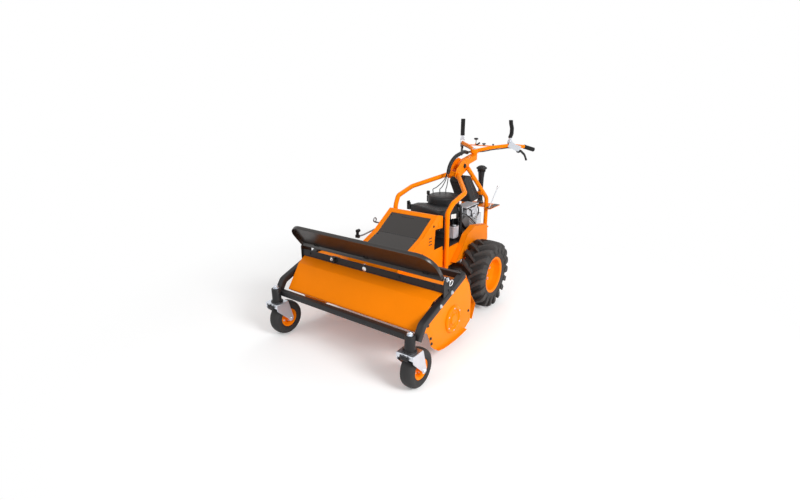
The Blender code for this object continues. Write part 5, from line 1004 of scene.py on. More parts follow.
# %% [markdown]
# The hood is one sheet, folded over the knives. Its half width changes from fold to fold, so the
# sheet is lofted between two edges and not simply pushed through. Real bends are round, so each
# fold is given a radius first, and the half widths are read along the rounded path.

# %% Hood
HOOD_SHEET = 0.003
DECK_HALF = 0.518
HOOD_PATH = [
    (-1.164, 0.306), (-1.180, 0.320), (-1.045, 0.458), (-0.965, 0.490), (-0.935, 0.490),
    (-0.925, 0.490), (-0.640, 0.490), (-0.558, 0.390), (-0.525, 0.300), (-0.452, 0.206),
    (-0.495, 0.112),
]
HOOD_WIDER = (-0.006, -0.006, 0.027, 0.048, 0.048, 0.012, 0.010, 0.0, 0.0, 0.0, 0.0)


def hood():
    path = [Vector((a, b, DECK_HALF + w)) for (a, b), w in zip(HOOD_PATH, HOOD_WIDER)]
    fine = round_path(path, 0.012, 5)
    flat = [(p.x, p.y) for p in fine]
    over = shift_path(flat, HOOD_SHEET / 2)
    under = shift_path(flat, -HOOD_SHEET / 2)
    return loft([[(-p.z, *o), (p.z, *o), (p.z, *u), (-p.z, *u)] for p, o, u in zip(fine, over, under)])


piece("hood_sheet", hood(), ORANGE, "chassis", ["deck_hood"], bevel=0.0009, sharp=45)
print("hood folds", len(HOOD_PATH) - 2)

# %% [markdown]
# Each side plate follows the hood from below and ends in a skid foot that is turned out. The round
# bearing cover is pressed in rings, and the ring of screws holds it. On the right, the belt that
# drives the rotor takes the cover's place under a long pressed case.

# %% Side plates and skids
ROTOR_Y = -0.766
ROTOR_Z = 0.227
PLATE_SHEET = 0.004
SIDE_LOW = [
    (-0.521, 0.116), (-0.596, 0.084), (-0.748, 0.076), (-0.900, 0.086), (-0.965, 0.102),
    (-1.012, 0.145), (-1.033, 0.202), (-1.059, 0.255), (-1.158, 0.300),
]


def side_outline():
    inner = shift_path(HOOD_PATH[1:], -HOOD_SHEET / 2 - 0.0003)[:8]
    low_radii = [0.02, 0.03, 0.2, 0.03, 0.03, 0.03, 0.03, 0.03, 0.006]
    return round_outline(inner + SIDE_LOW, [0.008] * 8 + low_radii)


def skid(side):
    foot = bend_flat([(0.0, 0.014), (0.0, 0.0), (0.020, -0.001)], 0.006)
    section = [(side * (DECK_HALF - 0.002 + a), b) for a, b in strip(foot, 0.0046)]
    route = [(-0.600, 0.086), (-0.660, 0.0795), (-0.748, 0.0765), (-0.840, 0.0800),
             (-0.896, 0.0860), (-0.955, 0.0990)]
    return loft([[(x, y, z + dz) for x, dz in section] for y, z in route])


def plate_bolts(side):
    x = side * DECK_HALF
    spots = [(-1.052, 0.300), (-1.022, 0.205), (-1.010, 0.165), (-0.556, 0.200), (-1.000, 0.430)]
    return [hex_bolt((x, y, z), (side, 0, 0), 0.0075, 0.005) for y, z in spots]


for side, word in SIDES:
    piece("side_sheet_" + word, side_plate(side_outline(), side, DECK_HALF - PLATE_SHEET, DECK_HALF),
          ORANGE, "chassis", ["side_plate_" + word], bevel=0.0008)
    piece("skid_" + word, skid(side), ORANGE, "chassis", bevel=0.0006)
    piece("side_bolts_" + word, plate_bolts(side), BLACK, "chassis")
print("side plates done")

# %% Bearing cover and belt case
COVER = [
    (0.5183, 0.0135), (0.5183, 0.0880), (0.5240, 0.0880), (0.5255, 0.0868), (0.5300, 0.0820),
    (0.5318, 0.0780), (0.5318, 0.0700), (0.5295, 0.0660), (0.5228, 0.0625), (0.5228, 0.0560),
    (0.5275, 0.0530), (0.5275, 0.0470), (0.5228, 0.0440), (0.5228, 0.0360), (0.5290, 0.0330),
    (0.5325, 0.0300), (0.5330, 0.0), (0.5264, 0.0), (0.5264, 0.0135),
]


def cover_screws():
    shapes = []
    for k in range(6):
        angle = 2 * pi * k / 6 + pi / 6
        spot = (0.5318, ROTOR_Y + 0.074 * cos(angle), ROTOR_Z + 0.074 * sin(angle))
        shapes.append(round_screw(spot, (1, 0, 0), 0.0048, 0.003))
    return shapes


CASE_LOW = -0.560
CASE_HIGH = -0.5183
GEARBOX = (-0.440, 0.350)


def round_ends(a, b, radius_a, radius_b):
    """Outline of two discs and the straight edges between them."""
    steps = 24
    run = Vector(b) - Vector(a)
    heading = atan2(run.y, run.x)
    lean = atan2(radius_a - radius_b, sqrt(run.length ** 2 - (radius_a - radius_b) ** 2))
    points = []
    for k in range(steps + 1):
        angle = heading + pi / 2 - lean + (pi + 2 * lean) * k / steps
        points.append((a[0] + radius_a * cos(angle), a[1] + radius_a * sin(angle)))
    for k in range(steps + 1):
        angle = heading - pi / 2 + lean + (pi - 2 * lean) * k / steps
        points.append((b[0] + radius_b * cos(angle), b[1] + radius_b * sin(angle)))
    return points


def belt_case():
    """A pressed case: flange, wall, and a face with a raised field, as rings of one loft."""
    steps = [(CASE_HIGH, 0.0), (CASE_HIGH - 0.003, 0.0), (CASE_HIGH - 0.004, -0.002),
             (CASE_LOW + 0.006, -0.003), (CASE_LOW + 0.002, -0.006), (CASE_LOW + 0.002, -0.020),
             (CASE_LOW, -0.024), (CASE_LOW, -0.040)]
    rows = []
    for x, inset in steps:
        ring = round_ends((ROTOR_Y, ROTOR_Z), GEARBOX, 0.0818 + inset, 0.0668 + inset)
        rows.append([(x, y, z) for y, z in ring])
    return loft(rows, first=False)


piece("bearing_cover_left", spun(COVER, "X", (0, ROTOR_Y, ROTOR_Z), 64, ring=True), ORANGE,
      "chassis", ["rotor_bearing_left"], sharp=40)
piece("bearing_cover_screws", cover_screws(), ZINC, "chassis")
case = piece("belt_case", belt_case(), ORANGE, "chassis", ["rotor_belt_cover"],
             sharp=40)
wall = case.modifiers.new("wall", "SOLIDIFY")
wall.thickness = 0.0022
wall.offset = -1
piece("belt_case_bolts", [hex_bolt((CASE_LOW, ROTOR_Y, ROTOR_Z), (-1, 0, 0), 0.009, 0.005),
                          hex_bolt((CASE_LOW, *GEARBOX), (-1, 0, 0), 0.009, 0.005)], ZINC,
      "chassis")
print("covers done")

# %% [markdown]
# A black flat bar ties the two arms together behind the front edge and carries the hinge rod of
# the flap between two brackets. The rod is plated bright; a ring keeps it from sliding out.

# %% Crossbar and hinge rod
HINGE_Y = -0.953
HINGE_Z = 0.566
BAR_Y = -0.977
BAR_LOW = 0.4892
BAR_HIGH = 0.5375
BRACKET_X = 0.5735
BRACKET_SHEET = 0.006


def bracket_outline():
    half = TUBE_SIZE / 2 / cos(atan2(ARM_END[1] - ARM_BEND[1], ARM_END[0] - ARM_BEND[0]))
    front = BAR_Y - 0.010
    rear = HINGE_Y + 0.060
    corners = [
        (front, arm_height(front) + half + 0.0003), (rear, arm_height(rear) + half + 0.0003),
        (rear, arm_height(rear) + half + 0.030), (HINGE_Y + 0.020, HINGE_Z + 0.012),
        (HINGE_Y - 0.012, HINGE_Z + 0.018), (front, HINGE_Z - 0.010),
    ]
    return round_outline(corners, [0.003, 0.010, 0.012, 0.020, 0.016, 0.012])


def crossbar():
    outer = BRACKET_X + BRACKET_SHEET
    shapes = [block((-outer + 0.001, BAR_Y, BAR_LOW), (outer - 0.001, BAR_Y + 0.005, BAR_HIGH))]
    for side in (-1, 1):
        shapes.append(side_plate(bracket_outline(), side, BRACKET_X, outer))
        shapes.append(weld_ring([(side * (BRACKET_X - 0.001), BAR_Y - 0.001, z)
                                 for z in (BAR_LOW + 0.001, BAR_HIGH - 0.001)],
                                closed=False))
    return shapes


def crossbar_bolts():
    shapes = []
    for x in (-0.500, 0.500, -0.250, 0.260):
        shapes.append(hex_bolt((x, BAR_Y, 0.516), (0, -1, 0), 0.008, 0.005))
    for side in (-1, 1):
        for y in (-0.935, -0.905):
            at = (side * (BRACKET_X + BRACKET_SHEET), y, arm_height(y) + 0.036)
            shapes.append(hex_bolt(at, (side, 0, 0), 0.007, 0.004))
    return shapes


def stay_clamp():
    """The small clamp with its spring at the machine's right, and the bolt in the middle."""
    shapes = [block((-0.298, BAR_Y - 0.0120, 0.498), (-0.256, BAR_Y - 0.0002, 0.5370)),
              rod((-0.262, BAR_Y - 0.0125, 0.496), (-0.262, BAR_Y - 0.0125, 0.5375), 0.0050, 18),
              block((-0.300, BAR_Y + 0.0055, 0.494), (-0.252, BAR_Y + 0.022, 0.5335)),
              rod((-0.276, BAR_Y + 0.0135, 0.490), (-0.276, BAR_Y + 0.0135, 0.5352), 0.0075, 20)]
    coil = []
    for k in range(91):
        angle = 2 * pi * k / 12
        coil.append((-0.240 + 0.007 * cos(angle), BAR_Y + 0.014 + 0.007 * sin(angle), 0.500 + 0.0004 * k))
    shapes.append(carried(coil, circle(0.0012, 6)))
    return shapes


def middle_bolt():
    return [rod((-0.020, BAR_Y + 0.012, 0.500), (-0.020, BAR_Y + 0.012, 0.5352), 0.006, 18),
            aim(spun([(0, 0), (0, 0.0155), (0.0012, 0.0160), (0.0024, 0.0150), (0.0034, 0.009),
                      (0.0036, 0)], steps=32), (0, -1, 0), (-0.012, BAR_Y - 0.0002, 0.508)),
            hex_bolt((-0.020, BAR_Y + 0.012, 0.5275), (0, 0, 1), 0.009, 0.006),
            hex_bolt((-0.284, BAR_Y - 0.0120, 0.522), (0, -1, 0), 0.0085, 0.006)]


def hinge_rod():
    inner = BRACKET_X - 0.0003
    outer = BRACKET_X + BRACKET_SHEET + 0.0003
    profile = []
    for side in (-1, 1):
        end = [(side * (outer + 0.0095), 0.0), (side * (outer + 0.0095), 0.006),
               (side * (outer + 0.0085), 0.007), (side * (outer + 0.003), 0.007),
               (side * (outer + 0.003), 0.0135), (side * (outer + 0.0025), 0.014),
               (side * outer, 0.014), (side * outer, 0.007), (side * inner, 0.007),
               (side * inner, 0.0105), (side * (inner - 0.001), 0.0115)]
        profile += end if side < 0 else end[::-1]
    return spun(profile, "X", (0, HINGE_Y, HINGE_Z), 32)


def pin_ring():
    """A linch pin: a thin pin through the rod's end and the ring that closes over it."""
    x = BRACKET_X + BRACKET_SHEET + 0.0066
    centre = Vector((x + 0.007, HINGE_Y + 0.020, HINGE_Z - 0.022))
    points = []
    for k in range(29):
        angle = 2 * pi * k / 28
        points.append(centre + Vector((0.003 * sin(angle), 0.0175 * cos(angle), 0.0175 * sin(angle))))
    return [carried(points, circle(0.0031, 10)),
            rod((x, HINGE_Y - 0.010, HINGE_Z + 0.010), (x + 0.006, HINGE_Y + 0.009, HINGE_Z - 0.010),
                0.0026, 12)]


piece("crossbar", crossbar(), BLACK, "chassis", ["flap_crossbar"], bevel=0.0009)
piece("crossbar_bolts", crossbar_bolts(), BLACK, "chassis")
piece("stay_clamp", stay_clamp(), BLACK, "chassis", bevel=0.0008)
piece("middle_bolt", middle_bolt(), BRIGHT, "chassis")
piece("hinge_rod", hinge_rod(), ZINC, "chassis", ["flap_hinge_rod"])
piece("linch_pin", pin_ring(), BRIGHT, "chassis")
print("crossbar done")

# %% [markdown]
# The flap is a shallow pan of glossy black sheet with rounded upper corners and a turned rim, held
# by three sleeves on the rod. It is drawn flat, in width and distance from the hinge, and leaned
# forward once at the end; drawing it already leaned would put sines into every point.

# %% Front flap
FLAP_HALF = 0.570
FLAP_TOP = 0.226
FLAP_CORNER = 0.110
FLAP_LOW = 0.016
FLAP_RIM = 0.026
FLAP_SHEET = 0.003
FLAP_LEAN = 37.5


def flap_ring(inset):
    """Outline of the flap, drawn in by a distance."""
    corner_steps = 14
    ring = []
    low = FLAP_LOW + inset
    side = FLAP_HALF - inset
    r = FLAP_CORNER - inset
    ring += [(-side + 0.004, low), (side - 0.004, low), (side, low + 0.004)]
    for k in range(corner_steps + 1):
        angle = pi / 2 * k / corner_steps
        ring.append((FLAP_HALF - FLAP_CORNER + r * cos(angle), FLAP_TOP - FLAP_CORNER + r * sin(angle)))
    for k in range(corner_steps + 1):
        angle = pi / 2 + pi / 2 * k / corner_steps
        ring.append((-FLAP_HALF + FLAP_CORNER + r * cos(angle), FLAP_TOP - FLAP_CORNER + r * sin(angle)))
    ring.append((-side, low + 0.004))
    return ring


def flap_pan():
    """Rings from the middle of the outside, round the rim, to the middle of the inside."""
    steps = [(0.012, 0.0), (0.005, 0.0003), (0.0018, 0.0016), (0.0, 0.0055), (0.0, FLAP_RIM - 0.001),
             (0.0006, FLAP_RIM), (FLAP_SHEET - 0.0006, FLAP_RIM), (FLAP_SHEET, FLAP_RIM - 0.001),
             (FLAP_SHEET, 0.0075), (FLAP_SHEET + 0.0018, 0.0040), (FLAP_SHEET + 0.006, FLAP_SHEET),
             (0.016, FLAP_SHEET)]
    return loft([[(a, b, depth) for a, b in flap_ring(inset)] for inset, depth in steps])


def flap_sleeves():
    shapes = []
    for x in (-0.46, -0.02, 0.42):
        shapes.append(spun([(x, 0.0120), (x, 0.0150), (x + 0.001, 0.0155), (x + 0.039, 0.0155),
                            (x + 0.040, 0.0150), (x + 0.040, 0.0120)], "X", steps=32, ring=True))
        shapes.append(block((x, 0.011, 0.003), (x + 0.040, FLAP_LOW + 0.006, 0.009)))
        shapes.append(weld_ring([(x + 0.002, 0.0145, 0.0085), (x + 0.038, 0.0145, 0.0085)], 0.0018, False))
    return shapes


def lean(shapes):
    swing = Matrix.Rotation(radians(90 + FLAP_LEAN), 3, "X")
    for bm in shapes:
        bmesh.ops.rotate(bm, verts=bm.verts, cent=(0, 0, 0), matrix=swing)
        bmesh.ops.translate(bm, verts=bm.verts, vec=(0, HINGE_Y, HINGE_Z))
    return shapes


def flap_bolts():
    shapes = []
    for x in (-0.440, 0.0, 0.440):
        for dx in (-0.012, 0.012):
            shapes.append(round_screw((x + dx, 0.034, 0.0), (0, 0, -1), 0.0052, 0.003))
            shapes.append(hex_bolt((x + dx, 0.034, FLAP_SHEET), (0, 0, 1), 0.006, 0.0045))
    return shapes


piece("flap_pan", lean([flap_pan()]), GLOSS, "flap", ["front_flap"], sharp=40)
piece("flap_sleeves", lean(flap_sleeves()), GLOSS, "flap", bevel=0.0006)
piece("flap_bolts", lean(flap_bolts()), BLACK, "flap")
print("flap done")

# %% [markdown]
# The belt guard is folded sheet: two sides, a border round its lid and a sill on the hood. The
# sides have a window, three vent slots and a pressed boss. A hole can be cut with a Boolean, or
# left open by drawing the plate as a strip round it. The window's edge isn't parallel to the
# outside, so a Boolean is the shorter way. The slots are shallow, so thin dark plates stand for
# them: painted shade for the dark inside of each vent.

# %% Belt guard
GUARD_INNER = 0.2003
GUARD_OUTER = 0.2053
GUARD_SHEET = 0.005
GUARD_BORDER = 0.038
GUARD_TOP_REAR = (-0.383, 0.762)
GUARD_TOP_FRONT = (-0.447, 0.778)
GUARD_CREASE = (-0.633, 0.656)
GUARD_LOW = (-0.905, 0.545)
DECK_TOP = 0.4918


def guard_outline():
    corners = [GUARD_TOP_REAR, GUARD_TOP_FRONT, GUARD_CREASE, GUARD_LOW, (-0.925, DECK_TOP),
               (-0.636, DECK_TOP), (-0.500, 0.420), (-0.420, 0.372), (-0.371, 0.372)]
    return round_outline(corners, [0.010, 0.006, 0.02, 0.006, 0.002, 0.004, 0.02, 0.01, 0.004])


def guard_window():
    corners = [(-0.490, 0.540), (-0.350, 0.540), (-0.350, 0.672), (-0.478, 0.684)]
    return round_outline(corners, [0.006, 0.0, 0.0, 0.010])


def guard_shell():
    return [side_plate(guard_outline(), side, GUARD_INNER, GUARD_OUTER) for side in (-1, 1)]


def guard_lid():
    shapes = []
    path = [GUARD_TOP_FRONT, GUARD_CREASE, GUARD_LOW]
    bent = bend_flat(shift_path(path, GUARD_SHEET), 0.020, 5)
    for side in (-1, 1):
        shapes.append(side_plate(strip(bent, GUARD_SHEET), side, GUARD_OUTER - GUARD_BORDER,
                                 GUARD_OUTER - 0.0002))
    top = [GUARD_TOP_REAR, GUARD_TOP_FRONT, (GUARD_TOP_FRONT[0] - 0.030, GUARD_TOP_FRONT[1] - 0.0197)]
    shapes.append(plate(strip(bend_flat(shift_path(top, GUARD_SHEET), 0.010, 5), GUARD_SHEET), "X",
                        -GUARD_OUTER + 0.0002, GUARD_OUTER - 0.0002))
    sill = shift_path([GUARD_LOW, (-0.925, DECK_TOP + 0.010)], GUARD_SHEET)
    shapes.append(plate(strip(sill, GUARD_SHEET), "X", -GUARD_OUTER + 0.0002, GUARD_OUTER - 0.0002))
    return shapes


def guard_side_details():
    """Vent slots, bolts and the pressed boss above the window, on both sides."""
    slots = []
    bosses = []
    for side in (-1, 1):
        x = side * GUARD_OUTER
        for k in range(3):
            z = 0.590 + 0.022 * k
            # Each vent slot is a thin black plate, painted shade for the opening.
            slot = box_outline((-0.560, z), (-0.522, z + 0.007), 0.0034)
            slots.append(side_plate(slot, side, GUARD_OUTER - 0.0006, GUARD_OUTER + 0.0006))
        for y, z in ((-0.800, 0.545), (-0.640, 0.545), (-0.500, 0.712)):
            slots.append(hex_bolt((x, y, z), (side, 0, 0), 0.0065, 0.004))
        bosses.append(aim(spun([(-0.0005, 0), (-0.0005, 0.024), (0.002, 0.023), (0.0036, 0.018),
                                (0.0036, 0)], steps=32), (side, 0, 0), (x, -0.424, 0.712)))
    return slots, bosses


SLOTS, BOSSES = guard_side_details()
shell = piece("guard_sides", guard_shell(), ORANGE, "chassis", ["guard_frame"],
              bevel=0.0012)
hollowed(shell, plate(guard_window(), "X", -0.3, 0.3))
piece("guard_lid_border", guard_lid() + BOSSES, ORANGE, "chassis",
      bevel=0.0014)
piece("guard_slots", SLOTS, BLACK, "chassis")
print("guard side corners", len(guard_outline()))

# %% [markdown]
# A gloss black panel lies inside the guard's border, bent at the same crease. Its path is shifted
# from the guard's own corners, so the two stay in step. It has a bead across the fold, a small bar
# near its top and six screws.

# %% Panel in the guard
PANEL_HALF = GUARD_OUTER - GUARD_BORDER - 0.0003


def panel_path():
    start = (GUARD_TOP_FRONT[0] - 0.0315, GUARD_TOP_FRONT[1] - 0.0207)
    path = shift_path([start, GUARD_CREASE, GUARD_LOW], GUARD_SHEET)
    end = Vector(path[-1])
    back = Vector(path[-2])
    span = (end - back).length
    path[-1] = tuple(back + (end - back) * (span - 2 * GUARD_SHEET) / span)
    return path


def panel_screws():
    path = [Vector(p) for p in panel_path()]
    shapes = []
    for a, b, shares in ((path[0], path[1], (0.12,)), (path[1], path[2], (0.10, 0.90))):
        run = (b - a).normalized()
        out = Vector((-run.y, run.x))
        if out.y < 0:
            out = -out
        for t in shares:
            spot = a.lerp(b, t) + out * 0.002
            for x in (-PANEL_HALF + 0.014, PANEL_HALF - 0.014):
                shapes.append(round_screw((x, spot.x, spot.y), (0, out.x, out.y), 0.0055, 0.003))
    return shapes


def panel_seam():
    """The raised bead across the panel at its fold, and a small bar near its top."""
    fold = Vector(panel_path()[1])
    top = Vector(panel_path()[0])
    spot = fold.lerp(top, 0.86)
    return [rod((-PANEL_HALF + 0.004, fold.x - 0.001, fold.y + 0.0005),
                (PANEL_HALF - 0.004, fold.x - 0.001, fold.y + 0.0005), 0.0030, 14),
            rod((-0.060, spot.x, spot.y + 0.0020), (0.040, spot.x, spot.y + 0.0020), 0.0020, 10)]


piece("guard_panel_sheet", plate(strip(bend_flat(panel_path(), 0.016, 5), 0.004), "X",
                                 -PANEL_HALF, PANEL_HALF), GLOSS, "chassis", ["guard_panel"],
      bevel=0.001)
piece("guard_panel_seam", panel_seam(), SHINY, "chassis")
piece("guard_panel_screws", panel_screws(), BLACK, "chassis")
print("panel width", round(2000 * PANEL_HALF), "mm")

# %% [markdown]
# On the right of the guard runs the link rod of the drive lock, from a bracket above the window to
# a hook near the flap, with a round pull ring behind it. It is a bar bent twice, so it is carried
# along its own path.

# %% Link rod, pull ring and hook
def link_rod():
    x = -GUARD_OUTER - 0.012
    path = [(-GUARD_OUTER + 0.001, -0.600, 0.650), (x, -0.602, 0.651), (x, -0.737, 0.640),
            (-0.222, -0.790, 0.640)]
    return [carried(round_path(path, 0.012, 5), circle(0.0058, 14)),
            rod((-GUARD_OUTER + 0.0008, -0.560, 0.686), (-0.2535, -0.560, 0.686), 0.0058, 18)]


def pull_ring():
    centre = Vector((-0.246, -0.571, 0.706))
    points = [centre + Vector((0, 0.0148 * cos(2 * pi * k / 32), 0.0148 * sin(2 * pi * k / 32)))
              for k in range(33)]
    return carried(points, circle(0.0046, 10))


def link_hook():
    path = [(-0.796, 0.634), (-0.790, 0.650), (-0.792, 0.668), (-0.785, 0.6795)]
    return [plate(strip(bend_flat(path, 0.012), 0.0035), "X", -0.234, -0.210),
            rod((-0.222, -0.798, 0.6795), (-0.222, -0.772, 0.6795), 0.0115, 18),
            block((-0.236, -0.800, 0.632), (-0.208, -0.782, 0.652))]


piece("link_rod", link_rod(), STEEL, "chassis", bevel=0.0005)
piece("pull_ring", pull_ring(), STEEL, "chassis")
piece("link_hook", link_hook() + [hex_bolt((-GUARD_OUTER, -0.560, 0.686), (-1, 0, 0), 0.011, 0.004)],
      BLACK, "chassis", bevel=0.0004)
print("link rod done")

# %% [markdown]
# The main frame is bent tube, welded to two head plates. A bent tube keeps its round section, so
# the section is carried along a path with rounded bends. Beads of weld hide the joints, as they do
# on the real frame, and they also save cutting every tube to its neighbour.

# %% Tube frame
TUBE_RADIUS = 0.017
FRONT_TUBE_PATH = [(0.2226, -0.352, 0.372), (0.2226, -0.352, 0.775), (0.235, -0.302, 0.837),
                   (0.232, -0.124, 0.880), (0.042, 0.110, 0.962)]
LEG_PATH = [(0.053, 0.245, 1.000), (0.110, 0.503, 0.719), (0.110, 0.503, 0.470)]
HEAD_X = 0.032
HEAD_SHEET = 0.006
HEAD_BOLT = (0.221, 1.017)


def on_side(points, side):
    return [(side * x, y, z) for x, y, z in points]


def head_outline():
    corners = [(0.070, 0.948), (0.120, 0.925), (0.255, 0.975), (0.300, 1.010), (0.290, 1.060),
               (0.245, 1.075), (0.180, 1.060), (0.100, 1.010)]
    return round_outline(corners, 0.016)


def tube_frame():
    shapes = []
    for side in (-1, 1):
        for path in (FRONT_TUBE_PATH, LEG_PATH):
            shapes.append(tube(on_side(path, side), TUBE_RADIUS, 28))
        shapes.append(side_plate(head_outline(), side, HEAD_X, HEAD_X + HEAD_SHEET))
    shapes.append(block((-HEAD_X - 0.002, 0.092, 0.950), (HEAD_X + 0.002, 0.112, 0.985)))
    return shapes


def frame_welds():
    shapes = []
    for side in (-1, 1):
        x = side * (HEAD_X + HEAD_SHEET)
        shapes.append(weld_ring([(x, 0.078, 0.966), (x, 0.104, 0.982), (x, 0.128, 0.990)], 0.0026, False))
        shapes.append(weld_ring([(x, 0.086, 0.940), (x, 0.116, 0.938), (x, 0.140, 0.944)], 0.0026, False))
        shapes.append(weld_ring([(x + side * 0.001, 0.236, 1.018), (x + side * 0.002, 0.262, 0.986)],
                                0.0026, False))
        shapes.append(weld_ring(ring_points((side * 0.110, 0.503, 0.6405), 0.0178), 0.0024))
    return shapes


def head_bolts():
    shapes = []
    for side in (-1, 1):
        x = side * (HEAD_X + HEAD_SHEET)
        shapes.append(hex_bolt((x, *HEAD_BOLT), (side, 0, 0), 0.0150, 0.0085))
    return shapes


piece("frame_tubes", tube_frame(), ORANGE, "chassis", ["tube_frame"], bevel=0.0012,
      sharp=45)
piece("frame_welds", frame_welds(), ORANGE, "chassis", sharp=60)
piece("head_bolts", head_bolts(), BLACK, "chassis")
print("tube frame done")

# %% [markdown]
# The console plate between the legs carries the intake and the gear lever. The lever's gate is
# drawn as a plate with a slot, from two outlines with the same number of points, joined point by
# point. That makes a clean hole with no Boolean.

# %% Console, straps and gate
CONSOLE_TOP = 0.640
LEVER_X = 0.150


def slotted_plate(outer, inner, low, high):
    bm = bmesh.new()
    rings = [[bm.verts.new((a, b, z)) for a, b in outline]
             for outline, z in ((outer, low), (outer, high), (inner, high), (inner, low))]
    count = len(outer)
    for k in range(4):
        a, b = rings[k], rings[(k + 1) % 4]
        for n in range(count):
            m = (n + 1) % count
            bm.faces.new((a[n], a[m], b[m], b[n]))
    bmesh.ops.recalc_face_normals(bm, faces=bm.faces)
    return bm


def console():
    low = CONSOLE_TOP - 0.005
    shapes = [plate(box_outline((-0.110, 0.499), (0.112, 0.655), [0.0, 0.0, 0.012, 0.012]), "Z", low,
                    CONSOLE_TOP)]
    wing_outer = box_outline((0.1105, 0.450), (0.172, 0.655), [0.006, 0.010, 0.010, 0.006])
    wing_inner = box_outline((0.1437, 0.4657), (0.1563, 0.555), [0.003] * 4)
    shapes.append(slotted_plate(wing_outer, wing_inner, low, CONSOLE_TOP))
    return shapes


def gate_trim():
    outer = box_outline((0.1265, 0.4535), (0.1715, 0.640), [0.008] * 4)
    inner = box_outline((0.1437, 0.4657), (0.1563, 0.555), [0.003] * 4)
    return slotted_plate(outer, inner, CONSOLE_TOP + 0.0002, CONSOLE_TOP + 0.0042)


def tank_side():
    top = Vector(LEG_PATH[0][1:])
    run = Vector(LEG_PATH[1][1:]) - top
    away = Vector((run.y, -run.x)).normalized() * (TUBE_RADIUS + 0.008)
    upper = top + run * 0.17 + away
    lower = top + run * 0.93 + away
    return [(0.170, 0.895), (0.195, upper.y + 0.010), tuple(upper), tuple(lower),
            (0.300, lower.y - 0.015)]


def straps():
    upper, lower = [Vector(p) for p in shift_path(tank_side()[2:4], 0.010 / 2 + 0.0003)]
    shapes = []
    for near, far in ((0.10, 0.22), (0.74, 0.86)):
        ends = [tuple(upper.lerp(lower, t)) for t in (near, far)]
        reach = LEG_PATH[0][0] + (LEG_PATH[1][0] - LEG_PATH[0][0]) * (0.17 + 0.76 * near)
        shapes.append(plate(strip(ends, 0.010), "X", -reach, reach))
    return shapes


piece("console_plate", console() + straps(), ORANGE, "chassis", bevel=0.0008)
piece("gear_gate", gate_trim(), PLASTIC, "chassis", bevel=0.0004)
print("console done")

# %% [markdown]
# The tank lies along the legs of the frame, and its cap stands on the sloping face. One side outline
# is pushed across, and a wide bevel of five segments rounds it. Subdivision would round it too, but
# it would also curve the flat sides.

# %% Tank and its cap
def tank_bead():
    """The bead that runs down the tank's left side. Its grey is a painted highlight along the moulded seam.
    """
    points = tank_side()
    upper = Vector(points[2]).lerp(Vector(points[0]), 0.40)
    lower = Vector(points[3]).lerp(Vector(points[4]), 0.55)
    return [carried([(0.0724, *upper.lerp(lower, t)) for t in (0.08, 0.5, 0.92)], circle(0.0021, 10))]


def tank_seam():
    wide = round_outline(tank_side(), 0.014, 5)
    middle = sum((Vector(p) for p in wide), Vector((0, 0))) / len(wide)
    grown = [tuple(middle + (Vector(p) - middle) * (1 + 0.0009 / (Vector(p) - middle).length))
             for p in wide]
    return plate(grown, "X", -0.0018, 0.0018)


def tank_cap():
    upper, lower = [Vector((0, *p)) for p in tank_side()[2:4]]
    run = (lower - upper).normalized()
    away = Vector((0, -run.z, run.y))
    centre = (upper + lower) / 2 + away * 0.0003
    knurl = []
    for k in range(72):
        reach = 0.0258 if k % 4 in (0, 1) else 0.0245
        knurl.append((reach * cos(2 * pi * k / 72), reach * sin(2 * pi * k / 72)))
    grip = plate(knurl, "Z", 0.0025, 0.0135)
    foot = spun([(0, 0), (0, 0.0235), (0.0028, 0.0250), (0.0028, 0)], steps=48)
    top = spun([(0.0130, 0), (0.0130, 0.0240), (0.0150, 0.0225), (0.0158, 0.0190), (0.0158, 0.010),
                (0.0150, 0.009), (0.0150, 0)], steps=48)
    return [aim(shape, away, centre) for shape in (grip, foot, top)]


piece("fuel_tank_shell", plate(tank_side(), "X", -0.072, 0.072), PLASTIC, "chassis",
      ["fuel_tank"], bevel=0.013, segments=5)
# The grey bead is a painted highlight along the tank's moulded seam.
piece("fuel_tank_bead", tank_bead(), GREY, "chassis")
piece("fuel_tank_seam", tank_seam(), PLASTIC, "chassis", bevel=0.0005)
piece("tank_cap_skin", tank_cap(), SHINY, "tank_cap", ["fuel_cap"], bevel=0.0004)
print("tank done")

# %% [markdown]
# The air intake is a black pipe with a rain cap. Both profiles are spun. Eight rays run over the
# cap, thin fins stand in a circle under it, where the air goes in, and a steel band with a screw
# clamps the pipe near its foot.

# %% Air intake and gear lever
INTAKE_Y = 0.606


def intake_pipe():
    base = CONSOLE_TOP + 0.0003
    profile = [(base, 0.0), (base, 0.0285), (base + 0.002, 0.029), (base + 0.011, 0.0288),
               (base + 0.016, 0.0255), (base + 0.020, 0.0232)]
    profile += [(base + 0.060, 0.0200), (0.780, 0.0205), (0.860, 0.0232), (0.900, 0.0268),
                (0.918, 0.0290), (0.926, 0.0290), (0.926, 0.0)]
    return spun(profile, "Z", (0, INTAKE_Y, 0), 40)


def intake_cap():
    shapes = [spun([(0.9280, 0.0), (0.9280, 0.0290), (0.9380, 0.0350), (0.9440, 0.0440),
                    (0.9460, 0.0458), (0.9520, 0.0460), (0.9560, 0.0440), (0.9620, 0.0330),
                    (0.9680, 0.0200), (0.9720, 0.0150), (0.9735, 0.0090), (0.9738, 0.0)], "Z",
                   (0, INTAKE_Y, 0), 48)]
    ray = [(0.010, 0.9700), (0.030, 0.9600), (0.044, 0.9500), (0.044, 0.9540), (0.030, 0.9660),
           (0.012, 0.9733)]
    shapes += in_a_circle(lambda: plate(ray, "Y", -0.0016, 0.0016), 8, INTAKE_Y)
    shapes += in_a_circle(lambda: block((0.018, -0.0011, 0.920), (0.0350, 0.0011, 0.942)), 24, INTAKE_Y)
    return shapes


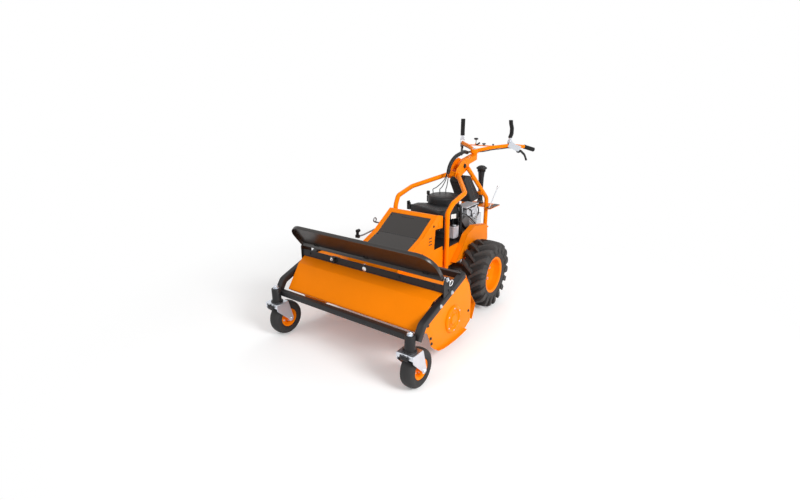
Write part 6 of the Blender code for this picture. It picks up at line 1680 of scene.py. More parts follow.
def intake_band():
    ring = spun([(0.6560, 0.0250), (0.6560, 0.0268), (0.6650, 0.0268), (0.6650, 0.0250)], "Z",
                (0, INTAKE_Y, 0), 40, ring=True)
    ear = block((0.018, INTAKE_Y - 0.032, 0.656), (0.026, INTAKE_Y - 0.020, 0.665))
    return [ring, ear, rod((0.012, INTAKE_Y - 0.028, 0.6605), (0.030, INTAKE_Y - 0.028, 0.6605),
                           0.0026, 12)]


def gear_lever():
    foot = Vector((LEVER_X, 0.475, 0.6375))
    ball = Vector((LEVER_X, 0.633, 0.799))
    return [carried([foot, foot.lerp(ball, 0.5), ball], circle(0.0039, 16)),
            spun([(LEVER_X - 0.0058, 0.0), (LEVER_X - 0.0058, 0.0085), (LEVER_X - 0.005, 0.0089),
                  (LEVER_X + 0.005, 0.0089), (LEVER_X + 0.0058, 0.0085), (LEVER_X + 0.0058, 0.0)], "X",
                 (0, foot.y, foot.z), 24)]


def gear_ball():
    ball = Vector((0, 0.633, 0.799))
    way = (ball - Vector((0, 0.475, 0.6375))).normalized()
    profile = [(-0.0145, 0.0), (-0.0145, 0.0052), (-0.0110, 0.0062)]
    for k in range(4, 17):
        angle = pi * k / 16
        profile.append((-0.0109 * cos(angle), 0.0109 * sin(angle) if k < 16 else 0.0))
    return aim(spun(profile, steps=32), way, ball + Vector((LEVER_X, 0, 0)))


piece("intake_pipe", intake_pipe(), PLASTIC, "chassis", ["air_intake"], sharp=45)
piece("intake_cap", intake_cap(), PLASTIC, "chassis")
piece("intake_band", intake_band(), STEEL, "chassis")
piece("gear_rod", gear_lever(), ZINC, "shifter", ["gear_lever"])
piece("gear_ball", gear_ball(), BRIGHT, "shifter", sharp=60)
print("intake and gear lever done")

# %% [markdown]
# The column is a box tube cut from two lengths and welded, with the swivel plate on top. The bars
# are one round tube bent five times. All this could be one spline; two halves that meet inside the
# swivel block are simpler to place, and nobody sees where they meet.

# %% Column and bars
COLUMN_TOP = (0.452, 1.092)
BAR_RADIUS = 0.0145
SHOULDER = (0.110, 0.560, 1.136)
ELBOW = (0.222, 0.650, 1.150)
GRIP_START = (0.294, 0.787, 1.133)
GRIP_END = (0.345, 0.874, 1.104)


def column():
    y0, z0 = HEAD_BOLT
    y1, z1 = COLUMN_TOP
    path = [(0, y0 - 0.020, z0 - 0.010), (0, y0 + 0.060, z0 + 0.020), (0, y1 - 0.010, z1 - 0.030)]
    box = carried(round_path(path, 0.02, 4), rounded_square(0.046, 0.0634, 0.006, 4), up=(1, 0, 0))
    post = spun([(z1 - 0.045, 0.0), (z1 - 0.045, 0.0225), (z1 - 0.043, 0.0240), (z1 - 0.0015, 0.0240),
                 (z1, 0.0225), (z1, 0.0)], "Z", (0, y1, 0), 40)
    return [box, post, weld_ring(ring_points((0, y1, z1 - 0.020), 0.0244), 0.0022)]


def bar_line(side):
    start = (0.0, COLUMN_TOP[0] + 0.010, COLUMN_TOP[1] + 0.0003 + 0.034 * 0.53)
    return [start] + on_side([SHOULDER, ELBOW, GRIP_START, GRIP_END], side)


def bars():
    y1, z1 = COLUMN_TOP
    shapes = [tube(bar_line(side), BAR_RADIUS, 24) for side in (-1, 1)]
    socket = [(z1 + 0.0003, 0.0), (z1 + 0.0003, 0.0310), (z1 + 0.0015, 0.0320), (z1 + 0.0325, 0.0320),
              (z1 + 0.0343, 0.0300), (z1 + 0.0343, 0.0)]
    shapes.append(spun(socket, "Z", (0, y1, 0), 44))
    for side in (-1, 1):
        at = Vector((side * 0.0265, y1 + 0.0145, z1 + 0.020))
        shapes.append(weld_ring([at + Vector((side * 0.003 * cos(a), 0.014 * cos(a), 0.0155 * sin(a)))
                                 for a in [2 * pi * k / 20 for k in range(20)]], 0.0020))
    return shapes


def dash_plate():
    z = SHOULDER[2] + BAR_RADIUS * 0.5
    y = SHOULDER[1]
    flat = plate(box_outline((-0.115, y - 0.024), (0.115, y + 0.036), [0.012] * 4), "Z", z, z + 0.004)
    stand = block((-0.055, y + 0.004, z + 0.002), (-0.0515, y + 0.024, z + 0.016))
    return [flat, stand]


piece("column_box", column(), ORANGE, "column", ["handlebar_column"], bevel=0.001,
      sharp=50)
piece("bar_tubes", bars(), ORANGE, "bars", ["handlebar"], sharp=50)
piece("dash_plate", dash_plate(), ORANGE, "bars", bevel=0.001)
piece("swivel_nut", [hex_bolt((0, COLUMN_TOP[0], COLUMN_TOP[1] + 0.0340), (0, 0, 1), 0.013, 0.008)],
      ZINC, "bars")
print("bars done")

# %% [markdown]
# A lever stands in a bracket above each bar, and a brake lever hangs in one below it. Both brackets
# are two cheeks with a pin's head on each, so one helper makes them. The machine's right is worked
# out from the same numbers as its left, so the two sides agree.

# %% Lever brackets, levers and grips
def heading(side):
    run = Vector(GRIP_END) - Vector(GRIP_START)
    flat = Vector((run.x, run.y, 0)).normalized()
    return Vector((flat.x * side, flat.y, 0))


def turned_to(bm, way, at):
    """Turn a shape built with its first side along +X to a level heading, and move it."""
    turn = Matrix.Rotation(atan2(way.y, way.x), 3, "Z")
    bmesh.ops.rotate(bm, verts=bm.verts, cent=(0, 0, 0), matrix=turn)
    return moved(bm, at)


LEVER_PIVOT = Vector((ELBOW[0], ELBOW[1], 1.182))
BRAKE_PIVOT = Vector(ELBOW).lerp(Vector(GRIP_START), 0.55) - Vector((0, 0, 0.034))


def flipped(point, side):
    return Vector((side * point.x, point.y, point.z))


def cheeks(outline, offset, pin, side, pivot):
    """Two cheeks beside a lever, each with the head of the pivot pin, from its profile."""
    way = heading(side)
    shapes = []
    for hand in (-1, 1):
        across = Vector((-way.y, way.x, 0)) * hand
        y = hand * offset
        shapes.append(turned_to(plate(outline, "Y", y - 0.0015, y + 0.0015), way, pivot))
        shapes.append(aim(spun(pin, steps=20), across, pivot + across * (offset + 0.0016)))
    return shapes


def lever_bracket(side):
    way = heading(side)
    pivot = flipped(LEVER_PIVOT, side)
    rise = LEVER_PIVOT.z - ELBOW[2]
    cheek = round_outline([(-0.013, -rise), (0.013, -rise), (0.013, 0.002), (0.006, 0.016),
                           (-0.006, 0.016), (-0.013, 0.002)], [0.0, 0.0, 0.008, 0.008, 0.008, 0.008])
    pin = [(0, 0), (0, 0.0075), (0.003, 0.0070), (0.003, 0)]
    shapes = cheeks(cheek, 0.0148, pin, side, pivot)
    shapes.append(turned_to(block((-0.015, -0.0165, -0.004), (0.015, 0.0165, 0.004)), way,
                            (pivot.x, pivot.y, ELBOW[2] + BAR_RADIUS * 0.4)))
    return shapes


def bar_clamp(side):
    way = (Vector(GRIP_START) - Vector(ELBOW)).normalized()
    spot = Vector(ELBOW).lerp(Vector(GRIP_START), 0.16)
    ring = spun([(-0.010, 0.0145), (-0.010, 0.0172), (0.010, 0.0172), (0.010, 0.0145)], "Z",
                (0, 0, 0), 32, ring=True)
    return [aim(ring, Vector((side * way.x, way.y, way.z)), flipped(spot, side))]


def brake_bracket(side):
    cheek = round_outline([(-0.012, -0.008), (0.012, -0.008), (0.012, 0.036), (-0.012, 0.036)],
                          [0.010, 0.010, 0.0, 0.0])
    pin = [(0, 0), (0, 0.0070), (0.0025, 0.0066), (0.0025, 0)]
    return cheeks(cheek, 0.0098, pin, side, flipped(BRAKE_PIVOT, side))


BLADE_PATH = [(0.0, -0.008), (0.0, 0.036), (0.012, 0.062), (0.012, 0.107), (0.0, 0.144),
              (-0.004, 0.172)]


def clutch_blade(side):
    """The plastic grip of the lever: the upper part of its path."""
    path = [(0.0, 0.030)] + BLADE_PATH[1:]
    blade = plate(strip(bend_flat(path, 0.030, 5), 0.0165), "Y", -0.0180, 0.0180)
    return [turned_to(blade, heading(side), flipped(LEVER_PIVOT, side))]


def clutch_shank(side):
    """The plated foot of the lever, up to its grip."""
    shank = plate(strip([(0.0, -0.008), (0.0, 0.034)], 0.0118), "Y", -0.0125, 0.0125)
    pin = rod((0.0, -0.0165, 0.0), (0.0, 0.0165, 0.0), 0.0040, 16)
    return [turned_to(shape, heading(side), flipped(LEVER_PIVOT, side)) for shape in (shank, pin)]


def lever_web(side):
    """The plated web under the bar, from the lever's bracket to the hand brake's."""
    way = (Vector(GRIP_START) - Vector(ELBOW))
    flat = Vector((way.x, way.y, 0)).normalized()
    out = Vector((flat.y, -flat.x, 0)) * (BAR_RADIUS + 0.0010)
    corners = round_outline([(-0.034, 1.141), (-0.012, 1.172), (0.012, 1.180), (0.045, 1.158),
                             (0.112, 1.140), (0.100, 1.112), (0.078, 1.098)], 0.006)
    rows = []
    for step in (0.0, 0.0026):
        rows.append([flipped(Vector((ELBOW[0], ELBOW[1], 0)) + flat * a + out
                             + out.normalized() * step + Vector((0, 0, z)), side) for a, z in corners])
    return loft(rows)


def brake_blade(side):
    length = 0.125
    path = [Vector((a, 0, b)) for a, b in
            ((-0.006, 0.000), (0.30 * length, -0.008), (0.64 * length, -0.042), (0.79 * length, -0.079))]
    fine = round_path(path, 0.05, 8)
    blade = carried(fine, rounded_square(0.0205, 0.0150, 0.005, 3))
    hub = spun([(-0.0080, 0.0), (-0.0080, 0.0150), (0.0080, 0.0150), (0.0080, 0.0)], "Y",
               (0.012, 0, -0.008), 24)
    ball = spun([(-0.0098 * cos(pi * k / 12), 0.0098 * sin(pi * k / 12) if 0 < k < 12 else 0.0)
                 for k in range(13)], "Z", (0.80 * length, 0, -0.083), 24)
    pivot = flipped(BRAKE_PIVOT, side)
    return [turned_to(shape, heading(side), pivot) for shape in (blade, ball, hub)]


def hand_grip(side):
    start = Vector(GRIP_START)
    end = Vector(GRIP_END)
    way = (end - start).normalized()
    length = (end - start).length + 0.004
    profile = [(0.0, 0.0148), (0.0, 0.0176), (0.002, 0.0180), (0.006, 0.0180), (0.008, 0.0165)]
    ribs = 15
    first = 0.010
    pitch = (length - 0.022) / ribs
    for k in range(ribs):
        z = first + pitch * k
        profile += [(z, 0.0166), (z + pitch * 0.25, 0.0174), (z + pitch * 0.65, 0.0174),
                    (z + pitch * 0.9, 0.0166)]
    profile += [(length - 0.009, 0.0168), (length - 0.006, 0.0179), (length - 0.002, 0.0179),
                (length, 0.0160), (length, 0.0)]
    profile += [(length - 0.0035, 0.0), (length - 0.0035, 0.0148)]
    shape = aim(spun(profile, steps=32), way, start)
    return shape if side > 0 else mirror(shape)


for side, word in SIDES:
    piece("lever_bracket_" + word, lever_bracket(side) + brake_bracket(side) + bar_clamp(side)
          + [lever_web(side)], ZINC, "bars", bevel=0.0004)
    piece("clutch_shank_" + word, clutch_shank(side), ZINC, "clutch_" + word,
          bevel=0.0008)
    piece("clutch_blade_" + word, clutch_blade(side), GRIP, "clutch_" + word,
          ["grip_lever_" + word], bevel=0.0028, segments=3)
    piece("brake_blade_" + word, brake_blade(side), SHINY, "brake_" + word,
          ["brake_lever_" + word], sharp=60)
    piece("hand_grip_" + word, hand_grip(side), GRIP, "bars", ["grip_" + word],
          sharp=50)
print("levers and grips done")

# %% [markdown]
# Small controls sit on the dash plate: the throttle lever with its flat knob, two push-pull knobs
# and a choke rod. A cable runs under each bar into one corrugated hose, which passes forward over
# the head to the engine. The corrugation is made by carrying a circle whose radius goes up and down
# along the way.

# %% Dash controls and cable hose
def throttle():
    y = SHOULDER[1] + 0.014
    z = SHOULDER[2] + BAR_RADIUS * 0.5 + 0.004 + 0.007
    x = -0.0512
    arm = round_outline([(y - 0.004, z - 0.004), (y + 0.004, z - 0.004), (y + 0.0028, z + 0.040),
                         (y - 0.0028, z + 0.040)], [0.003, 0.003, 0.001, 0.001])
    ball = spun([(-0.0088 * cos(pi * k / 12), 0.0185 * sin(pi * k / 12) ** 0.5 if 0 < k < 12 else 0.0)
                 for k in range(13)], "Z", (x + 0.0015, y, z + 0.043), 28)
    neck = spun([(z + 0.030, 0.0), (z + 0.030, 0.0042), (z + 0.038, 0.0055), (z + 0.038, 0.0)], "Z",
                (x + 0.0015, y, 0), 18)
    return [plate(arm, "X", x, x + 0.003), ball, neck]


def push_knob(x, y, top, radius):
    base = SHOULDER[2] + BAR_RADIUS * 0.5 + 0.004
    stalk = rod((x, y, base - 0.001), (x, y, top - 0.008), 0.0022, 12)
    nut = aim(spun([(0, 0), (0, 0.0065), (0.003, 0.0065), (0.003, 0)], steps=6), (0, 0, 1), (x, y, base))
    head = spun([(top - 0.013, 0.0), (top - 0.013, radius * 0.55), (top - 0.009, radius),
                 (top - 0.002, radius), (top, radius * 0.75), (top, 0.0)], "Z", (x, y, 0), 28)
    return [stalk, nut, head]


def smooth_route(points, per_span):
    """A smooth curve through a cord's own points."""
    points = [Vector(p) for p in points]
    padded = [2 * points[0] - points[1]] + points + [2 * points[-1] - points[-2]]
    route = []
    for k in range(1, len(padded) - 2):
        a, b, c, d = padded[k - 1:k + 3]
        for n in range(per_span):
            t = n / per_span
            route.append(0.5 * (2 * b + (c - a) * t + (2 * a - 5 * b + 4 * c - d) * t * t
                                + (3 * b - a - 3 * c + d) * t * t * t))
    route.append(points[-1])
    return route


HOSE_END = (-0.044, 0.410, 1.098)
HOSE_ROUTE = [HOSE_END, (-0.036, 0.359, 1.109), (-0.014, 0.294, 1.117),
              (0.0, 0.219, 1.113), (0.0, 0.143, 1.098), (0.0, 0.083, 1.068),
              (0.0, 0.044, 1.026), (0.0, 0.027, 0.980)]
WIRE_ROUTES = [
    [(-0.006, 0.022, 0.986), (-0.022, 0.006, 0.930), (-0.060, -0.030, 0.880),
     (-0.084, -0.050, 0.862), (-0.084, -0.050, 0.845), (-0.084, -0.050, 0.8286)],
    [(0.0, 0.018, 0.986), (-0.010, 0.010, 0.930), (-0.030, -0.006, 0.880),
     (-0.040, -0.022, 0.862), (-0.040, -0.022, 0.845), (-0.040, -0.022, 0.8286)],
    [(0.006, 0.024, 0.986), (0.004, 0.020, 0.930), (0.000, 0.012, 0.880),
     (-0.002, 0.004, 0.862), (-0.002, 0.004, 0.845), (-0.002, 0.004, 0.8286)],
]


def ribbed_hose(points, radius, pitch):
    fine = smooth_route(points, 24)
    spaced = [fine[0]]
    walked = 0.0
    step = pitch / 4
    for a, b in zip(fine, fine[1:]):
        length = (b - a).length
        while walked + length >= step:
            share = (step - walked) / length
            a = a.lerp(b, share)
            spaced.append(a)
            length = (b - a).length
            walked = 0.0
        walked += length
    last = len(spaced) - 1
    rows = []
    side = (spaced[1] - spaced[0]).orthogonal().normalized()
    way = (spaced[1] - spaced[0]).normalized()
    for k, point in enumerate(spaced):
        new = (spaced[min(k + 1, last)] - spaced[max(k - 1, 0)]).normalized()
        side = way.rotation_difference(new) @ side
        way = new
        over = side.cross(way)
        size = radius if k % 4 in (1, 2) else radius - 0.0006
        rows.append([point + side * a + over * b for a, b in circle(size, 18)])
    return loft(rows)


def bar_cable(side):
    """A cable from the hose's end, under its own bar, to the lever's bracket."""
    under = BAR_RADIUS + 0.0050
    shoulder = Vector(on_side([SHOULDER], side)[0])
    elbow = Vector(on_side([ELBOW], side)[0])
    bracket = flipped(BRAKE_PIVOT, side)
    low = Vector((0, 0, -under))
    turn = (-0.058, 0.466, 1.100) if side < 0 else (-0.050, 0.468, 1.094)
    route = [Vector(HOSE_END) - Vector((0.0, 0.010, -0.002)), Vector(HOSE_END), Vector(turn),
             Vector((side * 0.050, 0.508, 1.1035)), shoulder + low, shoulder.lerp(elbow, 0.5) + low,
             elbow + low, bracket + Vector((0, 0, 0.004))]
    return carried(smooth_route(route, 8), circle(0.0042, 12))


piece("throttle_arm", throttle(), SHINY, "throttle", ["throttle_lever"], bevel=0.0004)
piece("dash_knobs", push_knob(0.022, 0.580, 1.165, 0.0155) + push_knob(0.106, 0.580, 1.162, 0.0085)
      + [rod((-0.040, 0.566, 1.1472), (-0.010, 0.566, 1.167), 0.0068, 16)], SHINY, "bars")
piece("cable_hose", ribbed_hose(HOSE_ROUTE, 0.0149, 0.0044), PLASTIC,
      ("chassis", "column", HOSE_ROUTE[5], HOSE_ROUTE[1]), ["cable_loom"], sharp=60)
piece("bar_cables", [bar_cable(side) for side, word in SIDES], SHINY,
      ("column", "bars", HOSE_END, (HOSE_END[0], HOSE_END[1] + 0.075, HOSE_END[2])))
piece("control_wires", [carried(smooth_route(r, 6), circle(0.0034, 12)) for r in WIRE_ROUTES], SHINY,
      "chassis")
print("controls done")

# %% [markdown]
# The engine stands upright, with its fan housing on top. Under the housing come the crankcase and,
# towards the back, the finned cylinder. Fins are thin plates stacked on the block. Cutting grooves
# into a block would give the same look but leave a heavy mesh that is hard to change.

# %% Engine block and cylinder
ENGINE_Y = -0.030
ENGINE_BASE = 0.5003


def crankcase():
    profile = [(ENGINE_BASE, 0.0), (ENGINE_BASE, 0.116), (ENGINE_BASE + 0.003, 0.1175),
               (ENGINE_BASE + 0.014, 0.1175), (ENGINE_BASE + 0.018, 0.108), (0.548, 0.106),
               (0.552, 0.1165), (0.562, 0.1175), (0.572, 0.1165), (0.576, 0.106), (0.590, 0.104),
               (0.599, 0.096), (0.603, 0.090), (0.6640, 0.089), (0.6640, 0.0)]
    shapes = [spun(profile, "Z", (0, ENGINE_Y, 0), 56)]
    shapes.append(plate(box_outline((-0.095, ENGINE_Y - 0.095), (0.095, ENGINE_Y + 0.095), [0.02] * 4),
                        "Z", ENGINE_BASE, ENGINE_BASE + 0.012))
    shapes += in_a_circle(lambda: block((0.085, -0.003, 0.515), (0.115, 0.003, 0.655)), 10, ENGINE_Y, 0.5)
    return shapes


def crankcase_bolts():
    shapes = []
    for k in range(10):
        angle = 2 * pi * k / 10
        at = (0.110 * cos(angle), ENGINE_Y + 0.110 * sin(angle), 0.5660)
        shapes.append(hex_bolt(at, (0, 0, 1), 0.0055, 0.0085, False))
    for x in (-0.082, 0.082):
        for y in (-0.082, 0.082):
            shapes.append(hex_bolt((x, ENGINE_Y + y, ENGINE_BASE + 0.012), (0, 0, 1), 0.008, 0.006))
    return shapes


def cylinder():
    low = ENGINE_BASE + 0.025
    shapes = [block((-0.040, 0.045, low), (0.060, 0.188, low + 0.105))]
    for k in range(11):
        z = low + 0.002 + k * 0.0097
        outline = box_outline((-0.0598, 0.092), (0.0598, 0.1895), [0.006] * 4)
        shapes.append(plate(outline, "Z", z, z + 0.0032))
    shapes.append(plate(box_outline((0.040, 0.078), (0.150, 0.226), [0.010] * 4), "Z", 0.532, 0.648))
    for k in range(9):
        z = 0.5315 + k * 0.0128
        shapes.append(plate(box_outline((0.100, 0.080), (0.1715, 0.2315), [0.008] * 4), "Z", z, z + 0.0034))
    return shapes


piece("crankcase_casting", crankcase(), BLACK, "chassis", ["engine_block"],
      bevel=0.0007, sharp=50)
piece("crankcase_bolts", crankcase_bolts(), ZINC, "chassis")
piece("cylinder_casting", cylinder(), CAST, "chassis", bevel=0.0005)
print("engine castings done")

# %% [markdown]
# What shows through the frame on this side is a crowd of small parts: a pale pump housing on a black
# foot, a die-cast carburettor with its lid and gasket, a grey heat shield, hoses and a wire. Each is
# modelled on its own, a few millimetres proud of the block. Dark gaps and hoses between pale castings
# are what the eye reads as an engine, so they get more care than the castings themselves.

# %% Engine fittings
def pump_housing():
    """A pale cast housing with upright ribs and a flange, on a black foot."""
    x, y = 0.138, ENGINE_Y - 0.066
    body = plate(box_outline((x - 0.030, y - 0.034), (x + 0.020, y + 0.032), [0.012] * 4), "Z", 0.5230,
                 0.6130)
    shapes = [body, plate(box_outline((x - 0.032, y - 0.040), (x + 0.023, y + 0.036), [0.012] * 4), "Z",
                          0.6040, 0.6130)]
    shapes.append(spun([(0.6130, 0.0), (0.6130, 0.016), (0.6190, 0.015), (0.6210, 0.010), (0.6210, 0.0)],
                       "Z", (x, y, 0), 28))
    for k in range(4):
        at = y - 0.026 + 0.0168 * k
        shapes.append(block((x + 0.018, at - 0.0020, 0.525), (x + 0.0235, at + 0.0020, 0.604)))
    return shapes


def pump_foot_and_shade_sheet():
    x, y = 0.138, ENGINE_Y - 0.066
    # The pump's black foot, and a thin black sheet laid on the engine plate, which is painted shade under
    # the engine.
    return [plate(box_outline((x - 0.030, y - 0.030), (x + 0.022, y + 0.030), [0.012] * 4), "Z", 0.5020,
                  0.5228),
            plate(box_outline((-0.190, -0.372), (0.190, 0.236), [0.010] * 4), "Z", 0.5004, 0.5020)]


def carburettor():
    shapes = [plate(box_outline((0.060, 0.086), (0.150, 0.262), [0.010] * 4), "Z", 0.640, 0.724),
              block((0.055, 0.056, 0.7190), (0.1560, 0.262, 0.7270)),
              plate(box_outline((0.070, 0.225), (0.156, 0.330), [0.016] * 4), "Z", 0.545, 0.634)]
    bowl = spun([(0.1500, 0.0), (0.1500, 0.032), (0.1530, 0.0335), (0.1580, 0.0320), (0.1600, 0.026),
                 (0.1600, 0.020), (0.1575, 0.017), (0.1575, 0.0)], "X", (0, 0.182, 0.656), 40)
    shapes.append(bowl)
    shapes.append(spun([(0.1500, 0.0), (0.1500, 0.017), (0.1570, 0.0165), (0.1585, 0.012), (0.1585, 0.0)],
                       "X", (0, 0.222, 0.706), 28))
    shapes.append(spun([(0.1500, 0.0), (0.1500, 0.013), (0.1580, 0.0125), (0.1580, 0.0)], "X",
                       (0, 0.226, 0.668), 24))
    for y, z in ((0.140, 0.708), (0.196, 0.708), (0.140, 0.664), (0.196, 0.664)):
        shapes.append(hex_bolt((0.150, y, z), (1, 0, 0), 0.0052, 0.004))
    return shapes


def heat_shield():
    """A folded sheet that slopes back beside the head."""
    corners = [(-0.042, 0.644), (0.030, 0.672), (0.078, 0.656), (0.196, 0.556), (0.060, 0.552),
               (0.004, 0.600)]
    face = plate(round_outline(corners, 0.006), "X", 0.1690, 0.1708)
    rib = plate(round_outline([(0.046, 0.574), (0.060, 0.640), (0.067, 0.640), (0.057, 0.574)], 0.002),
                "X", 0.1704, 0.1716)
    back = plate(round_outline([(c[0] * 0.98, c[1] - 0.001) for c in corners], 0.006), "X", 0.1440,
                 0.1690)
    return [face, rib, back]


def engine_hoses():
    hose = smooth_route([(0.110, -0.020, 0.758), (0.148, -0.030, 0.752), (0.1560, -0.036, 0.720),
                         (0.1560, -0.032, 0.660), (0.1560, -0.034, 0.610), (0.1560, -0.040, 0.555),
                         (0.140, -0.040, 0.530)], 6)
    fuel = smooth_route([(0.152, -0.006, 0.692), (0.1700, 0.014, 0.686), (0.1735, 0.080, 0.648),
                         (0.1735, 0.150, 0.600), (0.1700, 0.212, 0.556)], 6)
    spark = smooth_route([(0.060, 0.205, 0.700), (0.075, 0.255, 0.690), (0.085, 0.262, 0.640),
                          (0.090, 0.238, 0.600)], 6)
    loop = smooth_route([(0.150, 0.110, 0.700), (0.162, 0.124, 0.694), (0.166, 0.128, 0.670),
                         (0.166, 0.140, 0.640), (0.160, 0.170, 0.616), (0.160, 0.216, 0.612),
                         (0.166, 0.240, 0.640), (0.164, 0.248, 0.680), (0.150, 0.250, 0.704)], 6)
    gasket = block((0.057, 0.062, 0.7100), (0.1572, 0.266, 0.7160))
    return [carried(hose, circle(0.0105, 16)), carried(fuel, circle(0.0034, 12)),
            carried(spark, circle(0.0036, 12)), carried(loop, circle(0.0050, 12)), gasket,
            rod((0.1555, 0.128, 0.7185), (0.1555, 0.248, 0.7185), 0.0040, 14),
            rod((0.1595, 0.182, 0.656), (0.1625, 0.182, 0.656), 0.0060, 16),
            block((0.1490, -0.052, 0.536), (0.1640, -0.022, 0.572))]


def fuel_filter():
    return [spun([(0.606, 0.0), (0.606, 0.0045), (0.612, 0.0120), (0.650, 0.0120), (0.656, 0.0045),
                  (0.656, 0.0)], "Z", (0.150, 0.006, 0), 24),
            block((0.118, -0.006, 0.640), (0.150, 0.004, 0.742))]


piece("pump_housing", pump_housing(), PALE_CAST, "chassis", bevel=0.0012)
piece("pump_foot_and_shade_sheet", pump_foot_and_shade_sheet(), BLACK, "chassis")
piece("carburettor_body", carburettor(), PALE_CAST, "chassis", bevel=0.0008)
piece("heat_shield", heat_shield(), GREY, "chassis", bevel=0.0003)
piece("engine_hoses", engine_hoses(), PLASTIC, "chassis")
piece("fuel_filter", fuel_filter(), PALE_CAST, "chassis")
print("fittings done")

# %% [markdown]
# The fan housing is moulded black plastic: a wide skirt, a step and a round drum. Its top is ribbed
# where the cooling air enters, with a recoil starter cup in the middle. Rings and ribs are modelled
# because they catch the light; the pores of the plastic are left to the bump in its finish.

# %% Fan housing
def fan_housing():
    profile = [(0.6652, 0.0), (0.6652, 0.1415), (0.6670, 0.1440), (0.6700, 0.1458), (0.7040, 0.1458),
               (0.7062, 0.1440), (0.7100, 0.1262), (0.7150, 0.1228), (0.7320, 0.1216), (0.7324, 0.1200),
               (0.7350, 0.1200), (0.7354, 0.1216), (0.7980, 0.1218), (0.8080, 0.1212), (0.8160, 0.1188),
               (0.8220, 0.1140), (0.8252, 0.1060), (0.8262, 0.0960), (0.8268, 0.0900), (0.8255, 0.0885),
               (0.8255, 0.0860), (0.8276, 0.0845), (0.8276, 0.0)]
    shapes = [spun(profile, "Z", (0, ENGINE_Y, 0), 72)]
    shapes += in_a_circle(lambda: block((0.1170, -0.0013, 0.740), (0.12185, 0.0013, 0.800)), 28,
                          ENGINE_Y, 0.5)
    return shapes


def skirt_details():
    shapes = []
    for k in range(5):
        angle = radians(24 + 72 * k)
        at = (0.1458 * cos(angle), ENGINE_Y + 0.1458 * sin(angle), 0.686)
        shapes.append(aim(spun([(-0.002, 0), (-0.002, 0.006), (0.0002, 0.0055), (0.0002, 0)], steps=6),
                          (cos(angle), sin(angle), 0), at))
    return shapes


def starter_knob():
    at = (-0.128, -0.050)
    return [spun([(0.800, 0.0), (0.800, 0.0090), (0.816, 0.0090), (0.8190, 0.0130), (0.8420, 0.0125),
                  (0.8450, 0.0100), (0.8450, 0.0)], "Z", (*at, 0), 24),
            block((at[0] - 0.008, at[1] - 0.008, 0.760), (at[0] + 0.020, at[1] + 0.008, 0.806))]


def label_plate():
    """A plain pale plate on the housing's skirt: nothing is printed on it."""
    section = ((0.1452, 0.6690), (0.14605, 0.6690), (0.14605, 0.7036), (0.1452, 0.7036))
    return loft([[(r * cos(angle), ENGINE_Y + r * sin(angle), z) for r, z in section]
                 for angle in [radians(-36 + 3.0 * k) for k in range(7)]])


piece("fan_drum", fan_housing(), PLASTIC, "chassis", ["blower_housing"], sharp=40)
piece("fan_screws", skirt_details(), ZINC, "chassis")
piece("starter_knob", starter_knob(), SHINY, "chassis")
piece("plain_label", label_plate(), PLATE, "chassis")
print("fan housing done")

# %% [markdown]
# The air box is moulded round the front of the fan drum. It is one outline, drawn in by another
# amount at each height, with the edge next to the drum left where it is. The ribs on its lid are thin
# rounded bars that are sunk into the top.

# %% Air box
def airbox_sides():
    return [(-0.172, -0.238), (0.117, -0.318), (0.150, -0.270), (0.150, -0.150)]


def airbox_ring(inset):
    middle = Vector((-0.010, -0.200))
    near = []
    for k in range(13):
        angle = radians(-45 - 90 * k / 12)
        near.append((0.1226 * cos(angle), ENGINE_Y + 0.1226 * sin(angle)))
    corners = airbox_sides() + near + [(-0.165, -0.150)]
    radii = [0.022, 0.028, 0.022, 0.0] + [0.0] * 13 + [0.0]
    ring = round_outline(corners, radii, 5)
    grown = []
    for x, y in ring:
        p = Vector((x, y))
        from_fan = (p - Vector((0, ENGINE_Y))).length
        if from_fan < 0.1245:
            grown.append((x, y))
        else:
            grown.append(tuple(p + (middle - p).normalized() * inset))
    return grown


def airbox():
    """Rings of one outline, from the foot over the stepped and rounded top."""
    steps = [(0.7155, 0.004), (0.7165, 0.0004), (0.7350, 0.0002), (0.7362, 0.0030), (0.7378, 0.0030),
             (0.7390, 0.0004), (0.7560, 0.0010), (0.7620, 0.0035), (0.7655, 0.0080), (0.7672, 0.0140),
             (0.7660, 0.0200), (0.7655, 0.0240), (0.7672, 0.0280), (0.7676, 0.0450)]
    return loft([[(x, y, z) for x, y in airbox_ring(inset)] for z, inset in steps])


def airbox_ribs():
    shapes = []
    a = Vector((-0.172, -0.238))
    b = Vector((0.117, -0.318))
    run = (b - a).normalized()
    back = Vector((-run.y, run.x))
    for k in range(4):
        start = a + run * 0.040 + back * (0.022 + 0.020 * k)
        end = b - run * 0.026 + back * (0.022 + 0.020 * k)
        ridge = carried([(start.x, start.y, 0.7650), (end.x, end.y, 0.7650)], circle(0.0046, 12))
        shapes.append(ridge)
    return shapes


def airbox_clamp():
    return [block((-0.1990, -0.2400, 0.7255), (-0.1680, -0.2120, 0.7640)),
            block((-0.1990, -0.2400, 0.7640), (-0.1890, -0.2120, 0.7900)),
            rod((-0.1800, -0.2260, 0.7255), (-0.1800, -0.2260, 0.7798), 0.0065, 16),
            rod((-0.2060, -0.2260, 0.7780), (-0.1790, -0.2260, 0.7780), 0.0045, 14)]


piece("airbox_shell", airbox(), PLASTIC, "chassis", ["airbox"], sharp=30)
piece("airbox_ribs", airbox_ribs(), SHINY, "chassis")
piece("airbox_clamp", airbox_clamp(), SHINY, "chassis", bevel=0.001)
print("air box done")

# %% [markdown]
# The muffler hangs beside the cylinder at the machine's right, a rolled drum in two halves with a
# crimped seam and nine thin rings. The fenders are folded sheet beside the drive wheels: a strip
# over the top and the ends gives the folded edge, and a flat plate gives the outer face.

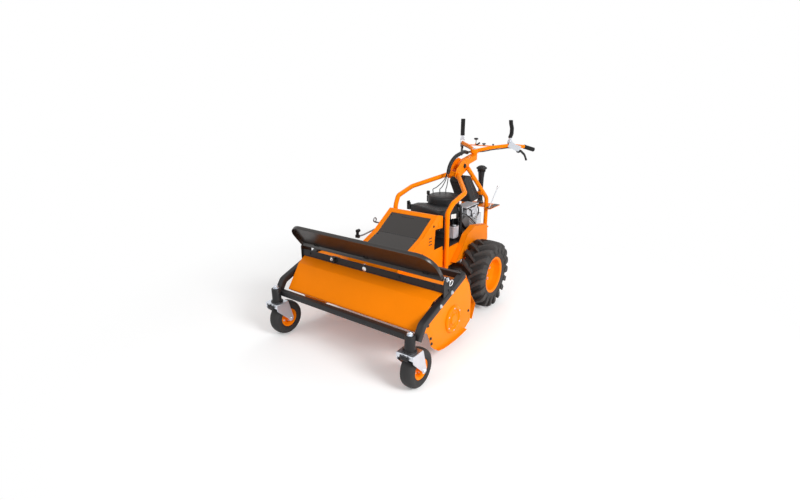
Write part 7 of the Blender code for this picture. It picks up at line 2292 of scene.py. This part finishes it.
# %% Muffler
def muffler():
    y = ENGINE_Y + 0.180
    half = 0.075
    profile = [(-half, 0.0), (-half, 0.034), (-half + 0.003, 0.038), (-half + 0.010, 0.0405),
               (-0.004, 0.0412), (-0.003, 0.0420), (0.003, 0.0420), (0.004, 0.0412),
               (half - 0.010, 0.0405), (half - 0.003, 0.038), (half, 0.034), (half, 0.0)]
    shapes = [spun(profile, "Y", (-0.150, y, 0.590), 48)]
    shapes.append(rod((-0.118, y, 0.578), (-0.0603, y, 0.578), 0.0135, 24))
    return shapes


def muffler_guard():
    shapes = []
    y = ENGINE_Y + 0.180
    for k in range(9):
        at = y - 0.062 + k * 0.0155
        ring = spun([(at - 0.0022, 0.0410), (at - 0.0022, 0.0418), (at + 0.0022, 0.0418),
                     (at + 0.0022, 0.0410)], "Y", (-0.150, 0, 0.590), 40, ring=True)
        shapes.append(ring)
    return shapes


piece("muffler_drum", muffler(), IRON, "chassis", ["muffler"])
piece("muffler_rings", muffler_guard(), STEEL, "chassis")
print("muffler done")

# %% Fenders
FENDER_SHEET = 0.003
FENDER_INNER = 0.2003
FENDER_OUTER = 0.245
FENDER_OUTLINE = [(-0.250, 0.385), (-0.150, 0.480), (-0.085, 0.560), (0.038, 0.602),
                  (0.255, 0.566), (0.272, 0.440), (0.225, 0.400)]


def fender(side):
    """A strip along the outline, open below, and the flat outer face."""
    outer = bend_flat(FENDER_OUTLINE, 0.018, 5)
    middle = shift_path(outer, -FENDER_SHEET / 2)
    return [side_plate(strip(middle, FENDER_SHEET), side, FENDER_INNER, FENDER_OUTER),
            side_plate(outer, side, FENDER_OUTER - FENDER_SHEET, FENDER_OUTER)]


def fender_bolts(side):
    shapes = []
    for y, z in ((-0.135, 0.470), (0.225, 0.545), (0.225, 0.445)):
        shapes.append(round_screw((side * 0.2425, y, z), (side, 0, 0), 0.0075, 0.0024))
    return shapes


for side, word in SIDES:
    piece("fender_sheet_" + word, fender(side), ORANGE, "chassis", ["fender_" + word],
          bevel=0.0009)
    piece("fender_bolts_" + word, fender_bolts(side), ZINC, "chassis")
print("fenders done")

# %% [markdown]
# Many parts of the drive are right as they were packed: shafts, pulleys, belts, gearboxes, knives
# and the plate below the engine. They keep their solids and only get real finishes.

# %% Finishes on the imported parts
PACKED = {
    "transaxle": IRON, "axle_shaft_left": STEEL, "axle_shaft_right": STEEL, "flail_rotor": STEEL,
    "knife_row_1": STEEL, "knife_row_2": STEEL, "knife_row_3": STEEL, "knife_row_4": STEEL,
    "engine_pulley": IRON, "gearbox_pulley": IRON, "blade_belt": BELT, "deck_gearbox": IRON,
    "cross_shaft": STEEL, "rotor_pulley": IRON, "rotor_belt": BELT, "chassis_frame": ORANGE,
}
for name, paint in PACKED.items():
    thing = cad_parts[name]
    for place in thing.material_slots:
        place.material = paint
shown = [name for name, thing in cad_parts.items() if not thing.hide_render]
print("packed parts that stay", len(shown), [n for n in shown if n not in PACKED])

# %% [markdown]
# The last cell takes the box of the imported model and of the dressed one, in metres, and prints
# both sizes in millimetres, so that they can be compared.

# %% Sizes
visual_bounds = [list(corner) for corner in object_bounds()]
for word, (low, high) in (("packed", cad_bounds), ("dressed", visual_bounds)):
    print(word, [round(1000 * (b - a), 1) for a, b in zip(low, high)])
